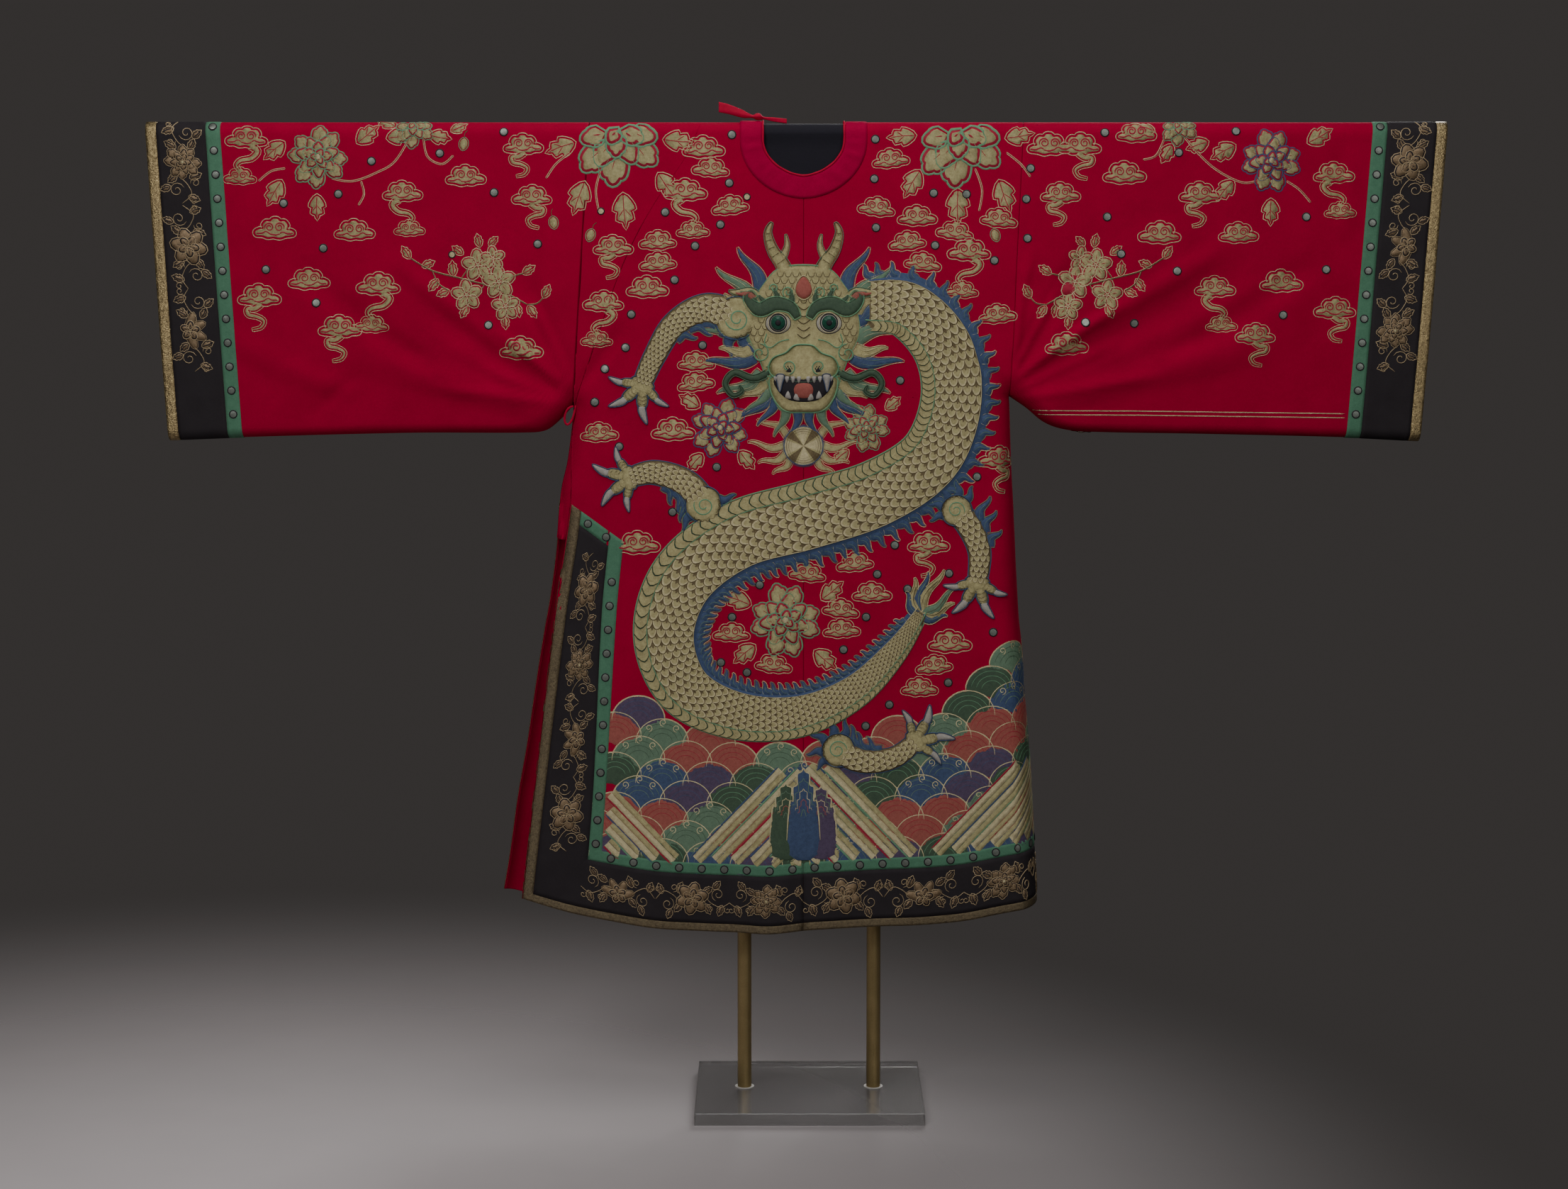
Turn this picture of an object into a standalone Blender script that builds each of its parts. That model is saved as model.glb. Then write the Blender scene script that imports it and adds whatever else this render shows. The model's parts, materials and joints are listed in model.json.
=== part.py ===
"""A dragon robe on its museum stand, as solids in metres with +Z up.

The robe is cut the old way: two long body lengths that run from the front hem over the
shoulder to the back hem, an outer flap that closes over the right front, two sleeve
tubes, cuff, hem and slit borders, and a facing round the neck.  It hangs from a covered
arm bar with a padded neck board, on two brass posts in a clear base.  Left and right
are the wearer's, so the wearer's right is on the -X side.  The front faces -Y.
"""
import math
from bisect import bisect_right
from collections import namedtuple

import bmesh
import bpy
from mathutils import Vector

# Cloth
WALL = 0.0015            # cotton with its backing
SEAM = 0.0003            # gap that neighbouring pieces keep
TRIM = 0.0009            # thickness of a border band
STEP = WALL + SEAM       # how far the flap stands out from what it covers

# The hang of the robe
SHOULDER_Z = 1.685       # top of the cloth over the bar
SHOULDER_R = 0.020       # outer radius of the cloth over the bar
BAR_Z = SHOULDER_Z - SHOULDER_R
ARC = SHOULDER_R * math.pi / 2
CENTRE_X = 0.012         # centre seam, front and back
SLIT_TOP = 1.043         # where each side slit starts
SLIT_CUT = 0.979         # lowest point of the slit border's slanting upper end
SLIT_SLANT = 0.096       # width over which that end slants
TUCK = 0.0036            # how far the left back lies inside the wrapped front
RIGHT, LEFT = -1, 1
FRONT, BACK = -1, 1

# Neck opening
NECK_HALF = 0.0695
NECK_DROP = 0.061        # height of its rounded lower part in front
NECK_STRAIGHT = 0.041    # length below the shoulder line where that part starts
NECK_BACK_DROP = 0.030
NECK_EASE = 0.0025       # the body's own opening is cut this much larger than the facing's
FACING = 0.0375

# Stand
BAR_R = 0.0175
BASE_SIZE = (0.390, 0.297, 0.021)
BASE_X = 0.0225
POST_X = (-0.0893, 0.1336)
POST_R = 0.012
BOARD_LOW = 1.36
BOARD_X = (-0.2035, 0.2475)
BOARD_HALF = 0.0155      # half its thickness below the bar
BOARD_CORNER = 0.12
BAR_INSET = 0.030        # the bar ends this far inside the cuffs

Edge = namedtuple("Edge", "z x")
Foot = namedtuple("Foot", "x z")
Depth = namedtuple("Depth", "z front back")
Border = namedtuple("Border", "z gold black green")
Over = namedtuple("Over", "z length")
Row = namedtuple("Row", "inner edge hem")
Crease = namedtuple("Crease", "x0 z0 x1 z1 x2 z2 half height")
Wave = namedtuple("Wave", "x half height top")
Spine = namedtuple("Spine", "x z half")

ARMHOLE = {
    RIGHT: (Edge(1.685, -0.350), Edge(1.2058, -0.3794)),
    LEFT: (Edge(1.685, 0.383), Edge(1.2216, 0.3612)),
}
UNDERARM = {RIGHT: (-0.3794, 1.2058), LEFT: (0.3612, 1.2216)}
CUFF = {
    RIGHT: (Edge(1.685, -1.097), Edge(1.145, -1.0653)),
    LEFT: (Edge(1.685, 1.097), Edge(1.145, 1.0581)),
}
SLEEVE_FOOT = {
    RIGHT: (Foot(-1.0653, 1.1466), Foot(-0.9396, 1.1514), Foot(-0.654, 1.1587),
            Foot(-0.46, 1.1592), Foot(-0.4253, 1.1635), Foot(-0.3999, 1.1829),
            Foot(-0.3794, 1.2058)),
    LEFT: (Foot(0.3612, 1.2216), Foot(0.3914, 1.201), Foot(0.418, 1.179), Foot(0.4459, 1.167),
           Foot(0.4882, 1.161), Foot(0.688, 1.157), Foot(0.937, 1.151), Foot(1.0581, 1.145)),
}
# Widest line of the body below the arms; under the right slit it is the back panel's edge
SILHOUETTE = {
    RIGHT: (Edge(1.2058, -0.3794), Edge(1.19, -0.380), Edge(1.1115, -0.390), Edge(1.0631, -0.401),
            Edge(0.9626, -0.4112), Edge(0.8695, -0.424), Edge(0.8135, -0.4345),
            Edge(0.715, -0.4507), Edge(0.6175, -0.4656), Edge(0.5207, -0.483),
            Edge(0.4239, -0.497), Edge(0.36, -0.508)),
    LEFT: (Edge(1.2216, 0.3612), Edge(1.2083, 0.3624), Edge(1.1115, 0.366), Edge(1.0231, 0.3709),
           Edge(0.9542, 0.3743), Edge(0.8453, 0.3805), Edge(0.7969, 0.3858), Edge(0.7001, 0.3926),
           Edge(0.6275, 0.3987), Edge(0.5549, 0.4035), Edge(0.3492, 0.4144)),
}
# Closing edge of the outer flap: slanting from the neck to the underarm, then down the slit
FLAP_EDGE = (Edge(1.685, -0.160), Edge(1.6244, -0.1886), Edge(1.5499, -0.2391),
             Edge(1.4862, -0.2751), Edge(1.4225, -0.3028), Edge(1.3414, -0.3309),
             Edge(1.2446, -0.3648), Edge(1.2131, -0.3733), Edge(1.1922, -0.377),
             Edge(1.1302, -0.3803), Edge(1.0433, -0.3823), Edge(0.8536, -0.410),
             Edge(0.3697, -0.4673), Edge(0.30, -0.475))
# How far the cloth stands from the bar's plane
BODY_DEPTH = (Depth(1.665, 0.0200, 0.0200), Depth(1.60, 0.0235, 0.0222),
              Depth(1.50, 0.0272, 0.0256), Depth(0.90, 0.0494, 0.0460),
              Depth(0.45, 0.0660, 0.0570), Depth(0.29, 0.0705, 0.0600))
SLEEVE_DEPTH = (Depth(1.665, 0.0200, 0.0200), Depth(1.50, 0.0215, 0.0215),
                Depth(1.30, 0.0230, 0.0225), Depth(1.14, 0.0210, 0.0205))
HEM_FRONT = (Foot(-0.475, 0.372), Foot(-0.374, 0.343), Foot(-0.2194, 0.3177),
             Foot(-0.0676, 0.3112), Foot(0.0134, 0.3145), Foot(0.1389, 0.3219),
             Foot(0.2705, 0.3292), Foot(0.3465, 0.3430), Foot(0.4144, 0.3550))
HEM_BACK = (Foot(-0.515, 0.360), Foot(-0.40, 0.334), Foot(-0.25, 0.319), Foot(0.0, 0.314),
            Foot(0.25, 0.333), Foot(0.36, 0.352), Foot(0.42, 0.356))
WRAP_RISE = 0.05         # rise of the front hem along its wrap on the back
# Widths of the three border bands beside the slits, and above the hem
SLIT_BORDER = (Border(1.043, 0.020, 0.050, 0.025), Border(0.854, 0.020, 0.060, 0.025),
               Border(0.57, 0.019, 0.081, 0.0216), Border(0.37, 0.0185, 0.0886, 0.024))
HEM_BORDER = (0.0135, 0.0975, 0.1170)       # heights of the tops of gold, black and green
CUFF_BORDER = (0.018, 0.101, 0.126)         # the same three, in from the cuff's edge
# The left front is wider than its side and wraps on to the back
OVER_LEFT = (Over(1.2216, 0.0), Over(1.175, 0.0), Over(1.135, 0.034), Over(1.09, 0.080),
             Over(1.043, 0.125), Over(0.85, 0.165), Over(0.34, 0.200))

# Largest folds of the sleeves, fanning from the underarm: troughs are negative
CREASES = {
    (RIGHT, FRONT): (
        Crease(-0.392, 1.225, -0.470, 1.262, -0.640, 1.395, 0.026, -0.0060),
        Crease(-0.385, 1.262, -0.425, 1.330, -0.470, 1.455, 0.020, -0.0045),
        Crease(-0.430, 1.205, -0.560, 1.235, -0.760, 1.300, 0.028, 0.0050)),
    (LEFT, FRONT): (
        Crease(0.375, 1.240, 0.500, 1.300, 0.800, 1.460, 0.026, -0.0060),
        Crease(0.378, 1.280, 0.430, 1.370, 0.520, 1.510, 0.022, -0.0050),
        Crease(0.430, 1.215, 0.600, 1.262, 0.860, 1.330, 0.028, 0.0050)),
    (RIGHT, BACK): (
        Crease(-0.395, 1.230, -0.500, 1.290, -0.720, 1.400, 0.027, -0.0055),
        Crease(-0.385, 1.270, -0.440, 1.360, -0.520, 1.480, 0.022, -0.0040)),
    (LEFT, BACK): (
        Crease(0.380, 1.245, 0.480, 1.280, 0.700, 1.400, 0.027, -0.0055),
        Crease(0.380, 1.285, 0.440, 1.380, 0.500, 1.500, 0.022, -0.0040)),
}
# Soft waves of the hems, out from the body
WAVES = {
    FRONT: (Wave(-0.045, 0.070, 0.012, 0.70), Wave(-0.250, 0.085, 0.006, 0.62),
            Wave(0.190, 0.090, 0.005, 0.64)),
    BACK: (Wave(-0.300, 0.090, 0.010, 0.78), Wave(-0.060, 0.080, 0.012, 0.85),
           Wave(0.170, 0.080, 0.011, 0.80)),
}

# Rows of the body sheets: height beside the centre and at the slit, or height over the hem
UNDER_ROW = Row("underarm", "underarm", False)
FRONT_ROWS = (
    Row(0.0, 0.0, True), Row(HEM_BORDER[0], HEM_BORDER[0], True),
    Row(HEM_BORDER[1], HEM_BORDER[1], True), Row(HEM_BORDER[2], HEM_BORDER[2], True),
    Row(0.55, 0.56, False), Row(0.66, 0.67, False), Row(0.77, 0.79, False),
    Row(0.87, 0.91, False), Row(0.952, 1.0156, False), Row(SLIT_CUT, SLIT_TOP, False),
    Row(1.06, 1.09, False), Row(1.13, 1.135, False), Row(1.175, 1.175, False),
    UNDER_ROW, Row(1.25, 1.25, False), Row(1.31, 1.31, False),
    Row(1.38, 1.38, False), Row(1.46, 1.46, False), Row(1.54, 1.54, False))
BACK_ROWS = (
    Row(1.56, 1.56, False), Row(1.44, 1.44, False), Row(1.31, 1.31, False),
    UNDER_ROW, Row(1.175, 1.175, False), Row(1.13, 1.135, False), Row(1.06, 1.09, False),
    Row(SLIT_CUT, SLIT_TOP, False), Row(0.952, 1.0156, False),
    Row(0.84, 0.86, False), Row(0.71, 0.72, False), Row(0.57, 0.58, False),
    Row(HEM_BORDER[2], HEM_BORDER[2], True), Row(HEM_BORDER[1], HEM_BORDER[1], True),
    Row(HEM_BORDER[0], HEM_BORDER[0], True), Row(0.0, 0.0, True))
NECK_ANGLES = (0, 25, 45, 66, 90)
NECK_BACK_ANGLES = (90, 60, 35, 0)
ARC_STEPS = 8

# Columns: the right sheet has the flap's columns and then those that reach the side
FLAP_COLUMNS = 9
RIGHT_COLUMNS = 12
LEFT_FLAT = 6
LEFT_TURN = 6
LEFT_COLUMNS = LEFT_FLAT + LEFT_TURN + 3
UNDER_FRONT_ROW = 4      # the covered front stops short of the hem
SLIT_ROW = 9             # first row above the slit, counted from the hem


def curve(table, at, column=1):
    """Smooth value of one column of a table at a place along its first column."""
    rows = sorted(table)
    keys = [row[0] for row in rows]
    values = [row[column] for row in rows]
    if at <= keys[0]:
        return values[0]
    if at >= keys[-1]:
        return values[-1]
    k = bisect_right(keys, at) - 1
    slopes = []
    for i in (k, k + 1):
        low, high = max(i - 1, 0), min(i + 1, len(keys) - 1)
        slopes.append((values[high] - values[low]) / (keys[high] - keys[low]))
    width = keys[k + 1] - keys[k]
    t = (at - keys[k]) / width
    return ((1 + 2 * t) * (1 - t) ** 2 * values[k] + t * (1 - t) ** 2 * width * slopes[0]
            + t * t * (3 - 2 * t) * values[k + 1] + t * t * (t - 1) * width * slopes[1])


def ease(at, start, end):
    """0 before start, 1 past end, smooth between them."""
    t = min(max((at - start) / (end - start), 0.0), 1.0)
    return t * t * (3 - 2 * t)


def mix(a, b, t):
    """The value a share t of the way from a to b."""
    return a + (b - a) * t


def closing(distance, radius):
    """How open the cloth is, 0 to 1, at a distance inside its outline."""
    t = 1.0 - min(max(distance / radius, 0.0), 1.0)
    return math.sqrt(1.0 - t * t)


def side_radius(side, x, z):
    """Radius of the rounded edge where front and back meet, widest at the underarm."""
    under_x, under_z = UNDERARM[side]
    if z < under_z and side * (x - under_x) < 0.02:
        return mix(0.048, 0.035, ease(under_z - z, 0.0, 0.12))
    return mix(0.048, 0.018, ease(math.hypot(x - under_x, z - under_z), 0.0, 0.12))


def outline_distance(side, x, z):
    """Distance from the robe's outline below the shoulder line."""
    under_x, under_z = UNDERARM[side]
    inside = side * (curve(SILHOUETTE[side], z) - x)
    if z < under_z and inside >= 0:
        return inside
    if side * (x - under_x) > 0:
        return z - curve(SLEEVE_FOOT[side], x)
    return math.hypot(x - under_x, z - under_z)


def crease_height(crease, x, z):
    """Height of one fold at a point: soft across it, fading at both ends."""
    steps = 8
    best = 0.0
    for k in range(steps + 1):
        t = k / steps
        a, b, c = (1 - t) ** 2, 2 * t * (1 - t), t * t
        along_x = a * crease.x0 + b * crease.x1 + c * crease.x2
        along_z = a * crease.z0 + b * crease.z1 + c * crease.z2
        near = math.hypot(x - along_x, z - along_z) / (crease.half * (1 + 0.6 * t))
        fade = min(1.0, 4 * (1 - t), 0.5 + 3 * t)
        best = max(best, fade * max(0.0, 1 - near * near) ** 2)
    return crease.height * best


def folds(side, x, z, face):
    """Height of the folds and hem waves out from the flat hang of the cloth."""
    height = sum(crease_height(crease, x, z) for crease in CREASES[side, face])
    for wave in WAVES[face]:
        across = abs(x - wave.x) / wave.half
        if across < 1:
            fall = ease(wave.top - z, 0.0, wave.top - 0.32)
            height += wave.height * fall * math.cos(across * math.pi / 2) ** 2
    return height


def full_depth(side, x, z, face):
    """Depth of the cloth where it is clear of its outline."""
    column = 1 if face == FRONT else 2
    body = curve(BODY_DEPTH, z, column)
    reach = side * (x - curve(ARMHOLE[side], z))
    if z < 1.1 or reach <= 0:
        return body
    return mix(body, curve(SLEEVE_DEPTH, z, column), ease(reach, 0.0, 0.25))


def hang(side, x, s, face):
    """Outer face of the cloth at a place x and a length s down from the shoulder line."""
    if s < ARC:
        angle = s / SHOULDER_R
        return Vector((x, face * SHOULDER_R * math.sin(angle),
                       BAR_Z + SHOULDER_R * math.cos(angle)))
    z = BAR_Z - (s - ARC)
    near = outline_distance(side, x, z)
    deep = full_depth(side, x, z, face) + folds(side, x, z, face)
    return Vector((x, face * deep * closing(near, side_radius(side, x, z)), z))


def quarter(radius, deep):
    """Length of a quarter of the side's rounded edge."""
    return math.pi / 2 * math.sqrt((radius * radius + deep * deep) / 2)


def turned(side, z, p, face, inner, turn=90.0):
    """Outer face at a path length p out from the centre, round the side if p is long."""
    radius = side_radius(side, 0.0, z)
    near = full_depth(side, 0.0, z, face)
    far = full_depth(side, 0.0, z, -face)
    bend = math.radians(turn)
    x1 = curve(SILHOUETTE[side], z) - side * radius * math.sin(bend)
    flat = abs(x1 - inner)
    q_near, q_far = quarter(radius, near), quarter(radius, far)
    if p <= flat:
        x = inner + side * p
        return Vector((x, face * (near + folds(side, x, z, face)), z))
    if p <= flat + q_near:
        a = (p - flat) / q_near * math.pi / 2
        edge = folds(side, x1, z, face) * math.cos(a)
        return Vector((x1 + side * radius * math.sin(a), face * (near + edge) * math.cos(a), z))
    if p <= flat + q_near + q_far:
        a = (p - flat - q_near) / q_far * math.pi / 2
        edge = folds(side, x1, z, -face) * math.sin(a)
        return Vector((x1 + side * radius * math.cos(a), -face * (far + edge) * math.sin(a), z))
    x = x1 - side * (p - flat - q_near - q_far)
    return Vector((x, -face * (far + folds(side, x, z, -face)), z))


def side_length(side, z, face, inner, turn=90.0):
    """Path length from the centre to the side's widest line."""
    radius = side_radius(side, 0.0, z)
    bend = math.radians(turn)
    x1 = curve(SILHOUETTE[side], z) - side * radius * math.sin(bend)
    return abs(x1 - inner) + quarter(radius, full_depth(side, 0.0, z, face)) * turn / 90.0


def neck_half(s, face):
    """Half width of the neck opening at a length below the shoulder line."""
    if face == FRONT:
        fall = (s - NECK_STRAIGHT) / (NECK_DROP + NECK_EASE)
        power = 1.2
    else:
        fall = (s - ARC) / (NECK_BACK_DROP + NECK_EASE)
        power = 1.0
    if fall >= 1:
        return 0.0
    return (NECK_HALF + NECK_EASE) * math.sqrt(1 - max(fall, 0.0) ** 2) ** power


def inner_x(side, s, face):
    """Where a body sheet starts: the centre seam, or the neck's edge above it."""
    return CENTRE_X + side * neck_half(s, face)


def slit_offsets(z):
    """Distances from a slit's edge to the inner sides of gold, black and green."""
    gold, black, green = (curve(SLIT_BORDER, z, column) for column in (1, 2, 3))
    return gold, gold + black, gold + black + green


def length_at(z):
    """Length down the cloth from the shoulder line to a height."""
    return ARC + BAR_Z - z


def right_front_x(z, column):
    """Place of a column of the right sheet's front, flap columns first."""
    inner = inner_x(RIGHT, length_at(z), FRONT)
    edge = curve(FLAP_EDGE, z)
    if column > FLAP_COLUMNS:
        t = (column - FLAP_COLUMNS) / (RIGHT_COLUMNS - FLAP_COLUMNS)
        if z >= UNDERARM[RIGHT][1]:
            return mix(edge, curve(ARMHOLE[RIGHT], z), t)
        return mix(curve(SILHOUETTE[RIGHT], z), edge, (1 - t) ** 2)
    even = mix(inner, edge, column / FLAP_COLUMNS)
    flat = FLAP_COLUMNS - 3
    offsets = slit_offsets(z)
    if column <= flat:
        banded = mix(inner, edge + offsets[2], column / flat)
    else:
        banded = edge + (offsets[1], offsets[0], 0.0)[column - flat - 1]
    return mix(even, banded, ease(z, 1.20, 1.06))


def banded_path(total, z, column, flat, columns, straight):
    """Path length of a column whose last three stand at the slit's bands."""
    offsets = slit_offsets(z)
    last = columns - 3
    if column > last:
        return total - (offsets[1], offsets[0], 0.0)[column - last - 1]
    if column <= flat:
        return mix(0.0, straight, column / flat)
    return mix(straight, total - offsets[2], (column - flat) / (last - flat))


def left_front(z, column):
    """A point of the left sheet's front, which wraps round the side on to the back."""
    inner = inner_x(LEFT, length_at(z), FRONT)
    if z >= UNDERARM[LEFT][1]:
        x = mix(inner, curve(ARMHOLE[LEFT], z), column / LEFT_COLUMNS)
        return lambda dz, dp: hang(LEFT, x + dp, length_at(z + dz), FRONT), 0.0
    total = side_length(LEFT, z, FRONT, inner) + curve(OVER_LEFT, z) - SEAM
    straight = curve(SILHOUETTE[LEFT], z) - side_radius(LEFT, 0.0, z) - inner
    banded = banded_path(total, z, column, LEFT_FLAT, LEFT_COLUMNS, straight)
    p = mix(total * column / LEFT_COLUMNS, banded, ease(z, 1.20, 1.06))
    return lambda dz, dp: turned(LEFT, z + dz, p + dp, FRONT, inner), total - p


def left_back(z, column):
    """A point of the left sheet's back; below the slit it tucks inside the wrapped front."""
    inner = inner_x(LEFT, length_at(z), BACK)
    if z >= UNDERARM[LEFT][1]:
        x = mix(inner, curve(ARMHOLE[LEFT], z), column / LEFT_COLUMNS)
        return lambda dz, dp: hang(LEFT, x + dp, length_at(z + dz), BACK), 0.0
    slit = ease(SLIT_TOP - z, 0.03, 0.45)
    reach = side_length(LEFT, z, BACK, inner) - curve(OVER_LEFT, z)
    total = reach + 0.085 * slit
    even = total * column / LEFT_COLUMNS
    banded = banded_path(total, z, column, LEFT_FLAT, LEFT_COLUMNS, total * 0.55)
    p = mix(even, banded, ease(z, 1.20, 1.06))
    top = mix(SLIT_TOP, SLIT_CUT, min((total - p) / SLIT_SLANT, 1.0))
    tuck = TUCK * ease(top - z, 0.0, 0.02) if column > LEFT_COLUMNS - 4 else 0.0

    def place(dz, dp):
        """The point moved up by dz and out by dp."""
        point = turned(LEFT, z + dz, p + dp, BACK, inner)
        point.y -= tuck
        return point

    return place, total - p


def right_front(z, column):
    """A point of the right sheet's front, on the level that the flap covers."""
    x = right_front_x(z, column)
    return (lambda dz, dp: hang(RIGHT, x - dp, length_at(z + dz), FRONT),
            abs(x - curve(FLAP_EDGE, z)))


def right_back(z, column):
    """A point of the right sheet's back; below the slit its edge curls forward a little."""
    inner = inner_x(RIGHT, length_at(z), BACK)
    if z >= UNDERARM[RIGHT][1]:
        x = mix(inner, curve(ARMHOLE[RIGHT], z), column / RIGHT_COLUMNS)
        return lambda dz, dp: hang(RIGHT, x - dp, length_at(z + dz), BACK), 0.0
    turn = mix(90.0, 40.0, ease(SLIT_TOP + 0.01 - z, 0.0, 0.12))
    total = side_length(RIGHT, z, BACK, inner, turn)
    straight = abs(curve(SILHOUETTE[RIGHT], z) - inner) - 0.06
    banded = banded_path(total, z, column, FLAP_COLUMNS - 3, RIGHT_COLUMNS, straight * 0.7)
    p = mix(total * column / RIGHT_COLUMNS, banded, ease(z, 1.20, 1.06))
    return lambda dz, dp: turned(RIGHT, z + dz, p + dp, BACK, inner, turn), total - p


class Sheet:
    """Points and outward normals of a piece of cloth, in rows and columns."""

    def __init__(self, rows, looped=False):
        """Take rows of (point, normal) pairs; a looped sheet closes on its first row."""
        self.points = [[point for point, _ in row] for row in rows]
        self.normals = [[normal for _, normal in row] for row in rows]
        self.looped = looped
        self.rows = len(rows) if looped else len(rows) - 1
        self.columns = len(rows[0]) - 1

    def at(self, i, j, lift):
        """The point of row i and column j, lifted off the sheet."""
        i %= len(self.points)
        return self.points[i][j] + self.normals[i][j] * lift


def with_normal(place, side, face):
    """A point of a smooth face and its outward normal, from small steps along it."""
    h = 0.0004
    point = place(0.0, 0.0)
    down = place(h, 0.0) - place(-h, 0.0)
    across = place(0.0, h) - place(0.0, -h)
    normal = across.cross(down) * (side * -face)
    return point, normal.normalized()


def shoulder_row(side, columns, place_x, s, face):
    """A row of points on or near the rounded shoulder."""
    row = []
    for column in range(columns + 1):
        x = place_x(column)

        def place(ds, dp, x=x):
            """The point moved up by ds and out by dp."""
            return hang(side, x + side * dp, max(s - ds, 0.0), face)

        if s < ARC:
            a = s / SHOULDER_R
            normal = Vector((0.0, face * math.sin(a), math.cos(a)))
            row.append((place(0.0, 0.0), normal))
        else:
            row.append(with_normal(place, side, face))
    return row


def settled(row, column, place_of, hem):
    """The height of a row at a column, which may follow the hem or slant at the slit."""
    if row.hem:
        z = 0.34 + row.inner
        for _ in range(4):
            place, _ = place_of(z, column)
            z = hem(place(0.0, 0.0)) + row.inner
        return z
    z = row.inner
    for _ in range(3):
        _, offset = place_of(z, column)
        z = mix(row.edge, row.inner, min(offset / SLIT_SLANT, 1.0))
    return z


def body_rows(side, face, rows, columns, place_of, hem):
    """Rows of a sheet's front or back below the shoulder."""
    built = []
    for row in rows:
        if row is UNDER_ROW:
            row = Row(UNDERARM[side][1], UNDERARM[side][1], False)
        line = []
        for column in range(columns + 1):
            z = settled(row, column, place_of, hem)
            place, _ = place_of(z, column)
            line.append(with_normal(place, side, face))
        if z == UNDERARM[side][1]:
            line[-1] = (line[-1][0], Vector((side * 0.5, 0.0, -0.5)))
        built.append(line)
    return built


def front_hem(point):
    """Height of the front hem under a point."""
    if point.y > 0:
        widest = HEM_FRONT[-1]
        return widest.z + WRAP_RISE * (widest.x - point.x)
    return curve(HEM_FRONT, point.x)


def back_hem(point):
    """Height of the back hem under a point."""
    return curve(HEM_BACK, point.x)


def shoulder_rows(side, columns, front_x, back_x):
    """Rows from below the front neck over the shoulder to below the back neck."""
    rows = []
    for angle in NECK_ANGLES:
        s = NECK_STRAIGHT + (NECK_DROP + NECK_EASE) * math.cos(math.radians(angle))
        rows.append(shoulder_row(side, columns, lambda j: front_x(s, j), s, FRONT))
    for k in range(ARC_STEPS + 1):
        s = ARC * (1 - 2 * k / ARC_STEPS)
        face = FRONT if s >= 0 else BACK
        t = ease(k / ARC_STEPS, 0.5, 1.0)
        rows.append(shoulder_row(
            side, columns, lambda j: mix(front_x(ARC, j), back_x(ARC, j), t), abs(s), face))
    for angle in NECK_BACK_ANGLES[1:]:
        s = ARC + (NECK_BACK_DROP + NECK_EASE) * math.cos(math.radians(angle))
        rows.append(shoulder_row(side, columns, lambda j: back_x(s, j), s, BACK))
    return rows


def make_left_sheet():
    """The wearer's left body length, front hem to back hem."""
    def front_x(s, j):
        """Place of a front column at a length from the shoulder line."""
        z = BAR_Z - (s - ARC)
        return mix(inner_x(LEFT, s, FRONT), curve(ARMHOLE[LEFT], z), j / LEFT_COLUMNS)

    def back_x(s, j):
        """Place of a back column at a length from the shoulder line."""
        z = BAR_Z - (s - ARC)
        return mix(inner_x(LEFT, s, BACK), curve(ARMHOLE[LEFT], z), j / LEFT_COLUMNS)

    rows = body_rows(LEFT, FRONT, FRONT_ROWS, LEFT_COLUMNS, left_front, front_hem)
    rows += shoulder_rows(LEFT, LEFT_COLUMNS, front_x, back_x)
    rows += body_rows(LEFT, BACK, BACK_ROWS, LEFT_COLUMNS, left_back, back_hem)
    return Sheet(rows)


def make_right_sheet():
    """The wearer's right body length; its front lies a step in, under the flap."""
    def front_x(s, j):
        """Place of a front column at a length from the shoulder line."""
        return right_front_x(BAR_Z - (s - ARC), j)

    def back_x(s, j):
        """Place of a back column at a length from the shoulder line."""
        z = BAR_Z - (s - ARC)
        return mix(inner_x(RIGHT, s, BACK), curve(ARMHOLE[RIGHT], z), j / RIGHT_COLUMNS)

    rows = body_rows(RIGHT, FRONT, FRONT_ROWS, RIGHT_COLUMNS, right_front, front_hem)
    rows += shoulder_rows(RIGHT, RIGHT_COLUMNS, front_x, back_x)
    rows += body_rows(RIGHT, BACK, BACK_ROWS, RIGHT_COLUMNS, right_back, back_hem)
    front_end = len(FRONT_ROWS) + len(NECK_ANGLES)
    for row in rows[:front_end]:
        for j, (point, normal) in enumerate(row):
            row[j] = (point + normal * covered_level(point), normal)
    return Sheet(rows)


def covered_level(point):
    """How far in the right front lies, so that the flap meets the left front flush."""
    side_x = curve(ARMHOLE[RIGHT], point.z)
    across = min(max((point.x - side_x) / (CENTRE_X - side_x), 0.0), 1.0)
    return -STEP * across * ease(point.z, 1.655, 1.61)


def sleeve_rings():
    """Places round a sleeve: front foot to bar to back foot, as (face, kind, value)."""
    levels = (0.02, 0.06, 0.13, 0.22, 0.33, 0.46, 0.60, 0.74, 0.88)
    turn = (18, 42, 66)
    ring = [(FRONT, "foot", 0.0)]
    ring += [(FRONT, "turn", a) for a in turn]
    ring += [(FRONT, "level", f) for f in levels]
    ring += [(FRONT, "arc", ARC * (1 - 2 * k / ARC_STEPS)) for k in range(ARC_STEPS + 1)]
    ring += [(BACK, "level", f) for f in reversed(levels)]
    ring += [(BACK, "turn", a) for a in reversed(turn)]
    return ring


SLEEVE_STATIONS = (0.0, 0.03, 0.065, 0.11, 0.18, 0.29, 0.42, 0.56, 0.71, 0.86)


def sleeve_x(side, station, z):
    """Place of a sleeve station: band lines first, then shares of the way to the armhole."""
    cuff, arm = curve(CUFF[side], z), curve(ARMHOLE[side], z)
    if station < 0:
        return cuff - side * -station
    return mix(arm, cuff - side * CUFF_BORDER[2], station)


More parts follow.
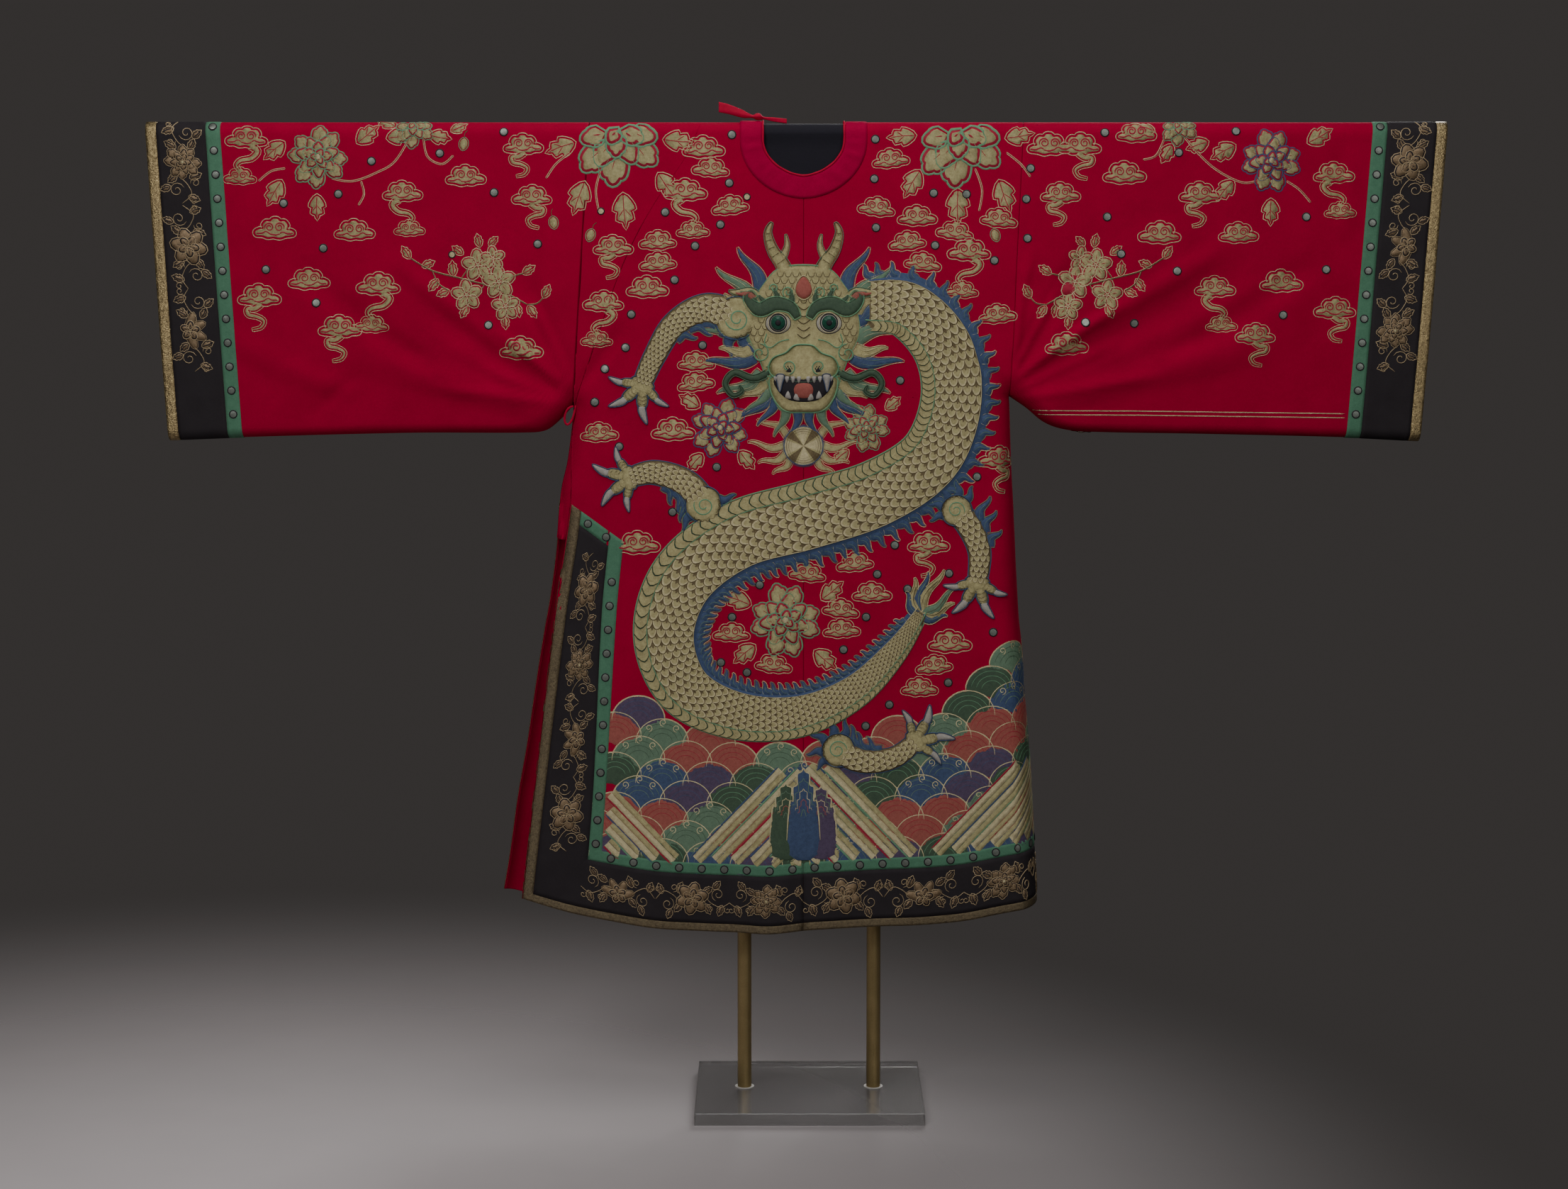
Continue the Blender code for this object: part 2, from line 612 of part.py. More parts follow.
def make_sleeve_sheet(side):
    """A sleeve as a looped sheet, armhole to cuff."""
    stations = list(SLEEVE_STATIONS) + [1.0, -CUFF_BORDER[1], -CUFF_BORDER[0], -1e-9]
    rows = []
    for face, kind, value in sleeve_rings():
        row = []
        for station in stations:
            def place(dv, dx):
                """The point moved along the ring by dv and out by dx."""
                foot = 1.17
                for _ in range(6):
                    foot = curve(SLEEVE_FOOT[side], sleeve_x(side, station, foot))
                if kind == "arc":
                    s = value + dv * 0.01
                    x = sleeve_x(side, station, BAR_Z) + side * dx
                    return hang(side, x, abs(s), FRONT if s >= 0 else BACK)
                radius = side_radius(side, sleeve_x(side, station, foot), foot)
                if kind == "level":
                    z = mix(foot + radius, BAR_Z, value) + dv * 0.01
                    x = sleeve_x(side, station, z) + side * dx
                    return hang(side, x, length_at(z), face)
                a = math.radians(value + dv * 57.3)
                z = foot + radius * (1 - math.cos(a))
                x = sleeve_x(side, station, z) + side * dx
                deep = full_depth(side, x, z, face) + folds(side, x, z, face)
                return Vector((x, face * deep * math.sin(a), z))

            h = 0.02
            point = place(0.0, 0.0)
            round_it = place(h, 0.0) - place(-h, 0.0)
            along = place(0.0, 0.0004) - place(0.0, -0.0004)
            normal = along.cross(round_it) * (side * (-face if kind != "arc" else 1))
            if kind == "arc":
                a = value / SHOULDER_R
                normal = Vector((0.0, -math.sin(a), math.cos(a)))
            row.append((point, normal.normalized()))
        rows.append(row)
    return Sheet(rows, looped=True)


# ---------------------------------------------------------------- solids from sheets

def cotton(name, colour, roughness, metallic=0.0):
    """A plain Principled material."""
    material = bpy.data.materials.get(name) or bpy.data.materials.new(name)
    material.use_nodes = True
    shader = material.node_tree.nodes["Principled BSDF"]
    shader.inputs["Base Color"].default_value = (*colour, 1.0)
    shader.inputs["Roughness"].default_value = roughness
    shader.inputs["Metallic"].default_value = metallic
    material.diffuse_color = (*colour, 1.0)
    return material


FINISHES = {
    "red": ("red_cotton", (0.42, 0.006, 0.02), 0.75, 0.0),
    "facing": ("red_facing", (0.33, 0.005, 0.016), 0.75, 0.0),
    "gold": ("gold_braid", (0.42, 0.33, 0.17), 0.45, 0.5),
    "black": ("black_satin", (0.012, 0.012, 0.013), 0.6, 0.0),
    "green": ("green_cotton", (0.035, 0.20, 0.10), 0.7, 0.0),
    "couched": ("couched_gold", (0.36, 0.27, 0.13), 0.5, 0.4),
    "glass": ("eye_glass", (0.04, 0.22, 0.12), 0.1, 0.0),
    "brass": ("brass", (0.45, 0.33, 0.12), 0.35, 0.9),
    "navy": ("navy_cloth", (0.012, 0.014, 0.035), 0.85, 0.0),
    "clear": ("clear_acrylic", (0.75, 0.78, 0.78), 0.05, 0.0),
    "white": ("white_nylon", (0.8, 0.8, 0.78), 0.4, 0.0),
}


def finish_object(name, mesh, finish, angle=35.0):
    """Link a mesh as a named object with its material and smooth shading."""
    mesh.materials.append(cotton(*FINISHES[finish]))
    mesh.shade_smooth()
    mesh.set_sharp_from_angle(angle=math.radians(angle))
    thing = bpy.data.objects.new(name, mesh)
    bpy.context.scene.collection.objects.link(thing)
    return thing


def from_faces(name, points, faces, finish, angle=35.0):
    """A closed solid from points and faces, its normals turned outwards."""
    mesh = bpy.data.meshes.new(name)
    mesh.from_pydata([tuple(point) for point in points], [], faces)
    shape = bmesh.new()
    shape.from_mesh(mesh)
    bmesh.ops.recalc_face_normals(shape, faces=shape.faces[:])
    shape.to_mesh(mesh)
    shape.free()
    return finish_object(name, mesh, finish, angle)


def slab(name, sheet, wanted, low, high, finish):
    """A closed wall over the wanted cells of a sheet, between two lifts from its face.

    Its outline is drawn in a little, so that walls over neighbouring cells keep a seam.
    """
    cells = [(i, j) for i in range(sheet.rows) for j in range(sheet.columns) if wanted(i, j)]
    count = len(sheet.points)
    rings, outline = [], {}
    for i, j in cells:
        following = (i + 1) % count
        ring = [(i, j), (following, j), (following, j + 1), (i, j + 1)]
        rings.append(ring)
        for k in range(4):
            pair = (ring[k], ring[(k + 1) % 4])
            if (pair[1], pair[0]) in outline:
                del outline[pair[1], pair[0]]
            else:
                outline[pair] = ring
    pulls = {}
    for (a, b), ring in outline.items():
        along = sheet.at(*b, 0) - sheet.at(*a, 0)
        middle = sum((sheet.at(*corner, 0) for corner in ring), Vector()) / 4
        for corner in (a, b):
            pull = sheet.normals[corner[0]][corner[1]].cross(along).normalized()
            if pull.dot(middle - sheet.at(*a, 0)) < 0:
                pull.negate()
            pulls.setdefault(corner, []).append(pull)
    points, index = [], {}
    for i, j in sorted({corner for ring in rings for corner in ring}):
        shift = Vector()
        if (i, j) in pulls:
            first, last = pulls[i, j]
            shift = (first + last) * (SEAM * 0.75 / max(1 + first.dot(last), 0.4))
        for level, lift in enumerate((low, high)):
            amount = lift(i, j) if callable(lift) else lift
            index[i, j, level] = len(points)
            points.append(sheet.at(i, j, amount) + shift)
    faces = []
    for ring in rings:
        for trio in ((0, 1, 2), (0, 2, 3)):
            faces.append([index[(*ring[k], 1)] for k in trio])
            faces.append([index[(*ring[k], 0)] for k in reversed(trio)])
    for a, b in outline:
        faces.append([index[(*a, 0)], index[(*b, 0)], index[(*b, 1)]])
        faces.append([index[(*a, 0)], index[(*b, 1)], index[(*a, 1)]])
    return from_faces(name, points, faces, finish)


# ---------------------------------------------------------------- the robe's pieces

ARC_ROW = len(FRONT_ROWS) + len(NECK_ANGLES)
FLAP_TOP = ARC_ROW + 3   # the flap ends just short of the shoulder line
BORDER_TOP = 8           # row of cells where the front slit borders are cut off slanting
BACK_BORDER_TOP = 7
BANDS = ("gold", "black", "green")
FACING_LIFT = 0.0006
FACING_THICK = 0.0010
PIPING_R = 0.0012


def border_cells(band, top, columns, rows=None):
    """Cells of one border band: along the hem, up the slit and across its slanted top."""
    def wanted(i, j):
        """Whether a cell belongs to the band by its plain run."""
        k = i if rows is None else rows - 1 - i
        inward = columns - 1 - j
        if inward < band or k < band or k > top:
            return False
        if band == 1:
            return k < top and 1 in (k, inward)
        if band == 2 and k == top:
            return False
        return band in (k, inward)

    def green(i, j):
        """The same, with the inner band's slanted top."""
        k = i if rows is None else rows - 1 - i
        inward = columns - 1 - j
        return wanted(i, j) or (k == top and inward in (1, 2))

    return green if band == 2 else wanted


def make_body(left, right):
    """Both body lengths, the flap, and the borders that lie on them."""
    def right_front_side(i, j):
        """Whether a cell lies under the flap or on the back."""
        if i < UNDER_FRONT_ROW:
            return False
        return j < FLAP_COLUMNS - 1 or i >= SLIT_ROW

    slab("body_left", left, lambda i, j: True, -WALL, 0.0, "red")
    slab("body_right", right, right_front_side, -WALL, 0.0, "red")
    slab("flap", right, lambda i, j: i < FLAP_TOP and j < FLAP_COLUMNS, SEAM, STEP, "red")
    low, high = SEAM, SEAM + TRIM
    for band, colour in enumerate(BANDS):
        slab(f"flap_border_{colour}", right, border_cells(band, BORDER_TOP, FLAP_COLUMNS),
             STEP + low, STEP + high, colour)
        slab(f"front_border_{colour}", left, border_cells(band, BORDER_TOP, LEFT_COLUMNS),
             low, high, colour)
        slab(f"back_right_border_{colour}", right,
             border_cells(band, BACK_BORDER_TOP, RIGHT_COLUMNS, right.rows), low, high, colour)
        slab(f"back_left_border_{colour}", left,
             border_cells(band, BACK_BORDER_TOP, LEFT_COLUMNS, left.rows), low, high, colour)


def make_sleeves():
    """Both sleeve tubes, each with its three cuff bands."""
    for side, word in ((RIGHT, "right"), (LEFT, "left")):
        sheet = make_sleeve_sheet(side)
        slab(f"sleeve_{word}", sheet, lambda i, j: True, -WALL, 0.0, "red")
        for band, colour in enumerate(BANDS):
            column = sheet.columns - 1 - band
            slab(f"cuff_{colour}_{word}", sheet, lambda i, j: j == column,
                 SEAM, SEAM + TRIM, colour)


def front_face(x, z):
    """Outermost face of the closed front at a place, and its normal."""
    side = RIGHT if x < CENTRE_X else LEFT
    s = length_at(z)
    point, normal = with_normal(
        lambda dz, dp: hang(side, x + side * dp, s - dz, FRONT), side, FRONT)
    if side == RIGHT:
        point = point + normal * (covered_level(point) + STEP)
    return point, normal


def facing_row(side, face, kind, value):
    """Three points across the facing, from the neck's edge out, with normals."""
    row = []
    for t in (0.0, 0.5, 1.0):
        reach = NECK_HALF + FACING * t
        if kind == "straight":
            half, s = reach, value
        else:
            a = math.radians(value)
            drop = NECK_DROP if face == FRONT else NECK_BACK_DROP
            start = NECK_STRAIGHT if face == FRONT else ARC
            power = mix(1.2, 1.05, t) if face == FRONT else 1.0
            half = reach * math.sin(a) ** power
            s = start + (drop + FACING * t) * math.cos(a)
        x = CENTRE_X + side * half
        if kind == "straight" and s < ARC:
            a = s / SHOULDER_R
            point = hang(side, x, s, face)
            normal = Vector((0.0, face * math.sin(a), math.cos(a)))
        else:
            point, normal = with_normal(
                lambda ds, dp: hang(side, x + side * dp, s - ds, face), side, face)
        if side == RIGHT:
            over = covered_level(point) + STEP if face == FRONT else STEP * ease(point.z, 1.60, 1.66)
            point = point + normal * over
        row.append((point, normal))
    return row


def facing_path(side):
    """Places along one half of the facing, front centre to back centre."""
    path = [(side, FRONT, "round", 11.25 * k) for k in range(9)]
    path += [(side, FRONT, "straight", ARC * (1 - k / 4)) for k in range(5)]
    path += [(side, BACK, "straight", ARC * k / 4) for k in range(1, 5)]
    path += [(side, BACK, "round", 75.0 - 15.0 * k) for k in range(6)]
    return path


def make_neck():
    """The facing round the neck and the piping that finishes its edge."""
    path = facing_path(LEFT) + facing_path(RIGHT)[-2:0:-1]
    rows = [facing_row(*place) for place in path]
    facing = Sheet(rows, looped=True)
    slab("neck_facing", facing, lambda i, j: True, FACING_LIFT, FACING_LIFT + FACING_THICK,
         "facing")
    centres = []
    for i in range(len(rows)):
        inward = (facing.at(i, 0, 0) - facing.at(i, 1, 0)).normalized()
        centres.append(facing.at(i, 0, FACING_LIFT) + inward * (PIPING_R + SEAM))
    tube("neck_piping", centres, PIPING_R, 5, "red", closed=True)


def tube(name, centres, radius, sides, finish, closed=False):
    """A round cord through a list of centres, capped unless it closes on itself."""
    count = len(centres)
    points, faces = [], []
    frame = None
    for i, centre in enumerate(centres):
        before = centres[i - 1] if closed or i else centre
        after = centres[(i + 1) % count] if closed or i < count - 1 else centre
        ahead = (after - before).normalized()
        if frame is None:
            frame = ahead.orthogonal().normalized()
        frame = (frame - ahead * frame.dot(ahead)).normalized()
        across = ahead.cross(frame)
        for k in range(sides):
            a = 2 * math.pi * k / sides
            points.append(centre + (frame * math.cos(a) + across * math.sin(a)) * radius)
    turns = count if closed else count - 1
    shift = 0
    if closed:
        first, last = points[0], points[(count - 1) * sides:]
        shift = min(range(sides), key=lambda k: (last[k] - first).length)
    for i in range(turns):
        skew = shift if i == count - 1 else 0
        for k in range(sides):
            a, b = i * sides + (k + skew) % sides, i * sides + (k + 1 + skew) % sides
            c = ((i + 1) % count) * sides + (k + 1) % sides
            d = ((i + 1) % count) * sides + k
            faces += [[a, b, c], [a, c, d]]
    if not closed:
        faces.append(list(range(sides)))
        faces.append([(count - 1) * sides + k for k in range(sides)])
    from_faces(name, points, faces, finish)


def ribbon(name, stations, finish, sides=8):
    """A tied ribbon: flattened rings across the X axis, each (centre, half height, half depth)."""
    points, faces = [], []
    for centre, high, deep in stations:
        for k in range(sides):
            a = 2 * math.pi * k / sides
            points.append(Vector(centre) + Vector((0.0, deep * math.cos(a), high * math.sin(a))))
    for i in range(len(stations) - 1):
        for k in range(sides):
            a, b = i * sides + k, i * sides + (k + 1) % sides
            faces += [[a, b, b + sides], [a, b + sides, a + sides]]
    faces.append(list(range(sides)))
    faces.append([(len(stations) - 1) * sides + k for k in range(sides)])
    from_faces(name, points, faces, finish)


# Shoulder bow along X: centre, half height, half depth
BOW = (((-0.1310, -0.0085, 1.7105), 0.0085, 0.0014), ((-0.1150, -0.0085, 1.7070), 0.0080, 0.0018),
       ((-0.0900, -0.0080, 1.6988), 0.0065, 0.0026), ((-0.0720, -0.0070, 1.6943), 0.0030, 0.0030),
       ((-0.0670, -0.0060, 1.6944), 0.0056, 0.0056), ((-0.0610, -0.0060, 1.6939), 0.0052, 0.0052),
       ((-0.0560, -0.0050, 1.6923), 0.0024, 0.0030), ((-0.0400, -0.0040, 1.6898), 0.0030, 0.0022),
       ((-0.0163, -0.0020, 1.6868), 0.0040, 0.0014))
LOOP_R = 0.0020
LOOP_SEAT = -0.0025      # the flap is slightly hollow where the loop is sewn on
LOOP = (0.0, 1.2, 2.4, 3.6, 4.6, 5.2, 5.8, 6.6, 7.6, 8.8, 10.0)   # share of the loop's way, tenths


def make_ties():
    """The bow at the neck's right shoulder and the hanging loop under the right arm."""
    ribbon("shoulder_tie", BOW, "red")
    start, normal = front_face(-0.3715, 1.206)
    centres = []
    for way in LOOP:
        a = way / 10 * 2 * math.pi
        drop = 0.0155 * (1 - math.cos(a))
        sway = 0.0062 * math.sin(a) - 0.0125 * way / 10 * (1 - way / 10) * 4
        centres.append(start + normal * (LOOP_R + LOOP_SEAT) + Vector((sway - 0.004 * way / 10,
                                                                  -0.0006 * way, -drop)))
    tube("underarm_tie", centres, LOOP_R, 6, "red")


# ---------------------------------------------------------------- raised applique

PAD_LIFT = 0.0009        # clear of the ground cloth
PAD_EDGE = 0.0012
DRAGON_BODY = (
    Spine(0.118, 1.378, 0.044), Spine(0.190, 1.370, 0.050), Spine(0.250, 1.305, 0.053),
    Spine(0.264, 1.215, 0.054), Spine(0.228, 1.120, 0.056), Spine(0.138, 1.058, 0.059),
    Spine(0.020, 1.020, 0.061), Spine(-0.100, 0.985, 0.060), Spine(-0.190, 0.915, 0.058),
    Spine(-0.222, 0.820, 0.054), Spine(-0.190, 0.730, 0.049), Spine(-0.105, 0.685, 0.043),
    Spine(0.000, 0.682, 0.037), Spine(0.095, 0.722, 0.030), Spine(0.165, 0.790, 0.022),
    Spine(0.215, 0.862, 0.011))
DRAGON_HEAD = (
    Spine(0.012, 1.198, 0.030), Spine(0.012, 1.212, 0.048), Spine(0.012, 1.245, 0.060),
    Spine(0.012, 1.285, 0.074), Spine(0.012, 1.330, 0.094), Spine(0.012, 1.375, 0.088),
    Spine(0.012, 1.415, 0.066), Spine(0.012, 1.442, 0.034))
DRAGON_LEGS = {
    "dragon_leg_upper_right": (Spine(-0.090, 1.350, 0.030), Spine(-0.150, 1.372, 0.026),
                               Spine(-0.205, 1.345, 0.022), Spine(-0.240, 1.290, 0.019),
                               Spine(-0.262, 1.240, 0.017)),
    "dragon_leg_lower_right": (Spine(-0.150, 1.030, 0.026), Spine(-0.185, 1.075, 0.024),
                               Spine(-0.240, 1.095, 0.021), Spine(-0.285, 1.085, 0.017)),
    "dragon_leg_upper_left": (Spine(0.262, 1.040, 0.022), Spine(0.292, 1.005, 0.022),
                              Spine(0.310, 0.960, 0.020), Spine(0.306, 0.905, 0.017)),
    "dragon_leg_lower_left": (Spine(0.060, 0.630, 0.024), Spine(0.110, 0.605, 0.022),
                              Spine(0.165, 0.610, 0.019), Spine(0.205, 0.640, 0.016)),
}
PEARL = Spine(0.012, 1.140, 0.033)
EYE_X = 0.043            # each eye's distance from the face's middle
EYE_Z = 1.348
EYE_R = 0.0125
EYE_LIFT = 0.0089        # clear of the padded face
EYE_HIGH = 0.0070


def spine_points(rows, steps):
    """Evenly spread places along a smooth spine: x, z, half width and the way ahead."""
    count = len(rows) - 1
    by_x = [(k, row.x) for k, row in enumerate(rows)]
    by_z = [(k, row.z) for k, row in enumerate(rows)]
    by_half = [(k, row.half) for k, row in enumerate(rows)]
    placed = []
    for k in range(steps + 1):
        t = k / steps * count
        ahead = Vector((curve(by_x, t + 0.01) - curve(by_x, t - 0.01),
                        curve(by_z, t + 0.01) - curve(by_z, t - 0.01))).normalized()
        placed.append((curve(by_x, t), curve(by_z, t), curve(by_half, t), ahead))
    return placed


def pad(name, rows, steps, crown):
    """A padded shape along a spine, laid on the front: thin edges and a raised middle."""
    across = (-1.0, -0.55, 0.0, 0.55, 1.0)
    sheet_rows = []
    for x, z, half, ahead in spine_points(rows, steps):
        row = []
        for t in across:
            row.append(front_face(x + ahead.y * half * t, z - ahead.x * half * t))
        sheet_rows.append(row)

    def top(i, j):
        """Height of the pad, full along its middle and low at its ends."""
        ends = min(1.0, 0.25 + i / 3, 0.25 + (steps - i) / 3)
        return PAD_LIFT + PAD_EDGE + crown * ends * (1 - abs(across[j]) ** 2.5)

    slab(name, Sheet(sheet_rows), lambda i, j: True, PAD_LIFT, top, "couched")


def button(name, x, z, radius, lift, edge, high, rings, finish):
    """A round dome on the front, with a short upright rim."""
    centre, normal = front_face(x, z)
    side = Vector((1.0, 0.0, 0.0))
    up = normal.cross(side).normalized() * -1
    sides = 20
    points, faces = [], []
    profile = [(1.0, 0.0), (1.0, edge)]
    profile += [(math.cos(a), edge + (high - edge) * math.sin(a))
                for a in (math.pi / 2 * k / rings for k in range(1, rings))]
    for share, rise in profile:
        for k in range(sides):
            a = 2 * math.pi * k / sides
            flat = side * math.cos(a) + up * math.sin(a)
            points.append(centre + flat * radius * share + normal * (lift + rise))
    for i in range(len(profile) - 1):
        for k in range(sides):
            a, b = i * sides + k, i * sides + (k + 1) % sides
            faces.append([a, b, b + sides, a + sides])
    top = len(points)
    points.append(centre + normal * (lift + high))
    last = (len(profile) - 1) * sides
    faces += [[last + k, last + (k + 1) % sides, top] for k in range(sides)]
    faces.append(list(range(sides)))
    from_faces(name, points, faces, finish)


def make_applique():
    """The padded dragon, its glass eyes and its pearl."""
    pad("dragon_body", DRAGON_BODY, 26, 0.0032)
    pad("dragon_head", DRAGON_HEAD, 8, 0.0075)
    for name, rows in DRAGON_LEGS.items():
        pad(name, rows, 5, 0.0024)
    button("pearl", PEARL.x, PEARL.z, PEARL.half, PAD_LIFT, 0.0012, 0.0030, 2, "couched")
    for sign, word in ((RIGHT, "right"), (LEFT, "left")):
        button(f"dragon_eye_{word}", CENTRE_X + sign * EYE_X, EYE_Z, EYE_R, EYE_LIFT,
               0.0012, EYE_HIGH, 3, "glass")


# ---------------------------------------------------------------- the stand

def ring_points(x, radius, steps=16):
    """A ring of points round a level bar."""
    return [Vector((x, -radius * math.sin(2 * math.pi * k / steps),
                    BAR_Z + radius * math.cos(2 * math.pi * k / steps))) for k in range(steps)]


def cylinder(name, centre, radius, low, high, sides, finish):
    """An upright round bar."""
    mesh = bpy.data.meshes.new(name)
    shape = bmesh.new()
    bmesh.ops.create_cone(shape, cap_ends=True, segments=sides, radius1=radius, radius2=radius,
                          depth=high - low)
    bmesh.ops.translate(shape, verts=shape.verts, vec=(centre[0], centre[1], (low + high) / 2))
    shape.to_mesh(mesh)
    shape.free()
    finish_object(name, mesh, finish)


def washer(name, centre, inner, outer, low, high, sides, finish):
    """A flat ring round a post's foot."""
    profile = ((inner, low), (outer, low), (outer, high), (inner, high))
    points = []
    for k in range(sides):
        a = 2 * math.pi * k / sides
        points += [Vector((centre[0] + r * math.cos(a), centre[1] + r * math.sin(a), z))
                   for r, z in profile]
    faces = []
    for k in range(sides):
        for m in range(4):
            n = (m + 1) % 4
            following = (k + 1) % sides * 4
            faces.append([k * 4 + m, k * 4 + n, following + n, following + m])
    from_faces(name, points, faces, finish)


def make_board():
    """The padded neck board: a rounded top that carries on the bar, and rounded corners."""
    middle = (BOARD_X[0] + BOARD_X[1]) / 2
    half = (BOARD_X[1] - BOARD_X[0]) / 2
    shares = (-1.0, -0.985, -0.93, -0.82, -0.66, -0.5, 0.5, 0.66, 0.82, 0.93, 0.985, 1.0)
    points, faces = [], []
    for share in shares:
        x = middle + half * share
        into = max(abs(x - middle) - (half - BOARD_CORNER), 0.0) / BOARD_CORNER
        low = BOARD_LOW + BOARD_CORNER * (1 - math.sqrt(max(1 - into * into, 0.0)))
        ring = [(BAR_R * math.sin(a), BAR_Z + BAR_R * math.cos(a))
                for a in (math.pi / 8 * k for k in range(-4, 5))]
        ring += [(BOARD_HALF, BAR_Z - 0.02), (BOARD_HALF, low + BOARD_HALF)]
        ring += [(BOARD_HALF * math.cos(a), low + BOARD_HALF * (1 - math.sin(a)))
                 for a in (math.pi / 4, math.pi / 2, math.pi * 3 / 4)]
        ring += [(-BOARD_HALF, low + BOARD_HALF), (-BOARD_HALF, BAR_Z - 0.02)]
        points += [Vector((x, y, z)) for y, z in ring]
    size = len(points) // len(shares)
    for i in range(len(shares) - 1):
        for k in range(size):
            a, b = i * size + k, i * size + (k + 1) % size
            faces.append([a, b, b + size, a + size])
    faces.append(list(range(size)))
    faces.append([(len(shares) - 1) * size + k for k in range(size)])
    from_faces("stand_board", points, faces, "navy")


def make_arm(name, start, end):
    """One half of the covered arm bar."""
    points = ring_points(start, BAR_R) + ring_points(end, BAR_R)
    sides = len(points) // 2
    faces = [[k, (k + 1) % sides, sides + (k + 1) % sides, sides + k] for k in range(sides)]
    faces += [list(range(sides)), list(range(sides, 2 * sides))]
    from_faces(name, points, faces, "navy")


def make_base():
    """The clear base plate, its upper and lower edges eased."""
    mesh = bpy.data.meshes.new("stand_base")
    shape = bmesh.new()
    bmesh.ops.create_cube(shape, size=1.0)
    bmesh.ops.scale(shape, verts=shape.verts, vec=BASE_SIZE)
    bmesh.ops.translate(shape, verts=shape.verts, vec=(BASE_X, 0.0, BASE_SIZE[2] / 2))
    bmesh.ops.bevel(shape, geom=shape.edges[:], offset=0.0012, segments=1, affect="EDGES")
    shape.to_mesh(mesh)
    shape.free()
    finish_object("stand_base", mesh, "clear")


def make_stand():
    """Base, posts, foot rings, board and bar."""
    make_base()
    top = BASE_SIZE[2]
    for x, word in zip(POST_X, ("right", "left")):
        cylinder(f"stand_post_{word}", (x, 0.0), POST_R, top + SEAM, BOARD_LOW - SEAM, 24, "brass")
        washer(f"stand_washer_{word}", (x, 0.0), POST_R + SEAM, POST_R + 0.0045, top + SEAM,
               top + 0.0018, 16, "white")
    make_board()
    for side, word, start in ((RIGHT, "right", BOARD_X[0]), (LEFT, "left", BOARD_X[1])):
        end = curve(CUFF[side], BAR_Z) - side * BAR_INSET
        make_arm(f"stand_arm_{word}", start + side * SEAM, end)


def main():
    """Build the robe and its stand in an empty scene."""
    for thing in list(bpy.data.objects):
        bpy.data.objects.remove(thing)
    make_body(make_left_sheet(), make_right_sheet())
    make_sleeves()
    make_neck()
    make_ties()
    make_applique()
    make_stand()


main()
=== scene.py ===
"""The looks of a dragon robe on its stand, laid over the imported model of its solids.

Every cloth is a thin closed shell cut to the same lines as its solid, every stitched
figure is raised on that shell, and every place on the cloth has two coordinates: how far
it lies across (u) and how far down from the shoulder line (s, negative on the back).
Left and right are the wearer's.  The front faces -Y and +Z is up.
"""
import json
import logging
import math
from collections.abc import Callable, Iterable, Sequence
from dataclasses import dataclass, field
from enum import Enum
from functools import partial

import bpy
import numpy as np
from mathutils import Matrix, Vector, geometry

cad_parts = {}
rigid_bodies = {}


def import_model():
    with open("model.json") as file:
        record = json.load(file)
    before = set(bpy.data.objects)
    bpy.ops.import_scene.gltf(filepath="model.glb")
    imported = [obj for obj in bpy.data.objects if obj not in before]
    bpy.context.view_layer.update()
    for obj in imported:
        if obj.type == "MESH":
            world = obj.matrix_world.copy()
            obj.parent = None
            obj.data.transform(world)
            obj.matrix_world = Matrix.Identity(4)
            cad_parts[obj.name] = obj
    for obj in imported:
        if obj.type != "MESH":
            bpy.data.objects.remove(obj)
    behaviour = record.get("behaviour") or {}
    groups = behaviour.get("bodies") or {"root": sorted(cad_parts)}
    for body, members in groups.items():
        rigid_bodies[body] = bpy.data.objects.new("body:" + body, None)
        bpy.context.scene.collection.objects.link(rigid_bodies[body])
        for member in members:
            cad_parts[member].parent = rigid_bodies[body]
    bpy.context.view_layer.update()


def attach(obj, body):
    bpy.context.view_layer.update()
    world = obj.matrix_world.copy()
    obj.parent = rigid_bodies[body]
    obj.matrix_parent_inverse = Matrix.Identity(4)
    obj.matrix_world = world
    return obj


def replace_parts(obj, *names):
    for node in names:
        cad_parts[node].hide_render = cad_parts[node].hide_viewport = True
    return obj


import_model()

log = logging.getLogger("robe")
Array = np.ndarray

MM = 0.001

# The cloth and its seams
WALL = 0.0015
SEAM = 0.0003
STEP = WALL + SEAM

# The hang of the robe
SHOULDER_R = 0.020
BAR_Z = 1.665
ARC = SHOULDER_R * math.pi / 2
CENTRE = 0.012
SLIT_TOP, SLIT_CUT, SLIT_SLANT = 1.043, 0.979, 0.096
HEM_START, CORNER_START, SLEEVE_START = 0.34, 0.36, 1.45    # heights where seeking begins
TUCK = 0.0036
RIGHT, LEFT = -1, 1
FRONT, BACK = -1, 1


@dataclass(frozen=True)
class Table:
    """Named places along a line, read back as a smooth curve."""

    rows: tuple[tuple[float, ...], ...]

    def at(self, key: Array | float, column: int = 1) -> Array:
        """Read a column at a place.

        Args:
            key: places along the table's first column.
            column: which column to read.

        Returns:
            The smooth values there, held at both ends.
        """
        rows = np.array(sorted(self.rows))
        keys, values = rows[:, 0], rows[:, column]
        x = np.clip(np.asarray(key, float), keys[0], keys[-1])
        k = np.clip(np.searchsorted(keys, x, side="right") - 1, 0, len(keys) - 2)
        index = np.arange(len(keys))
        low, high = np.maximum(index - 1, 0), np.minimum(index + 1, len(keys) - 1)
        slopes = (values[high] - values[low]) / (keys[high] - keys[low])
        width = keys[k + 1] - keys[k]
        t = (x - keys[k]) / width
        return ((1 + 2 * t) * (1 - t) ** 2 * values[k] + t * (1 - t) ** 2 * width * slopes[k]
                + t * t * (3 - 2 * t) * values[k + 1] + t * t * (t - 1) * width * slopes[k + 1])


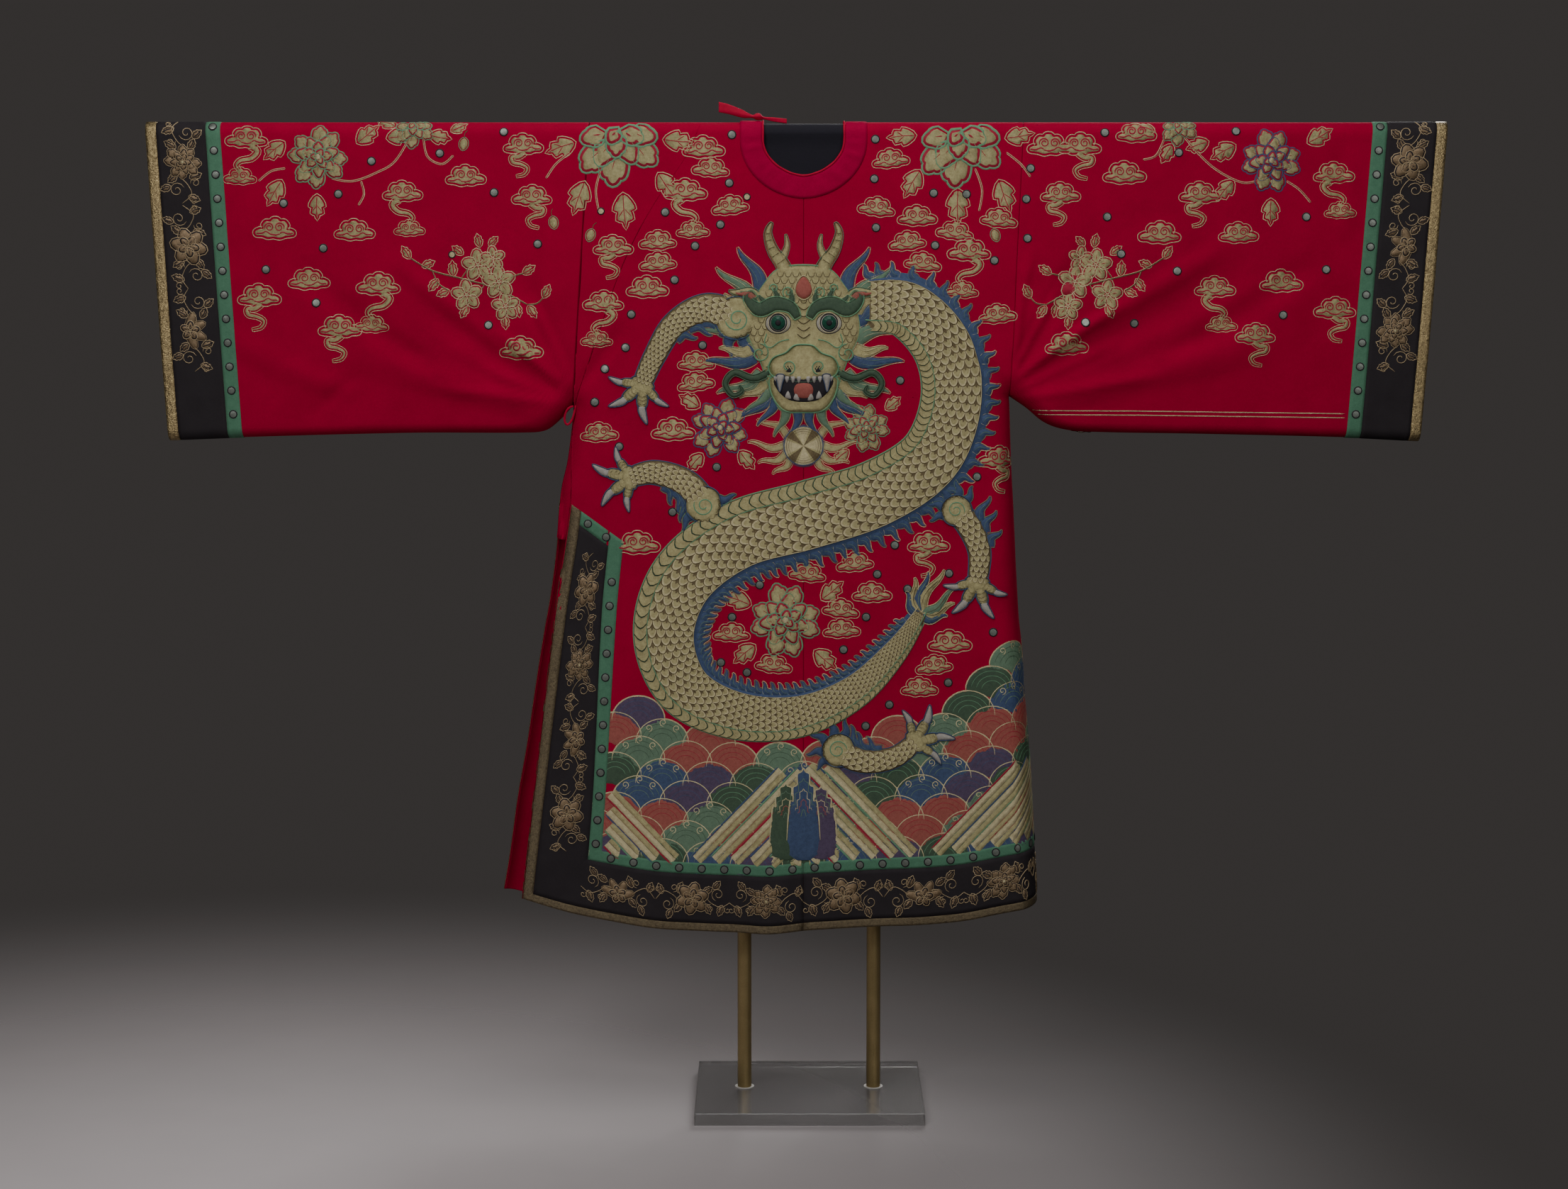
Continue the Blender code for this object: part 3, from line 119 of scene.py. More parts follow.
ARMHOLE = {RIGHT: Table(((1.685, -0.350), (1.2058, -0.3794))),
           LEFT: Table(((1.685, 0.383), (1.2216, 0.3612)))}
UNDERARM = {RIGHT: (-0.3794, 1.2058), LEFT: (0.3612, 1.2216)}
CUFF = {RIGHT: Table(((1.685, -1.097), (1.145, -1.0653))),
        LEFT: Table(((1.685, 1.097), (1.145, 1.0581)))}
SLEEVE_FOOT = {
    RIGHT: Table(((-1.0653, 1.1466), (-0.9396, 1.1514), (-0.654, 1.1587), (-0.46, 1.1592),
                  (-0.4253, 1.1635), (-0.3999, 1.1829), (-0.3794, 1.2058))),
    LEFT: Table(((0.3612, 1.2216), (0.3914, 1.201), (0.418, 1.179), (0.4459, 1.167),
                 (0.4882, 1.161), (0.688, 1.157), (0.937, 1.151), (1.0581, 1.145))),
}
SILHOUETTE = {
    RIGHT: Table(((1.2058, -0.3794), (1.19, -0.380), (1.1115, -0.390), (1.0631, -0.401),
                  (0.9626, -0.4112), (0.8695, -0.424), (0.8135, -0.4345), (0.715, -0.4507),
                  (0.6175, -0.4656), (0.5207, -0.483), (0.4239, -0.497), (0.36, -0.508))),
    LEFT: Table(((1.2216, 0.3612), (1.2083, 0.3624), (1.1115, 0.366), (1.0231, 0.3709),
                 (0.9542, 0.3743), (0.8453, 0.3805), (0.7969, 0.3858), (0.7001, 0.3926),
                 (0.6275, 0.3987), (0.5549, 0.4035), (0.3492, 0.4144))),
}
FLAP_EDGE = Table(((1.685, -0.160), (1.6244, -0.1886), (1.5499, -0.2391), (1.4862, -0.2751),
                   (1.4225, -0.3028), (1.3414, -0.3309), (1.2446, -0.3648), (1.2131, -0.3733),
                   (1.1922, -0.377), (1.1302, -0.3803), (1.0433, -0.3823), (0.8536, -0.410),
                   (0.3697, -0.4673), (0.30, -0.475)))
BODY_DEPTH = Table(((1.665, 0.0200, 0.0200), (1.60, 0.0235, 0.0222), (1.50, 0.0272, 0.0256),
                    (0.90, 0.0494, 0.0460), (0.45, 0.0660, 0.0570), (0.29, 0.0705, 0.0600)))
SLEEVE_DEPTH = Table(((1.665, 0.0200, 0.0200), (1.50, 0.0215, 0.0215), (1.30, 0.0230, 0.0225),
                      (1.14, 0.0210, 0.0205)))
HEM_FRONT = Table(((-0.475, 0.372), (-0.374, 0.343), (-0.2194, 0.3177), (-0.0676, 0.3112),
                   (0.0134, 0.3145), (0.1389, 0.3219), (0.2705, 0.3292), (0.3465, 0.3430),
                   (0.4144, 0.3550)))
HEM_BACK = Table(((-0.515, 0.360), (-0.40, 0.334), (-0.25, 0.319), (0.0, 0.314), (0.25, 0.333),
                  (0.36, 0.352), (0.42, 0.356)))
WRAP_RISE = 0.05
SLIT_BORDER = Table(((1.043, 0.020, 0.050, 0.025), (0.854, 0.020, 0.060, 0.025),
                     (0.57, 0.019, 0.081, 0.0216), (0.37, 0.0185, 0.0886, 0.024)))
HEM_BORDER = (0.0135, 0.0975, 0.1170)
CUFF_BORDER = (0.018, 0.101, 0.126)
OVER_LEFT = Table(((1.2216, 0.0), (1.175, 0.0), (1.135, 0.034), (1.09, 0.080), (1.043, 0.125),
                   (0.85, 0.165), (0.34, 0.200)))
# Folds, in millimetres: across and height of a curve's root, knee and tip, half width and
# height; first the large ones, then those that only the finished cloth shows
CREASES = {
    (RIGHT, FRONT): (
        (-392, 1225, -470, 1262, -640, 1395, 26, -6),
        (-385, 1262, -425, 1330, -470, 1455, 20, -4.5),
        (-430, 1205, -560, 1235, -760, 1300, 28, 5), (-395, 1222, -440, 1236, -540, 1275, 9, 4.94),
        (-390, 1236, -432, 1275, -520, 1345, 8, 5.32),
        (-384, 1250, -410, 1310, -452, 1395, 8, 4.94),
        (-402, 1212, -480, 1222, -640, 1240, 9, 4.18),
        (-470, 1285, -560, 1350, -700, 1470, 17, 4.56),
        (-620, 1275, -740, 1345, -860, 1455, 22, -4.56),
        (-760, 1235, -880, 1262, -960, 1335, 24, 3.8),
        (-820, 1190, -780, 1230, -745, 1262, 10, -3.42),
        (-372, 1230, -330, 1285, -285, 1350, 16, -4.18),
        (-940, 1640, -925, 1560, -955, 1470, 14, 2.66)),
    (LEFT, FRONT): (
        (375, 1240, 500, 1300, 800, 1460, 26, -6), (378, 1280, 430, 1370, 520, 1510, 22, -5),
        (430, 1215, 600, 1262, 860, 1330, 28, 5), (376, 1236, 440, 1268, 560, 1320, 9, 4.94),
        (372, 1252, 430, 1305, 560, 1385, 9, 5.32), (370, 1270, 400, 1330, 452, 1420, 8, 4.94),
        (392, 1222, 480, 1236, 640, 1262, 9, 4.18), (470, 1330, 600, 1400, 760, 1500, 17, 4.18),
        (640, 1300, 760, 1355, 900, 1470, 22, -4.18), (372, 1290, 372, 1380, 400, 1480, 10, 3.8),
        (350, 1238, 300, 1290, 240, 1330, 16, -3.8), (930, 1640, 945, 1560, 915, 1480, 14, 2.66)),
    (RIGHT, BACK): (
        (-395, 1230, -500, 1290, -720, 1400, 27, -5.5),
        (-385, 1270, -440, 1360, -520, 1480, 22, -4),
        (-393, 1226, -450, 1252, -560, 1300, 9, 4.56),
        (-385, 1248, -430, 1300, -500, 1380, 9, 4.56),
        (-480, 1262, -620, 1300, -800, 1395, 20, 4.18)),
    (LEFT, BACK): (
        (380, 1245, 480, 1280, 700, 1400, 27, -5.5), (380, 1285, 440, 1380, 500, 1500, 22, -4),
        (378, 1236, 440, 1256, 560, 1310, 9, 4.56), (372, 1262, 420, 1320, 480, 1400, 9, 4.56),
        (470, 1270, 620, 1320, 800, 1400, 20, 4.18))}
# Soft waves of the hem, in millimetres: place, half width, depth and upper end
WAVES = {
    FRONT: ((-45, 70, 12, 700), (-250, 85, 6, 620), (190, 90, 5, 640)),
    BACK: ((-300, 90, 10, 780), (-60, 80, 12, 850), (170, 80, 11, 800))}

# Neck opening
NECK_HALF, NECK_DROP, NECK_STRAIGHT, NECK_BACK_DROP = 0.0695, 0.061, 0.041, 0.030
NECK_EASE = 0.0025
FACING = 0.0375


def ease(at: Array | float, start: float, end: float) -> Array:
    """0 before start, 1 past end and smooth between them."""
    t = np.clip((np.asarray(at, float) - start) / (end - start), 0.0, 1.0)
    return t * t * (3 - 2 * t)


def mix(a: Array | float, b: Array | float, t: Array | float) -> Array:
    """The value a share t of the way from a to b."""
    return a + (b - a) * t


def height_of(s: Array | float) -> Array:
    """Height of a place a length s down the cloth from the shoulder line."""
    return BAR_Z + ARC - np.abs(s)


def down_to(z: Array | float, face: int = FRONT) -> Array:
    """Coordinate s of a height on the front or the back."""
    return -face * (BAR_Z + ARC - np.asarray(z, float))


class Drape:
    """How the hanging cloth lies: its smooth outer face, without its own thickness."""

    def side_radius(self, side: int, x: Array, z: Array) -> Array:
        """Radius of the rounded edge where front and back meet, widest at the underarm.

        Args:
            side: the wearer's right or left.
            x: places across.
            z: heights.

        Returns:
            The radii.
        """
        under_x, under_z = UNDERARM[side]
        body = mix(0.048, 0.035, ease(under_z - z, 0.0, 0.12))
        sleeve = mix(0.048, 0.018, ease(np.hypot(x - under_x, z - under_z), 0.0, 0.12))
        return np.where((z < under_z) & (side * (x - under_x) < 0.02), body, sleeve)

    def outline_distance(self, side: int, x: Array, z: Array) -> Array:
        """Distance in from the robe's outline below the shoulder line.

        Args:
            side: the wearer's right or left.
            x: places across.
            z: heights.

        Returns:
            The distances.
        """
        under_x, under_z = UNDERARM[side]
        inside = side * (SILHOUETTE[side].at(z) - x)
        foot = z - SLEEVE_FOOT[side].at(x)
        corner = np.hypot(x - under_x, z - under_z)
        return np.where((z < under_z) & (inside >= 0), inside,
                        np.where(side * (x - under_x) > 0, foot, corner))

    def crease_height(self, crease: Sequence[float], x: Array, z: Array) -> Array:
        """Height of one fold, soft across it and fading at both ends.

        Args:
            crease: a row of CREASES.
            x: places across.
            z: heights.

        Returns:
            How far the fold lifts the cloth at each place.
        """
        *line, half, high = (value / 1000 for value in crease)
        way = np.linspace(0.0, 1.0, 9)
        shares = np.array([(1 - way) ** 2, 2 * way * (1 - way), way * way])
        px, pz = np.reshape(line, (3, 2)).T @ shares
        best = np.zeros(np.broadcast(x, z).shape)
        for k in range(len(way) - 1):
            dx, dz = px[k + 1] - px[k], pz[k + 1] - pz[k]
            t = np.clip(((x - px[k]) * dx + (z - pz[k]) * dz) / (dx * dx + dz * dz), 0.0, 1.0)
            far = np.hypot(x - px[k] - t * dx, z - pz[k] - t * dz)
            t = (k + t) / (len(way) - 1)
            near = far / (half * (1 + 0.6 * t))
            fade = np.minimum(np.minimum(1.0, 4 * (1 - t)), 0.5 + 3 * t)
            best = np.maximum(best, fade * np.maximum(0.0, 1 - near * near) ** 2)
        return high * best

    def folds(self, side: int, x: Array, z: Array, face: int) -> Array:
        """Height of the folds and hem waves out from the flat hang of the cloth.

        Args:
            side: the wearer's right or left.
            x: places across.
            z: heights.
            face: front or back.

        Returns:
            The heights.
        """
        height = sum(self.crease_height(crease, x, z) for crease in CREASES[side, face])
        for place, half, deep, top in np.array(WAVES[face]) / 1000:
            across = np.minimum(np.abs(x - place) / half, 1.0)
            fall = ease(top - z, 0.0, top - 0.32)
            height += deep * fall * np.cos(across * math.pi / 2) ** 2
        slack = 0.0012 * np.sin(x * 21.0 + 2.4 * np.sin(z * 6.5)) * np.sin(z * 9.0 + face)
        slack += 0.0006 * np.sin(x * 47.0 - z * 30.0) * np.sin(z * 23.0 + x * 12.0)
        return height + slack * ease(BAR_Z - z, 0.02, 0.15)

    def full_depth(self, side: int, x: Array, z: Array, face: int) -> Array:
        """Depth of the cloth where it is clear of its outline.

        Args:
            side: the wearer's right or left.
            x: places across.
            z: heights.
            face: front or back.

        Returns:
            The depths.
        """
        column = 1 if face == FRONT else 2
        body = BODY_DEPTH.at(z, column)
        reach = side * (x - ARMHOLE[side].at(z))
        sleeve = mix(body, SLEEVE_DEPTH.at(z, column), ease(reach, 0.0, 0.25))
        return np.where((z < 1.1) | (reach <= 0), body, sleeve)

    def flat_hang(self, side: int, x: Array, s: Array, face: int) -> Array:
        """Points of the plain front or back face.

        Args:
            side: the wearer's right or left.
            x: places across.
            s: lengths down from the shoulder line, not negative.
            face: front or back.

        Returns:
            Points, one row each.
        """
        angle = np.minimum(s, ARC) / SHOULDER_R
        z = BAR_Z - np.maximum(s - ARC, 0.0)
        near = self.outline_distance(side, x, z)
        deep = self.full_depth(side, x, z, face) + self.folds(side, x, z, face)
        t = 1.0 - np.clip(near / self.side_radius(side, x, z), 0.0, 1.0)
        y = face * deep * np.sqrt(1.0 - t * t)
        over = s < ARC
        y = np.where(over, face * SHOULDER_R * np.sin(angle), y)
        z = np.where(over, BAR_Z + SHOULDER_R * np.cos(angle), z)
        return np.stack(np.broadcast_arrays(x, y, z), axis=-1)

    def quarter(self, radius: Array, deep: Array) -> Array:
        """Length of a quarter of the side's rounded edge."""
        return math.pi / 2 * np.sqrt((radius * radius + deep * deep) / 2)

    def side_length(self, side: int, z: Array, face: int, turn: Array | float = 90.0) -> Array:
        """Length across the cloth from the centre seam to the side's widest line.

        Args:
            side: the wearer's right or left.
            z: heights.
            face: front or back.
            turn: how far the side's edge curls, in degrees.

        Returns:
            The lengths.
        """
        radius = self.side_radius(side, np.zeros_like(z), z)
        x1 = SILHOUETTE[side].at(z) - side * radius * np.sin(np.radians(turn))
        deep = self.full_depth(side, np.zeros_like(z), z, face)
        return np.abs(x1 - CENTRE) + self.quarter(radius, deep) * turn / 90.0

    def turned(self, side: int, p: Array, z: Array, face: int,
               turn: Array | float = 90.0) -> Array:
        """Points a length p out from the centre seam, round the side where p is long.

        Args:
            side: the wearer's right or left.
            p: lengths across from the centre seam.
            z: heights.
            face: the face that the length starts on.
            turn: how far the side's edge curls, in degrees.

        Returns:
            Points, one row each.
        """
        radius = self.side_radius(side, np.zeros_like(z), z)
        near = self.full_depth(side, np.zeros_like(z), z, face)
        far = self.full_depth(side, np.zeros_like(z), z, -face)
        x1 = SILHOUETTE[side].at(z) - side * radius * np.sin(np.radians(turn))
        flat = np.abs(x1 - CENTRE)
        q_near, q_far = self.quarter(radius, near), self.quarter(radius, far)
        x_flat = CENTRE + side * np.minimum(p, flat)
        a = np.clip((p - flat) / q_near, 0.0, 1.0) * math.pi / 2
        b = np.clip((p - flat - q_near) / q_far, 0.0, 1.0) * math.pi / 2
        x_back = x1 - side * np.maximum(p - flat - q_near - q_far, 0.0)
        lift_near = self.folds(side, x_flat, z, face)
        lift_far = self.folds(side, x_back, z, -face)
        x = np.where(p <= flat, x_flat,
                     np.where(p <= flat + q_near, x1 + side * radius * np.sin(a),
                              np.where(p <= flat + q_near + q_far,
                                       x1 + side * radius * np.cos(b), x_back)))
        y = np.where(p <= flat + q_near, face * (near + lift_near) * np.cos(a),
                     -face * (far + lift_far * np.sin(b)) * np.sin(b))
        return np.stack(np.broadcast_arrays(x, y, z), axis=-1)

    def back_turn(self, z: Array) -> Array:
        """How far the right back's edge curls, in degrees: less below the slit."""
        return mix(90.0, 40.0, ease(SLIT_TOP + 0.01 - z, 0.0, 0.12))

    def edge_length(self, side: int, z: Array, face: int) -> Array:
        """Length across from the centre seam to the free edge or side seam, below the arm.

        Args:
            side: the wearer's right or left.
            z: heights.
            face: front or back.

        Returns:
            The lengths.
        """
        if side == RIGHT and face == BACK:
            return self.side_length(RIGHT, z, BACK, self.back_turn(z))
        if side == RIGHT:
            return CENTRE - FLAP_EDGE.at(z)
        if face == FRONT:
            return self.side_length(LEFT, z, FRONT) + OVER_LEFT.at(z) - SEAM
        return (self.side_length(LEFT, z, BACK) - OVER_LEFT.at(z)
                + 0.085 * ease(SLIT_TOP - z, 0.03, 0.45))

    def tuck(self, p: Array, z: Array) -> Array:
        """How far the left back lies in behind the wrapped front, below the slit.

        Args:
            p: lengths across from the centre seam.
            z: heights.

        Returns:
            The depths.
        """
        offset = self.edge_length(LEFT, z, BACK) - p
        top = mix(SLIT_TOP, SLIT_CUT, np.clip(offset / SLIT_SLANT, 0.0, 1.0))
        gold, black, green = (SLIT_BORDER.at(z, k) for k in (1, 2, 3))
        across = np.clip((gold + black + green - offset) / green, 0.0, 1.0)
        return TUCK * ease(top - z, 0.0, 0.02) * across

    def outer(self, side: int, u: Array, s: Array, face: int, body: bool = False) -> Array:
        """Points of one side's front or back at cloth coordinates.

        Args:
            side: the wearer's right or left.
            u: places across.
            s: lengths down from the shoulder line, negative on the back.
            face: front or back.
            body: whether a sleeve is ruled out.

        Returns:
            Points, one row each.
        """
        z = height_of(s)
        plain = self.flat_hang(side, u, np.abs(s), face)
        below = z < UNDERARM[side][1]
        if not body:
            below &= (side * (u - UNDERARM[side][0]) < 0.001) | (z < 1.14)
        if (side == RIGHT and face == FRONT) or not below.any():
            return plain
        p = side * (u - CENTRE)
        low = np.minimum(z, UNDERARM[side][1])
        turn = self.back_turn(low) if side == RIGHT else 90.0
        wrapped = self.turned(side, p, low, face, turn)
        if side == LEFT and face == BACK:
            wrapped[..., 1] -= self.tuck(p, low)
        return np.where(below[..., None], wrapped, plain)

    def covered_level(self, points: Array) -> Array:
        """How far the right front lies in, so that the flap meets the left front flush.

        Args:
            points: points of the cloth.

        Returns:
            The levels, negative inward.
        """
        x, z = points[..., 0], points[..., 2]
        side_x = ARMHOLE[RIGHT].at(z)
        across = np.clip((x - side_x) / (CENTRE - side_x), 0.0, 1.0)
        return -STEP * across * ease(-z, -1.655, -1.61)

    def skin(self, u: Array, s: Array, flap: bool = True,
             body: bool = False) -> tuple[Array, Array]:
        """The robe's outermost face and its normals at cloth coordinates.

        Args:
            u: places across.
            s: lengths down from the shoulder line, negative on the back.
            flap: whether the right front is taken over the flap or under it.
            body: whether every place belongs to the body and none to a sleeve.

        Returns:
            Points and outward unit normals.
        """
        u, s = (np.asarray(a, float).copy() for a in np.broadcast_arrays(u, s))
        points, normals = np.zeros((*u.shape, 3)), np.zeros((*u.shape, 3))
        h = 0.0006
        for side in (RIGHT, LEFT):
            for face in (FRONT, BACK):
                here = (np.sign(u - CENTRE + 1e-9) == side) & (np.sign(s + 1e-9) == -face)
                if not here.any():
                    continue
                a, b = u[here], s[here]
                down = np.abs(b)
                point, right, left, low, high = (
                    self.outer(side, a + du, np.maximum(down + ds, 0.0), face, body)
                    for du, ds in ((0, 0), (h, 0), (-h, 0), (0, h), (0, -h)))
                across, along = right - left, low - high
                normal = np.cross(across, along) * face
                normal /= np.maximum(np.linalg.norm(normal, axis=-1, keepdims=True), 1e-12)
                if side == RIGHT and face == FRONT:
                    level = self.covered_level(point)
                    if flap:
                        level = level + STEP * (a > FLAP_EDGE.at(height_of(b)))
                    point = point + normal * level[..., None]
                points[here], normals[here] = point, normal
        return points, normals


# ---------------------------------------------------------------- finishes

RAMP_HALF, GLOSS_HALF = 0.22, 0.09


def add_node(tree: bpy.types.NodeTree, kind: str, sockets: dict) -> bpy.types.Node:
    """Add a shader node and fill its sockets.

    Args:
        tree: the tree that takes it.
        kind: its type, without the leading word.
        sockets: by name or number, each socket's value or the output linked to it.

    Returns:
        The new node.
    """
    return fill_sockets(tree, tree.nodes.new("ShaderNode" + kind), sockets)


def fill_sockets(tree: bpy.types.NodeTree, node: bpy.types.Node,
                 sockets: dict) -> bpy.types.Node:
    """Set or link a node's sockets.

    Args:
        tree: the tree that holds it.
        node: the node.
        sockets: its sockets, as add_node takes them.

    Returns:
        The node itself.
    """
    for key, value in sockets.items():
        if isinstance(value, bpy.types.NodeSocket):
            tree.links.new(value, node.inputs[key])
        else:
            node.inputs[key].default_value = value
    return node


@dataclass(frozen=True)
class Finish:
    """A woven, twisted or moulded surface with mottling, fine threads and soft bumps.

    Colours are linear RGB; grain is the size of the mottling and thread the pitch of
    the weave, both in metres.  What is left out is as on plain silk thread.
    """

    name: str
    colour: tuple[float, float, float]
    second: tuple[float, float, float]
    roughness: float = 0.58
    metallic: float = 0.0
    sheen: float = 0.0
    grain: float = 0.006
    thread: float = 0.0008
    bump: float = 0.6
    crumple: float = 0.0
    twill: bool = False
    clear: float = 0.0
    specular: float = 0.25

    def material(self) -> bpy.types.Material:
        """Build the material, once for each name.

        Returns:
            The finished material.
        """
        made = bpy.data.materials.get(self.name)
        if made:
            return made
        made = bpy.data.materials.new(self.name)
        made.use_nodes = True
        tree = made.node_tree
        place = tree.nodes.new("ShaderNodeTexCoord").outputs["Object"]
        mottle, fleck, lump = (
            add_node(tree, "TexNoise", {"Vector": place, "Scale": scale, "Detail": detail})
            for scale, detail in ((1 / self.grain, 5), (0.35 / self.thread, 2),
                                  (2.2 / self.grain, 3)))
        weave = add_node(tree, "TexWave", {"Vector": place, "Scale": 0.314 / self.thread,
                                           "Distortion": 1.5, "Detail": 1.0})
        weave.bands_direction = "DIAGONAL" if self.twill else "Z"
        part = add_node(tree, "Math", {0: mottle.outputs["Fac"], 1: 0.55})
        part.operation = "MULTIPLY"
        share = add_node(tree, "Math", {0: fleck.outputs["Fac"], 1: 0.45, 2: part.outputs[0]})
        share.operation = "MULTIPLY_ADD"
        ramp = add_node(tree, "ValToRGB", {"Fac": share.outputs[0]})
        for stop, colour, away in zip(ramp.color_ramp.elements, (self.second, self.colour),
                                      (-RAMP_HALF, RAMP_HALF)):
            stop.position = 0.5 + away
            stop.color = (*colour, 1)
        rough = add_node(tree, "Bump", {"Strength": 0.6, "Height": lump.outputs["Fac"],
                                        "Distance": max(self.crumple, 0.00005)})
        fine = add_node(tree, "Bump", {"Strength": self.bump, "Distance": self.thread * 0.5,
                                       "Height": weave.outputs["Fac"],
                                       "Normal": rough.outputs["Normal"]})
        gloss = add_node(tree, "MapRange", {
            "Value": mottle.outputs["Fac"], "To Min": max(0.02, self.roughness - GLOSS_HALF),
            "To Max": min(1.0, self.roughness + GLOSS_HALF)})
        fill_sockets(tree, tree.nodes["Principled BSDF"], {
            "Base Color": ramp.outputs["Color"], "Normal": fine.outputs["Normal"],
            "Roughness": gloss.outputs["Result"], "Metallic": self.metallic,
            "Sheen Weight": self.sheen, "Sheen Roughness": 0.45,
            "Transmission Weight": self.clear, "IOR": 1.47,
            "Specular IOR Level": self.specular})
        return made


RED = Finish("red_cotton_cloth", (0.355, 0.0010, 0.0320), (0.290, 0.0008, 0.0250), 0.85,
             grain=0.05, thread=0.0009, bump=0.40, crumple=0.0011, twill=True, specular=0.05)
FACING_RED = Finish("red_facing_cloth", (0.360, 0.0015, 0.0420), (0.280, 0.0010, 0.0320), 0.82,
                    grain=0.03, bump=0.3, crumple=0.0012, twill=True, specular=0.05)
PIPING_RED = Finish("red_piping_cord", (0.430, 0.006, 0.036), (0.340, 0.004, 0.028), 0.7,
                    thread=0.0007, bump=0.3, specular=0.1)
BLACK = Finish("black_satin_cloth", (0.0310, 0.0265, 0.0290), (0.0230, 0.0195, 0.0215), 0.70,
               grain=0.03, thread=0.0007, bump=0.3, crumple=0.0004, specular=0.05)
GREEN = Finish("green_cotton_cloth", (0.088, 0.208, 0.128), (0.064, 0.158, 0.097), 0.80,
               grain=0.010, thread=0.0009, bump=0.3, crumple=0.0006, specular=0.1)
# Two copies of the one gold braid: a lighter one for the cuffs with a painted highlight, and a
# darker one for the hem and slit borders with painted shade.
LIT_LAME = Finish("crinkled_gold_braid", (0.560, 0.430, 0.215), (0.115, 0.080, 0.040), 0.32, 0.80,
              grain=0.0055, thread=0.0009, bump=0.4, crumple=0.0030)
SHADED_LAME = Finish("shaded_gold_braid", (0.190, 0.148, 0.085), (0.066, 0.048, 0.030), 0.50, 0.6,
                  grain=0.005, thread=0.0009, bump=0.5, crumple=0.0014)
GOLD = Finish("couched_gold_thread", (0.490, 0.440, 0.225), (0.255, 0.215, 0.102), 0.46, 0.55,
              grain=0.009, thread=0.0010, bump=0.75, crumple=0.0004)
PALE_GOLD = Finish("bright_gold_cord", (0.600, 0.530, 0.320), (0.360, 0.300, 0.165), 0.42, 0.55,
                   bump=0.7)
DIM_GOLD = Finish("brown_gold_thread", (0.215, 0.165, 0.085), (0.100, 0.070, 0.036), 0.55, 0.45,
                  grain=0.008, thread=0.0009, bump=0.7)
SCROLL_GOLD = Finish("scroll_gold_cord", (0.440, 0.335, 0.200), (0.270, 0.195, 0.110), 0.46,
                     0.5, grain=0.012, thread=0.0010, bump=0.4, twill=True)
SCROLL_FILL = Finish("scroll_gold_thread", (0.285, 0.200, 0.120), (0.140, 0.095, 0.052), 0.5,
                     0.5, grain=0.012, thread=0.0010, bump=0.4, twill=True)
THREAD_RED = Finish("red_silk_thread", (0.35, 0.008, 0.036), (0.26, 0.005, 0.027), 0.6,
                    thread=0.0007, bump=0.3)
CORAL = Finish("coral_silk_thread", (0.37, 0.105, 0.080), (0.25, 0.055, 0.045))
MINT = Finish("mint_silk_thread", (0.150, 0.235, 0.150), (0.088, 0.150, 0.096))
JADE = Finish("jade_silk_cord", (0.155, 0.330, 0.185), (0.095, 0.220, 0.120), bump=0.5)
DEEP_GOLD = Finish("deep_gold_thread", (0.120, 0.090, 0.045), (0.070, 0.050, 0.026), 0.6, 0.3,
                   bump=0.5)
LEAF = Finish("green_silk_thread", (0.062, 0.105, 0.060), (0.034, 0.062, 0.038))
BLUE = Finish("blue_silk_thread", (0.062, 0.098, 0.190), (0.030, 0.050, 0.108), 0.56)
PURPLE = Finish("purple_silk_thread", (0.105, 0.070, 0.130), (0.055, 0.036, 0.072))
WHITE = Finish("white_silk_thread", (0.42, 0.39, 0.35), (0.28, 0.255, 0.225), 0.6)
INK = Finish("dark_silk_thread", (0.020, 0.016, 0.020), (0.011, 0.009, 0.012), 0.6,
             thread=0.0007, bump=0.3)
MIRROR = Finish("mirror_foil", (0.215, 0.235, 0.205), (0.150, 0.165, 0.145), 0.42, 0.70,
                grain=0.004, thread=0.0012, bump=0.15)
GREEN_GLASS = Finish("green_eye_glass", (0.020, 0.085, 0.052), (0.010, 0.045, 0.030), 0.08,
                     grain=0.004, thread=0.002, bump=0.02)
BRASS = Finish("brushed_brass", (0.420, 0.320, 0.150), (0.300, 0.225, 0.100), 0.36, 0.85,
               grain=0.03, thread=0.0006, bump=0.2)
NAVY = Finish("navy_padding_cloth", (0.0125, 0.0110, 0.0175), (0.0080, 0.0072, 0.0120), 0.85,
              sheen=0.1, grain=0.02, thread=0.0009, bump=0.3, crumple=0.0006)
ACRYLIC = Finish("cast_acrylic", (0.96, 0.96, 0.95), (0.93, 0.93, 0.92), 0.10,
                 grain=0.2, thread=0.01, bump=0.01, clear=0.97)
NYLON = Finish("turned_nylon", (0.45, 0.43, 0.40), (0.37, 0.35, 0.33), 0.5,
               grain=0.02, thread=0.002, bump=0.1)


def quads(rows: int, width: int, looped: bool = False, joined: bool = False) -> list[tuple]:
    """Faces between neighbouring rows of points.

    Args:
        rows: rows of faces.
        width: points in each row.
        looped: whether each row's end joins its own start.
        joined: whether the last row of points joins the first.

    Returns:
        Corner numbers of each face.
    """
    total = rows if joined else rows + 1
    return [(r * width + k, r * width + (k + 1) % width,
             (r + 1) % total * width + (k + 1) % width, (r + 1) % total * width + k)
            for r in range(rows) for k in range(width if looped else width - 1)]


def capped(rows: int, width: int) -> list[tuple]:
    """Faces of a tube of so many rows of quads, with both its ends closed."""
    return [*quads(rows, width, True), tuple(range(width))[::-1],
            tuple(range(rows * width, (rows + 1) * width))]


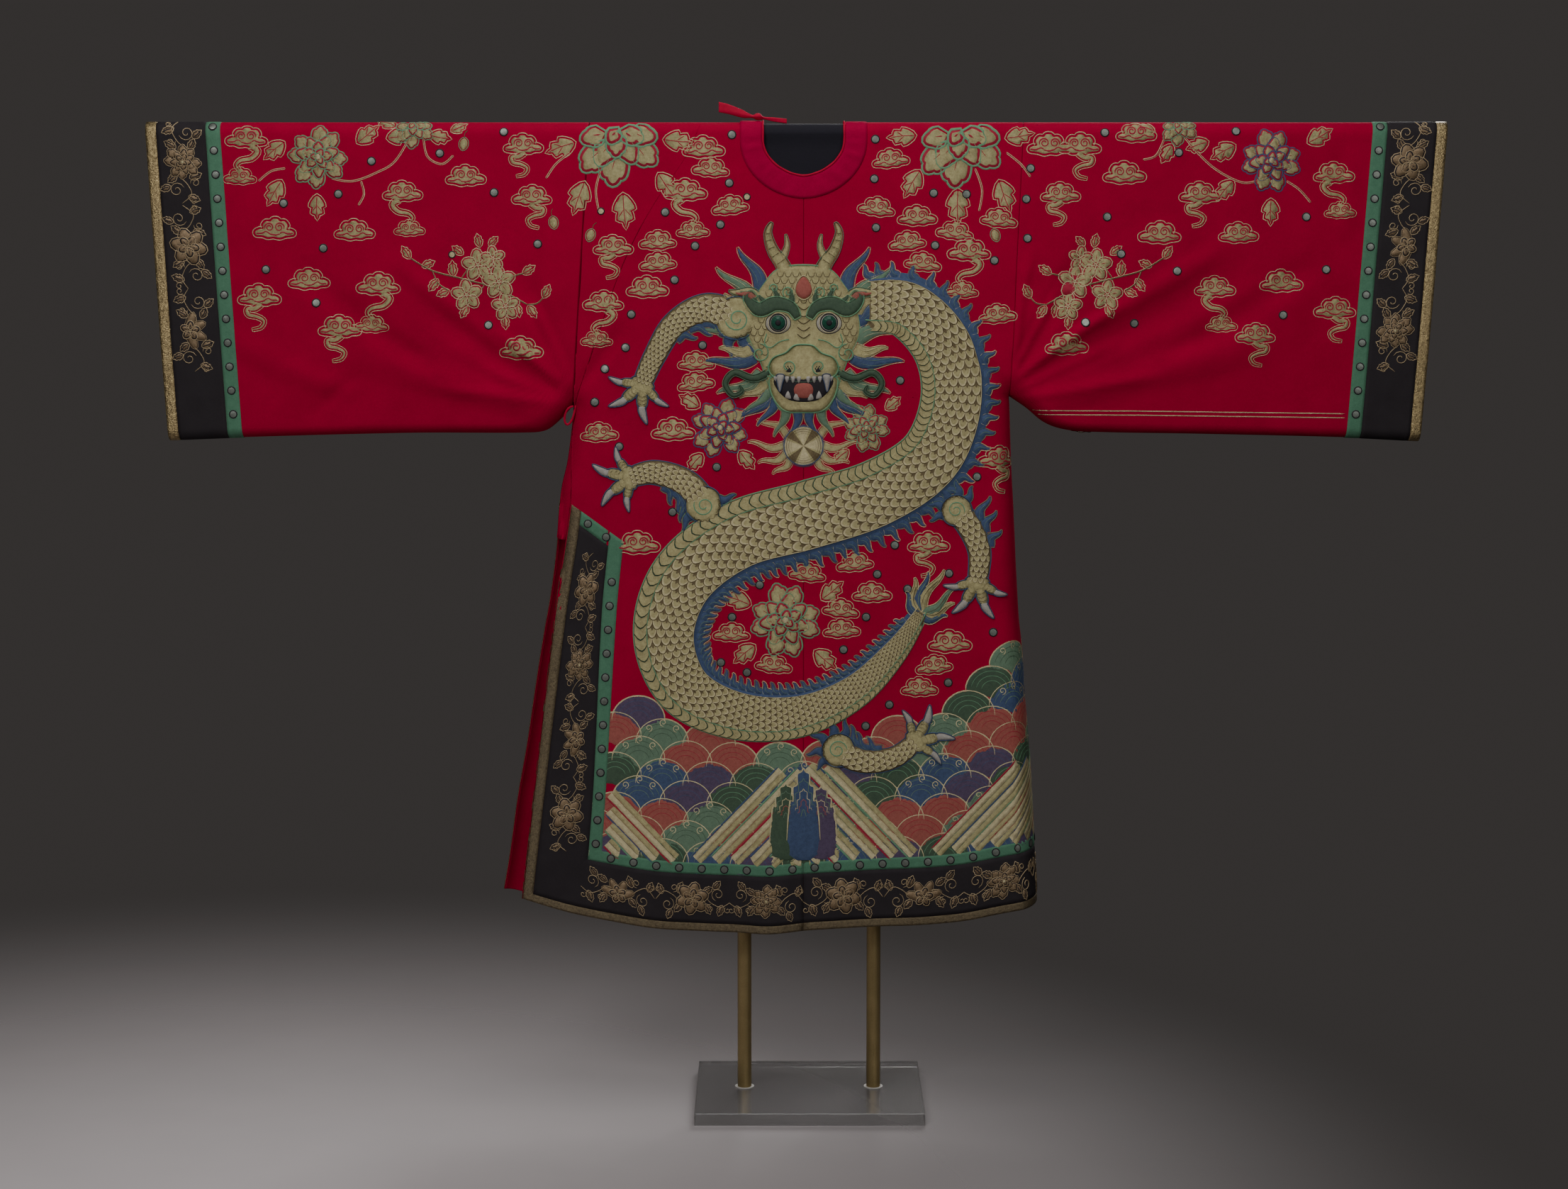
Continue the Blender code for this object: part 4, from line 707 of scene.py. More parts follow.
def make_object(name: str, points: Array, faces: Iterable[Sequence[int]],
                finishes: Sequence[Finish], picks: Sequence[int] | None = None) -> bpy.types.Object:
    """Make a smooth-shaded mesh object that belongs to the robe.

    Args:
        name: the piece's name.
        points: its corners, one row each.
        faces: corner numbers of each face.
        finishes: its finishes.
        picks: which finish each face takes; the first where left out.

    Returns:
        The new object.
    """
    mesh = bpy.data.meshes.new(name)
    mesh.from_pydata(np.asarray(points).tolist(), [], [tuple(map(int, face)) for face in faces])
    for finish in finishes:
        mesh.materials.append(finish.material())
    if picks is not None:
        mesh.polygons.foreach_set("material_index", np.asarray(picks, np.int32))
    mesh.shade_smooth()
    made = bpy.data.objects.new(name, mesh)
    bpy.context.scene.collection.objects.link(made)
    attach(made, "root")
    log.info("%s: %d faces", name, len(mesh.polygons))
    return made


# ---------------------------------------------------------------- cloth shells

class Shell:
    """Grids of cloth coordinates that close into thin sheets."""

    def __init__(self, drape: Drape) -> None:
        """Start with no grids.

        Args:
            drape: how the cloth hangs.
        """
        self.drape = drape
        self.points: list[Array] = []
        self.faces: list[Array] = []
        self.count = 0

    def add(self, u: Array, s: Array, low: float, high: float, looped: bool = False,
            flap: bool = True, dip: float = 0.0, body: bool = True) -> "Shell":
        """Add one closed sheet over a grid.

        Args:
            u: places across, rows by columns.
            s: lengths down the cloth, rows by columns.
            low: height of the sheet's inner face over the cloth's outer face.
            high: height of its outer face.
            looped: whether the last row joins the first.
            flap: whether the right front is taken over the flap.
            dip: how far the outer face sinks at the sheet's edges.
            body: whether the sheet is part of the body and not of a sleeve.

        Returns:
            The shell itself.
        """
        points, normals = self.drape.skin(u, s, flap, body)
        top = np.full(u.shape, high)
        top[:, [0, -1]] -= dip
        if not looped:
            top[[0, -1]] -= dip
        rows, columns = u.shape
        outer = points + normals * top[..., None]
        inner = points + normals * low
        index = np.arange(rows * columns).reshape(rows, columns)
        if looped:
            index = np.vstack([index, index[:1]])
        a, b = index[:-1, :-1].ravel(), index[:-1, 1:].ravel()
        c, d = index[1:, 1:].ravel(), index[1:, :-1].ravel()
        under = rows * columns
        faces = [np.stack([a, b, c, d], 1), np.stack([a, d, c, b], 1) + under]
        edges = [(index[:-1, 0], index[1:, 0]), (index[1:, -1], index[:-1, -1])]
        if not looped:
            edges += [(index[0, 1:], index[0, :-1]), (index[-1, :-1], index[-1, 1:])]
        for start, end in edges:
            faces.append(np.stack([start, end, end + under, start + under], 1))
        i, j = (rows - 1) // 2, (columns - 1) // 2
        turn = np.cross(outer[i, j + 1] - outer[i, j], outer[i + 1, j] - outer[i, j])
        stacked = np.vstack(faces)
        if turn @ normals[i, j] < 0:
            stacked = stacked[:, ::-1]
        self.faces.append(stacked + self.count)
        self.points += [outer.reshape(-1, 3), inner.reshape(-1, 3)]
        self.count += 2 * under
        return self

    def sew(self, node: str, finish: Finish, slot: str, flat: tuple[float, float],
            held: str, *rests_on: str, area: float | None = None) -> bpy.types.Object:
        """Make the sheet of every grid added, named after the solid that it stands for, and hide
        that solid.

        Args:
            node: the solid; the sheet takes its name.
            finish: the sheet's finish.
            slot: the record's material slot; not used.
            flat: width and length of the rectangle that it was cut from; not used.
            held: how it is held; not used.
            rests_on: the pieces that hold it; not used.
            area: its flat area, where that is less than the rectangle's; not used.

        Returns:
            The new object.
        """
        made = make_object(f"{node}_cloth", np.vstack(self.points), np.vstack(self.faces),
                           [finish])
        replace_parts(made, node)
        return made


def spread(count: int, dense_end: float = 1.0) -> Array:
    """Shares from 0 to 1, closer together at the far end where dense_end is over 1."""
    even = np.linspace(0.0, 1.0, count + 1)
    return 1 - (1 - even) ** dense_end


def with_margins(shares: Array, margin: float) -> Array:
    """The same shares with one more line close to each end, for a soft seam."""
    return np.concatenate([[0.0, margin], shares[1:-1], [1 - margin, 1.0]])


class Cut:
    """The lines along which the robe's panels are cut, in cloth coordinates."""

    def __init__(self, drape: Drape) -> None:
        """Take the drape that the panels hang in."""
        self.drape = drape

    def neck_half(self, s: Array, face: int) -> Array:
        """Half width of the neck opening at a length below the shoulder line.

        Args:
            s: lengths down from the shoulder line, not negative.
            face: front or back.

        Returns:
            The half widths.
        """
        if face == FRONT:
            fall, power = (s - NECK_STRAIGHT) / (NECK_DROP + NECK_EASE), 1.2
        else:
            fall, power = (s - ARC) / (NECK_BACK_DROP + NECK_EASE), 1.0
        fall = np.clip(fall, 0.0, 1.0)
        return (NECK_HALF + NECK_EASE) * np.sqrt(1 - fall * fall) ** power

    def inner(self, side: int, s: Array, face: int) -> Array:
        """Inner edge of a body length: the centre seam, or the neck above it."""
        return CENTRE + side * np.maximum(self.neck_half(s, face), SEAM / 2)

    def armhole(self, side: int, s: Array) -> Array:
        """The armhole seam."""
        return ARMHOLE[side].at(height_of(s)) - side * SEAM / 2

    def free_edge(self, side: int, s: Array, face: int) -> Array:
        """The slit edge or side seam, below the underarm."""
        return CENTRE + side * self.drape.edge_length(side, height_of(s), face)

    def outer_edge(self, side: int, s: Array, face: int) -> Array:
        """Outer edge of a body length over its whole height."""
        low = height_of(s) < UNDERARM[side][1]
        return np.where(low, self.free_edge(side, s, face), self.armhole(side, s))

    def hem(self, side: int, u: Array, face: int) -> Array:
        """Height of the hem under a place across.

        Args:
            side: the wearer's right or left.
            u: places across, in cloth coordinates.
            face: the face that the panel starts on.

        Returns:
            Heights of the hem.
        """
        z = np.full(np.shape(u), HEM_START)
        for _ in range(3):
            point = self.drape.outer(side, u, ARC + BAR_Z - z, face, True)
            if face == BACK:
                z = HEM_BACK.at(point[..., 0])
                continue
            widest = max(HEM_FRONT.rows)
            wrap = widest[1] + WRAP_RISE * (widest[0] - point[..., 0])
            z = np.where(point[..., 1] > 0, wrap, HEM_FRONT.at(point[..., 0]))
        return z

    def panel(self, side: int, face: int, shares: Array, rows: int,
              outer: Callable[[Array], Array] | None = None) -> tuple[Array, Array]:
        """Grid of a body panel from the shoulder line down to its hem.

        Args:
            side: the wearer's right or left.
            face: front or back.
            shares: the columns' shares of the way across.
            rows: rows between the neck's lowest point and the hem.
            outer: the outer edge by length, where it isn't the body's own.

        Returns:
            Places across and lengths down, both not negative in length.
        """
        def across(s: Array) -> Array:
            """Places across for lengths down."""
            edge = outer(s) if outer else self.outer_edge(side, s, face)
            return mix(self.inner(side, s, face), edge, shares)

        drop, start, count = ((NECK_DROP, NECK_STRAIGHT, 25) if face == FRONT
                              else (NECK_BACK_DROP, ARC, 14))
        angles = np.radians(np.linspace(90, 0, count))
        upper = np.concatenate([np.linspace(0.0, start, 10)[:-1],
                                start + (drop + NECK_EASE) * np.cos(angles)])
        way = np.sort(np.append(np.linspace(0.0, 1.0, rows + 1)[1:], 1 - 0.0015))
        bottom = np.full(shares.shape, ARC + BAR_Z - HEM_START)
        for _ in range(3):
            bottom = ARC + BAR_Z - self.hem(side, across(bottom), face)
        s = np.vstack([np.repeat(upper[:, None], len(shares), 1),
                       upper[-1] + way[:, None] * (bottom - upper[-1])])
        return across(s), s


EDGE_DIP, BAND_DIP = 0.0006, 0.0003    # how far a sheet's face sinks at its edges
BAND_FOOT, BAND_TOP, BAND_STEP = -0.0004, 0.0012, 0.0001
CORD_SIDES = 10
BANDS = ("gold", "black", "green")
STRIP = (0.018, 0.080, 0.023)
# The borders' gold braid takes the darker copy of the braid: painted shade.
BAND_CLOTH = {"gold": (SHADED_LAME, "gold_braid"), "black": (BLACK, "black_satin"),
              "green": (GREEN, "green_cotton")}


@dataclass
class RobeCloth:
    """The red cotton of the robe: two body lengths, the flap and two sleeves."""

    drape: Drape
    cut: Cut
    body_columns: int = 46
    body_rows: int = 118
    sleeve_fine: int = 66
    sleeve_plain: int = 38

    def build(self) -> None:
        """Build every red panel and hide the solids that it stands for."""
        self.build_left()
        self.build_right()
        self.build_flap()
        for side in (RIGHT, LEFT):
            self.build_sleeve(side)

    def shares(self, dense_end: float = 1.0) -> Array:
        """Shares of the way across a body length, with soft seams at both edges."""
        return with_margins(spread(self.body_columns, dense_end), 0.004)

    def build_left(self) -> None:
        """The wearer's left body length, front hem to back hem."""
        (u0, s0), (u1, s1) = (self.cut.panel(LEFT, face, self.shares(1.15), self.body_rows)
                              for face in (FRONT, BACK))
        Shell(self.drape).add(np.vstack([u0[::-1], u1[1:]]), np.vstack([s0[::-1], -s1[1:]]),
                              -WALL, 0.0, dip=EDGE_DIP).sew(
            "body_left", RED, "red_cotton", (0.63, 2.78), "hung", "stand_arm_left", area=1.22)

    def covered_edge(self, s: Array) -> Array:
        """Outer edge of the right front, which the flap covers.

        Args:
            s: lengths down from the shoulder line.

        Returns:
            Places across.
        """
        z = height_of(s)
        narrow = mix(CENTRE, FLAP_EDGE.at(z), 0.87)
        seam = np.where(z < UNDERARM[RIGHT][1], SILHOUETTE[RIGHT].at(z) + 0.0002,
                        self.cut.armhole(RIGHT, s))
        return mix(seam, narrow, ease(SLIT_CUT - z, 0.0, 0.012))

    def build_right(self) -> None:
        """The right body length: under the flap, over the shoulder and down the back."""
        (u0, s0), (u1, s1) = (
            self.cut.panel(RIGHT, face, self.shares(1.5), self.body_rows, outer)
            for face, outer in ((FRONT, self.covered_edge), (BACK, None)))
        Shell(self.drape).add(np.vstack([u0[::-1], u1[1:]]), np.vstack([s0[::-1], -s1[1:]]),
                              -WALL, 0.0, flap=False, dip=EDGE_DIP).sew(
            "body_right", RED, "red_cotton", (0.54, 2.74), "hung", "stand_arm_right",
            area=1.14)

    def build_flap(self) -> None:
        """The front that crosses over to the right, from the shoulder to the hem."""
        u, s = self.cut.panel(RIGHT, FRONT, self.shares(1.6), self.body_rows,
                              lambda s: FLAP_EDGE.at(height_of(s)))
        Shell(self.drape).add(u[3:], s[3:], -WALL, 0.0, dip=0.0004).sew(
            "flap", RED, "red_cotton", (0.49, 1.40), "hung", "body_right_cloth",
            "neck_facing_cloth", area=0.50)

    def ring(self, side: int, u: Array, rows: int = 62) -> Array:
        """Lengths down a sleeve's front and up its back, for each place along it.

        Args:
            side: the wearer's right or left.
            u: places along the sleeve.
            rows: rows on each face between the shoulder line and the rounded foot.

        Returns:
            Rows of cloth lengths, front foot round to back foot.
        """
        foot = SLEEVE_FOOT[side].at(u)
        radius = self.drape.side_radius(side, u, foot)
        turn = np.radians(np.linspace(2.0, 90.0, 9))[:, None]
        curl = foot + radius * (1 - np.cos(turn))
        top = ARC + BAR_Z - curl[-1]
        arc = np.linspace(0, ARC, 5)[:, None] * np.ones_like(foot)
        face = ARC + (top - ARC) * np.linspace(0, 1, rows)[1:-1, None]
        down = np.vstack([arc, face, ARC + BAR_Z - curl[::-1]])
        return np.vstack([down[::-1], -down[1:]])

    def build_sleeve(self, side: int) -> None:
        """One sleeve, closed round its foot and open at the body and the cuff.

        Args:
            side: the wearer's right or left.
        """
        word = "right" if side == RIGHT else "left"
        near = np.linspace(0.0, 0.42, self.sleeve_fine)
        far = np.linspace(0.42, 1.0, self.sleeve_plain + 1)[1:]
        way = np.concatenate([[0.0, 0.0015], near[1:], far[:-1], [0.9985, 1.0]])
        middle = np.full(way.shape, SLEEVE_START)
        for _ in range(3):
            inner = ARMHOLE[side].at(middle) + side * SEAM / 2
            s = self.ring(side, mix(inner, CUFF[side].at(middle), way))
            z = height_of(s)
            inner = np.where(z > UNDERARM[side][1], ARMHOLE[side].at(z), UNDERARM[side][0])
            u = mix(inner + side * SEAM / 2, CUFF[side].at(z), way[None, :])
            middle = z[0]
        Shell(self.drape).add(u, s, -WALL, 0.0, looped=True, dip=EDGE_DIP, body=False).sew(
            f"sleeve_{word}", RED, "red_cotton", (0.76, 1.10), "hung", f"stand_arm_{word}",
            area=0.78)


@dataclass(frozen=True)
class Border:
    """The bands that run across a panel's hem and up its slit, to a slanted top."""

    drape: Drape
    cut: Cut
    name: str
    side: int
    face: int
    rows: int = 86
    columns: int = 46

    def offsets(self, z: Array, share: float, band: int) -> Array:
        """Distance in from the slit's edge at a share of the way across a band."""
        widths = [SLIT_BORDER.at(z, k) for k in (1, 2, 3)]
        return sum(widths[:band], np.zeros(np.shape(z))) + widths[band] * share

    def height(self, share: float, band: int) -> float:
        """Height over the hem at a share of the way across a band."""
        edges = (0.0, *HEM_BORDER)
        return edges[band] + (edges[band + 1] - edges[band]) * share

    def edge(self, z: Array) -> Array:
        """The slit's edge, in cloth coordinates.

        Args:
            z: heights.

        Returns:
            Places across.
        """
        if self.side == RIGHT and self.face == FRONT:
            return FLAP_EDGE.at(z)
        return CENTRE + self.side * self.drape.edge_length(self.side, z, self.face)

    def corner(self, share: float, band: int) -> tuple[float, float]:
        """Where a line of a band turns from the slit to the hem: across and height.

        Args:
            share: share of the band's width.
            band: 0 for the gold, 1 for the black and 2 for the green one.

        Returns:
            The place.
        """
        z = CORNER_START
        for _ in range(5):
            u = float(self.edge(z) - self.side * self.offsets(z, share, band))
            z = float(self.cut.hem(self.side, np.array([u]), self.face)[0]
                      + self.height(share, band))
        return u, z

    def slant(self, offset: Array) -> Array:
        """Height of the slanted top at a distance in from the slit's edge."""
        return mix(SLIT_TOP, SLIT_CUT, np.clip(offset / SLIT_SLANT, 0.0, 1.1))

    def line(self, share: float, band: int) -> tuple[Array, Array]:
        """One long line of a band, from the slit's top round the corner to the centre.

        Args:
            share: how far across the band, from its outer edge.
            band: 0 for the gold, 1 for the black and 2 for the green one.

        Returns:
            Places across and heights.
        """
        across, low = self.corner(share, band)
        inward = self.offsets(np.array(1.0), share, band)
        top = float(self.slant(inward)) - (0.024 if band == 1 else 0.0)
        z = mix(top, low, np.linspace(0, 1, self.rows))
        u = self.edge(z) - self.side * self.offsets(z, share, band)
        way = np.linspace(0, 1, self.columns + 1)[1:]
        u2 = mix(across, CENTRE + self.side * SEAM / 2, way)
        z2 = self.cut.hem(self.side, u2, self.face) + self.height(share, band)
        return np.concatenate([u, u2]), np.concatenate([z, z2])

    def grid(self, band: int) -> tuple[Array, Array]:
        """Cloth coordinates of a whole band, its long lines as columns.

        Args:
            band: 0 for the gold, 1 for the black and 2 for the green one.

        Returns:
            Places across, and lengths down from the shoulder line.
        """
        count = (5, 12, 6)[band]
        shares = np.linspace(0.003 if band else 0.0, 1.0, count)
        lines = [self.line(share, band) for share in shares]
        u = np.stack([line[0] for line in lines], 1)
        z = np.stack([line[1] for line in lines], 1)
        return u, down_to(z, self.face)

    def cap(self) -> tuple[Array, Array]:
        """Cloth coordinates of the green strip along the slanted top.

        Returns:
            Places across, and lengths down from the shoulder line.
        """
        inward = np.linspace(0.0202, SLIT_SLANT - 0.026, 12)[None, :]
        z = self.slant(inward) - np.linspace(0.0, 0.0237, 5)[:, None]
        return self.edge(z) - self.side * inward, down_to(z, self.face)

    def build(self) -> None:
        """Build the three bands of this border."""
        run = 1.26 if self.side == LEFT and self.face == FRONT else 1.14
        for band, colour in enumerate(BANDS):
            finish, slot = BAND_CLOTH[colour]
            shell = Shell(self.drape).add(*self.grid(band), BAND_FOOT,
                                          BAND_TOP - BAND_STEP * band, dip=BAND_DIP)
            if colour == "green":
                shell.add(*self.cap(), BAND_FOOT, BAND_TOP, dip=BAND_DIP)
            ground = "flap_cloth" if self.name == "flap_border" else (
                "body_left_cloth" if self.side == LEFT else "body_right_cloth")
            shell.sew(f"{self.name}_{colour}", finish, slot, (STRIP[band], run), "laid", ground)


@dataclass(frozen=True)
class Cuff:
    """The three bands round the end of a sleeve."""

    drape: Drape
    cloth: RobeCloth
    side: int

    def build(self) -> None:
        """Build the gold, black and green rings of one cuff."""
        word = "right" if self.side == RIGHT else "left"
        low = (0.0, *CUFF_BORDER)
        for band, colour in enumerate(BANDS):
            finish, slot = BAND_CLOTH[colour]
            # The cuffs take the lighter copy of the braid: a painted highlight.
            if colour == "gold":
                finish = LIT_LAME
            away = np.linspace(low[band] + (0.0002 if band else 0.0), low[band + 1],
                               (5, 14, 6)[band])
            s = self.cloth.ring(self.side, CUFF[self.side].at(1.15) - self.side * away, 84)
            u = CUFF[self.side].at(height_of(s)) - self.side * away[None, :]
            Shell(self.drape).add(u, s, BAND_FOOT, BAND_TOP - BAND_STEP * band, looped=True,
                                  dip=BAND_DIP, body=False).sew(
                f"cuff_{colour}_{word}", finish, slot, (low[band + 1] - low[band], 1.10),
                "laid", f"sleeve_{word}_cloth")


@dataclass(frozen=True)
class Neck:
    """The facing round the neck opening, its piping, and the two ties."""

    drape: Drape
    lift: float = 0.0016
    steps: int = 30

    def facing_lines(self, across: Array) -> tuple[Array, Array]:
        """Cloth coordinates of the facing ring.

        Args:
            across: shares of the way from the neck's edge out.

        Returns:
            Places across and lengths down, rows round the ring by columns outward.
        """
        turn = np.radians(np.linspace(0.0, 90.0, self.steps))[:, None]
        reach = NECK_HALF + FACING * across[None, :]
        power = mix(1.2, 1.05, across)[None, :]
        front_u = reach * np.sin(turn) ** power
        front_s = NECK_STRAIGHT + (NECK_DROP + FACING * across) * np.cos(turn)
        over = mix(NECK_STRAIGHT, -ARC, np.linspace(0, 1, 18)[1:-1])[:, None]
        back = turn[::-1]
        back_s = -(ARC + (NECK_BACK_DROP + FACING * across) * np.cos(back))
        half_u = np.vstack([front_u, reach * np.ones_like(over), reach * np.sin(back)])
        half_s = np.vstack([front_s, over * np.ones_like(reach), back_s])
        u = np.vstack([CENTRE + half_u, CENTRE - half_u[-2:0:-1]])
        return u, np.vstack([half_s, half_s[-2:0:-1]])

    def build(self) -> None:
        """Build the facing with its soft puckers, the piping and the ties."""
        u, s = self.facing_lines(np.linspace(0.0, 1.0, 9))
        shell = Shell(self.drape).add(u, s, -0.0008, self.lift, looped=True, dip=EDGE_DIP)
        outer = shell.points[0].reshape(*u.shape, 3)
        around = np.linspace(0, 2 * math.pi, u.shape[0], endpoint=False)[:, None]
        bulge = np.sin(np.linspace(0, math.pi, u.shape[1]))[None, :]
        pucker = np.maximum(0, np.sin(around * 23 + 2 * np.sin(around * 5))) ** 3
        pucker = pucker + 0.7 * np.maximum(0, np.sin(around * 37 + 3 * np.cos(around * 3))) ** 4
        outer[..., 1] += np.where(outer[..., 1] < 0, -0.0012, 0.0012) * pucker * bulge
        shell.sew("neck_facing", FACING_RED, "red_facing", (0.22, 0.30), "laid",
                  "body_left_cloth", "body_right_cloth", area=0.0215)
        edge, normal = self.drape.skin(u[:, :2], s[:, :2])
        inward = edge[:, 0] - edge[:, 1]
        inward /= np.linalg.norm(inward, axis=1, keepdims=True)
        centres = edge[:, 0] + inward * 0.0010 + normal[:, 0] * 0.0009
        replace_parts(make_cord("neck_piping_cord", centres, 0.0018, closed=True),
                    "neck_piping")
        self.build_bow()
        self.build_loop()

    def build_bow(self) -> None:
        """The flattened bow that ties the flap at the right shoulder."""
        rows = Table(((-0.1310, -0.0085, 1.7105, 0.0088, 0.0012),
                      (-0.1150, -0.0085, 1.7070, 0.0084, 0.0020),
                      (-0.0900, -0.0080, 1.6988, 0.0066, 0.0030),
                      (-0.0740, -0.0070, 1.6946, 0.0028, 0.0028),
                      (-0.0670, -0.0060, 1.6944, 0.0058, 0.0058),
                      (-0.0610, -0.0060, 1.6939, 0.0055, 0.0054),
                      (-0.0560, -0.0050, 1.6923, 0.0024, 0.0028),
                      (-0.0400, -0.0040, 1.6898, 0.0036, 0.0022),
                      (-0.0163, -0.0020, 1.6868, 0.0042, 0.0012)))
        count, sides = 70, 16
        x = np.linspace(-0.131, -0.0163, count)[:, None]
        y, z, high, deep = (rows.at(x, column) for column in (1, 2, 3, 4))
        a = np.linspace(0, 2 * math.pi, sides, endpoint=False)[None, :]
        fold = 1 + 0.22 * np.cos(3 * a + 0.10 * np.arange(count)[:, None])
        points = np.stack(np.broadcast_arrays(x, y + deep * fold * np.cos(a),
                                              z + high * np.sin(a)), -1)
        bow = make_object("shoulder_tie_bow", points.reshape(-1, 3), capped(count - 1, sides),
                          [PIPING_RED])
        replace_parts(bow, "shoulder_tie")

    def build_loop(self) -> None:
        """The hanging loop sewn under the right arm."""
        start, normal = self.drape.skin(np.array([-0.3715]), down_to(np.array([1.206])))
        way = np.linspace(0.0, 1.0, 40)
        a = way * 2 * math.pi
        sway = 0.0062 * np.sin(a) - 0.05 * way * (1 - way) - 0.004 * way
        centres = start[0] + normal[0] * 0.0008 + np.stack(
            [sway, -0.006 * way, -0.0155 * (1 - np.cos(a))], 1)
        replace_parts(make_cord("underarm_tie_loop", centres, 0.0019),
                    "underarm_tie")


def headings(line: Array, closed: bool = False) -> Array:
    """Unit directions along a line.

    Args:
        line: its points, one row each.
        closed: whether it runs on to its own start.

    Returns:
        Unit directions, one row each.
    """
    ahead = np.roll(line, -1, 0) - np.roll(line, 1, 0)
    if not closed:
        ahead[0], ahead[-1] = line[1] - line[0], line[-1] - line[-2]
    return ahead / np.maximum(np.linalg.norm(ahead, axis=1, keepdims=True), 1e-9)


def make_cord(name: str, centres: Array, radius: float,
              closed: bool = False) -> bpy.types.Object:
    """Make a round, slightly twisted cord through a row of centres.

    Args:
        name: the piece's name.
        centres: points along its middle.
        radius: its radius.
        closed: whether it joins its own start.

    Returns:
        The new object.
    """
    count = len(centres)
    ahead = headings(centres, closed)
    side = np.cross(ahead, np.array([0.13, 1.0, 0.21]))
    side /= np.linalg.norm(side, axis=1, keepdims=True)
    up = np.cross(side, ahead)
    a, k = np.linspace(0, 2 * math.pi, CORD_SIDES, endpoint=False), np.arange(count)[:, None]
    grip = radius * (1 + 0.10 * np.cos(2 * a + (0.70 - 1.6) * k))
    points = centres[:, None] + (side[:, None] * np.cos(a)[:, None]
                                 + up[:, None] * np.sin(a)[:, None]) * grip[..., None]
    faces = quads(count, CORD_SIDES, True, True) if closed else capped(count - 1, CORD_SIDES)
    return make_object(name, points.reshape(-1, 3), faces, [PIPING_RED])


# ---------------------------------------------------------------- needlework kit

def path(*places: tuple[float, float], per: int = 7, closed: bool = False,
         unit: float = MM) -> Array:
    """A smooth line through places given in millimetres.

    Args:
        places: the places, across and up.
        per: points drawn for each stretch.
        closed: whether the line returns to its start.
        unit: metres for each unit of the places.

    Returns:
        Points in metres, one row each.
    """
    p = np.array(places, float) * unit
    count = len(p) if closed else len(p) - 1
    t = np.linspace(0, 1, per, endpoint=False)[:, None]
    drawn = []
    for k in range(count):
        if closed:
            a, b, c, d = (p[(k + j) % len(p)] for j in (-1, 0, 1, 2))
        else:
            a, b, c, d = (p[min(max(k + j, 0), len(p) - 1)] for j in (-1, 0, 1, 2))
        drawn.append(0.5 * (2 * b + (c - a) * t + (2 * a - 5 * b + 4 * c - d) * t ** 2
                            + (3 * b - a - 3 * c + d) * t ** 3))
    if not closed:
        drawn.append(p[-1:])
    return np.vstack(drawn)


def shape(*places: tuple[float, float], per: int = 4) -> Array:
    """The closed outline through places given in millimetres."""
    return path(*places, per=per, closed=True)


def mirrored(*half: tuple[float, float], per: int = 4) -> Array:
    """The closed outline of half a figure's places and their mirror image.

    Args:
        half: places of one side in millimetres; those on the axis are not repeated.
        per: points drawn for each stretch.

    Returns:
        Points in metres, one row each.
    """
    return shape(*half, *((-x, z) for x, z in reversed(half) if x), per=per)


def circle(radius: float, step: float, x: float = 0.0, z: float = 0.0, per: int = 3,
           end: float = 6.2, tall: float | None = None) -> Array:
    """A closed ring about a middle: sizes in millimetres, the step in radians."""
    return shape(*((radius * math.sin(k) + x, (tall or radius) * math.cos(k) + z)
                   for k in np.arange(0, end, step)), per=per)


def polar(degrees: Array, radius: float | Array = 1.0) -> Array:
    """Places round the origin at angles in degrees, one row each."""
    a = np.radians(degrees)
    return np.column_stack([np.cos(a), np.sin(a)]) * radius


def spiral(x: float, z: float, wide: float, narrow: float, start: float, turns: float,
           steps: int = 22) -> Array:
    """A line that winds in round a centre; sizes in millimetres, the start in degrees.

    Args:
        x: where its middle lies across.
        z: where its middle lies up.
        wide: its first radius.
        narrow: its last radius.
        start: the angle that it starts from.
        turns: how often it winds round, negative for clockwise.
        steps: how many points it has.

    Returns:
        The points of the line.
    """
    t = np.linspace(0, 1, steps)
    radius = mix(wide, narrow, t) * MM
    a = math.radians(start) + turns * 2 * math.pi * t
    return np.stack([x * MM + radius * np.cos(a), z * MM + radius * np.sin(a)], 1)


def ways(line: Array, closed: bool = False) -> tuple[Array, Array]:
    """Unit directions along a line and to its left."""
    ahead = headings(line, closed)
    return ahead, np.stack([-ahead[:, 1], ahead[:, 0]], 1)


def signed_area(outline: Array) -> float:
    """Area inside an outline, positive where it runs anticlockwise."""
    x, z = outline[:, 0], outline[:, 1]
    return float(0.5 * np.sum(x * np.roll(z, -1) - np.roll(x, -1) * z))


def grown(outline: Array, distance: float) -> Array:
    """A closed outline moved out by a distance, or in where it is negative."""
    _, left = ways(outline, True)
    return outline - left * distance * math.copysign(1, signed_area(outline))


def widened(line: Array, halves: Array | float) -> Array:
    """The closed outline of a line with a half width at each of its points.

    Args:
        line: the points of the line.
        halves: half widths, one for all or one for each point.

    Returns:
        The outline.
    """
    _, left = ways(line)
    halves = np.broadcast_to(np.asarray(halves, float), len(line))[:, None]
    return np.vstack([line - left * halves, (line + left * halves)[::-1]])


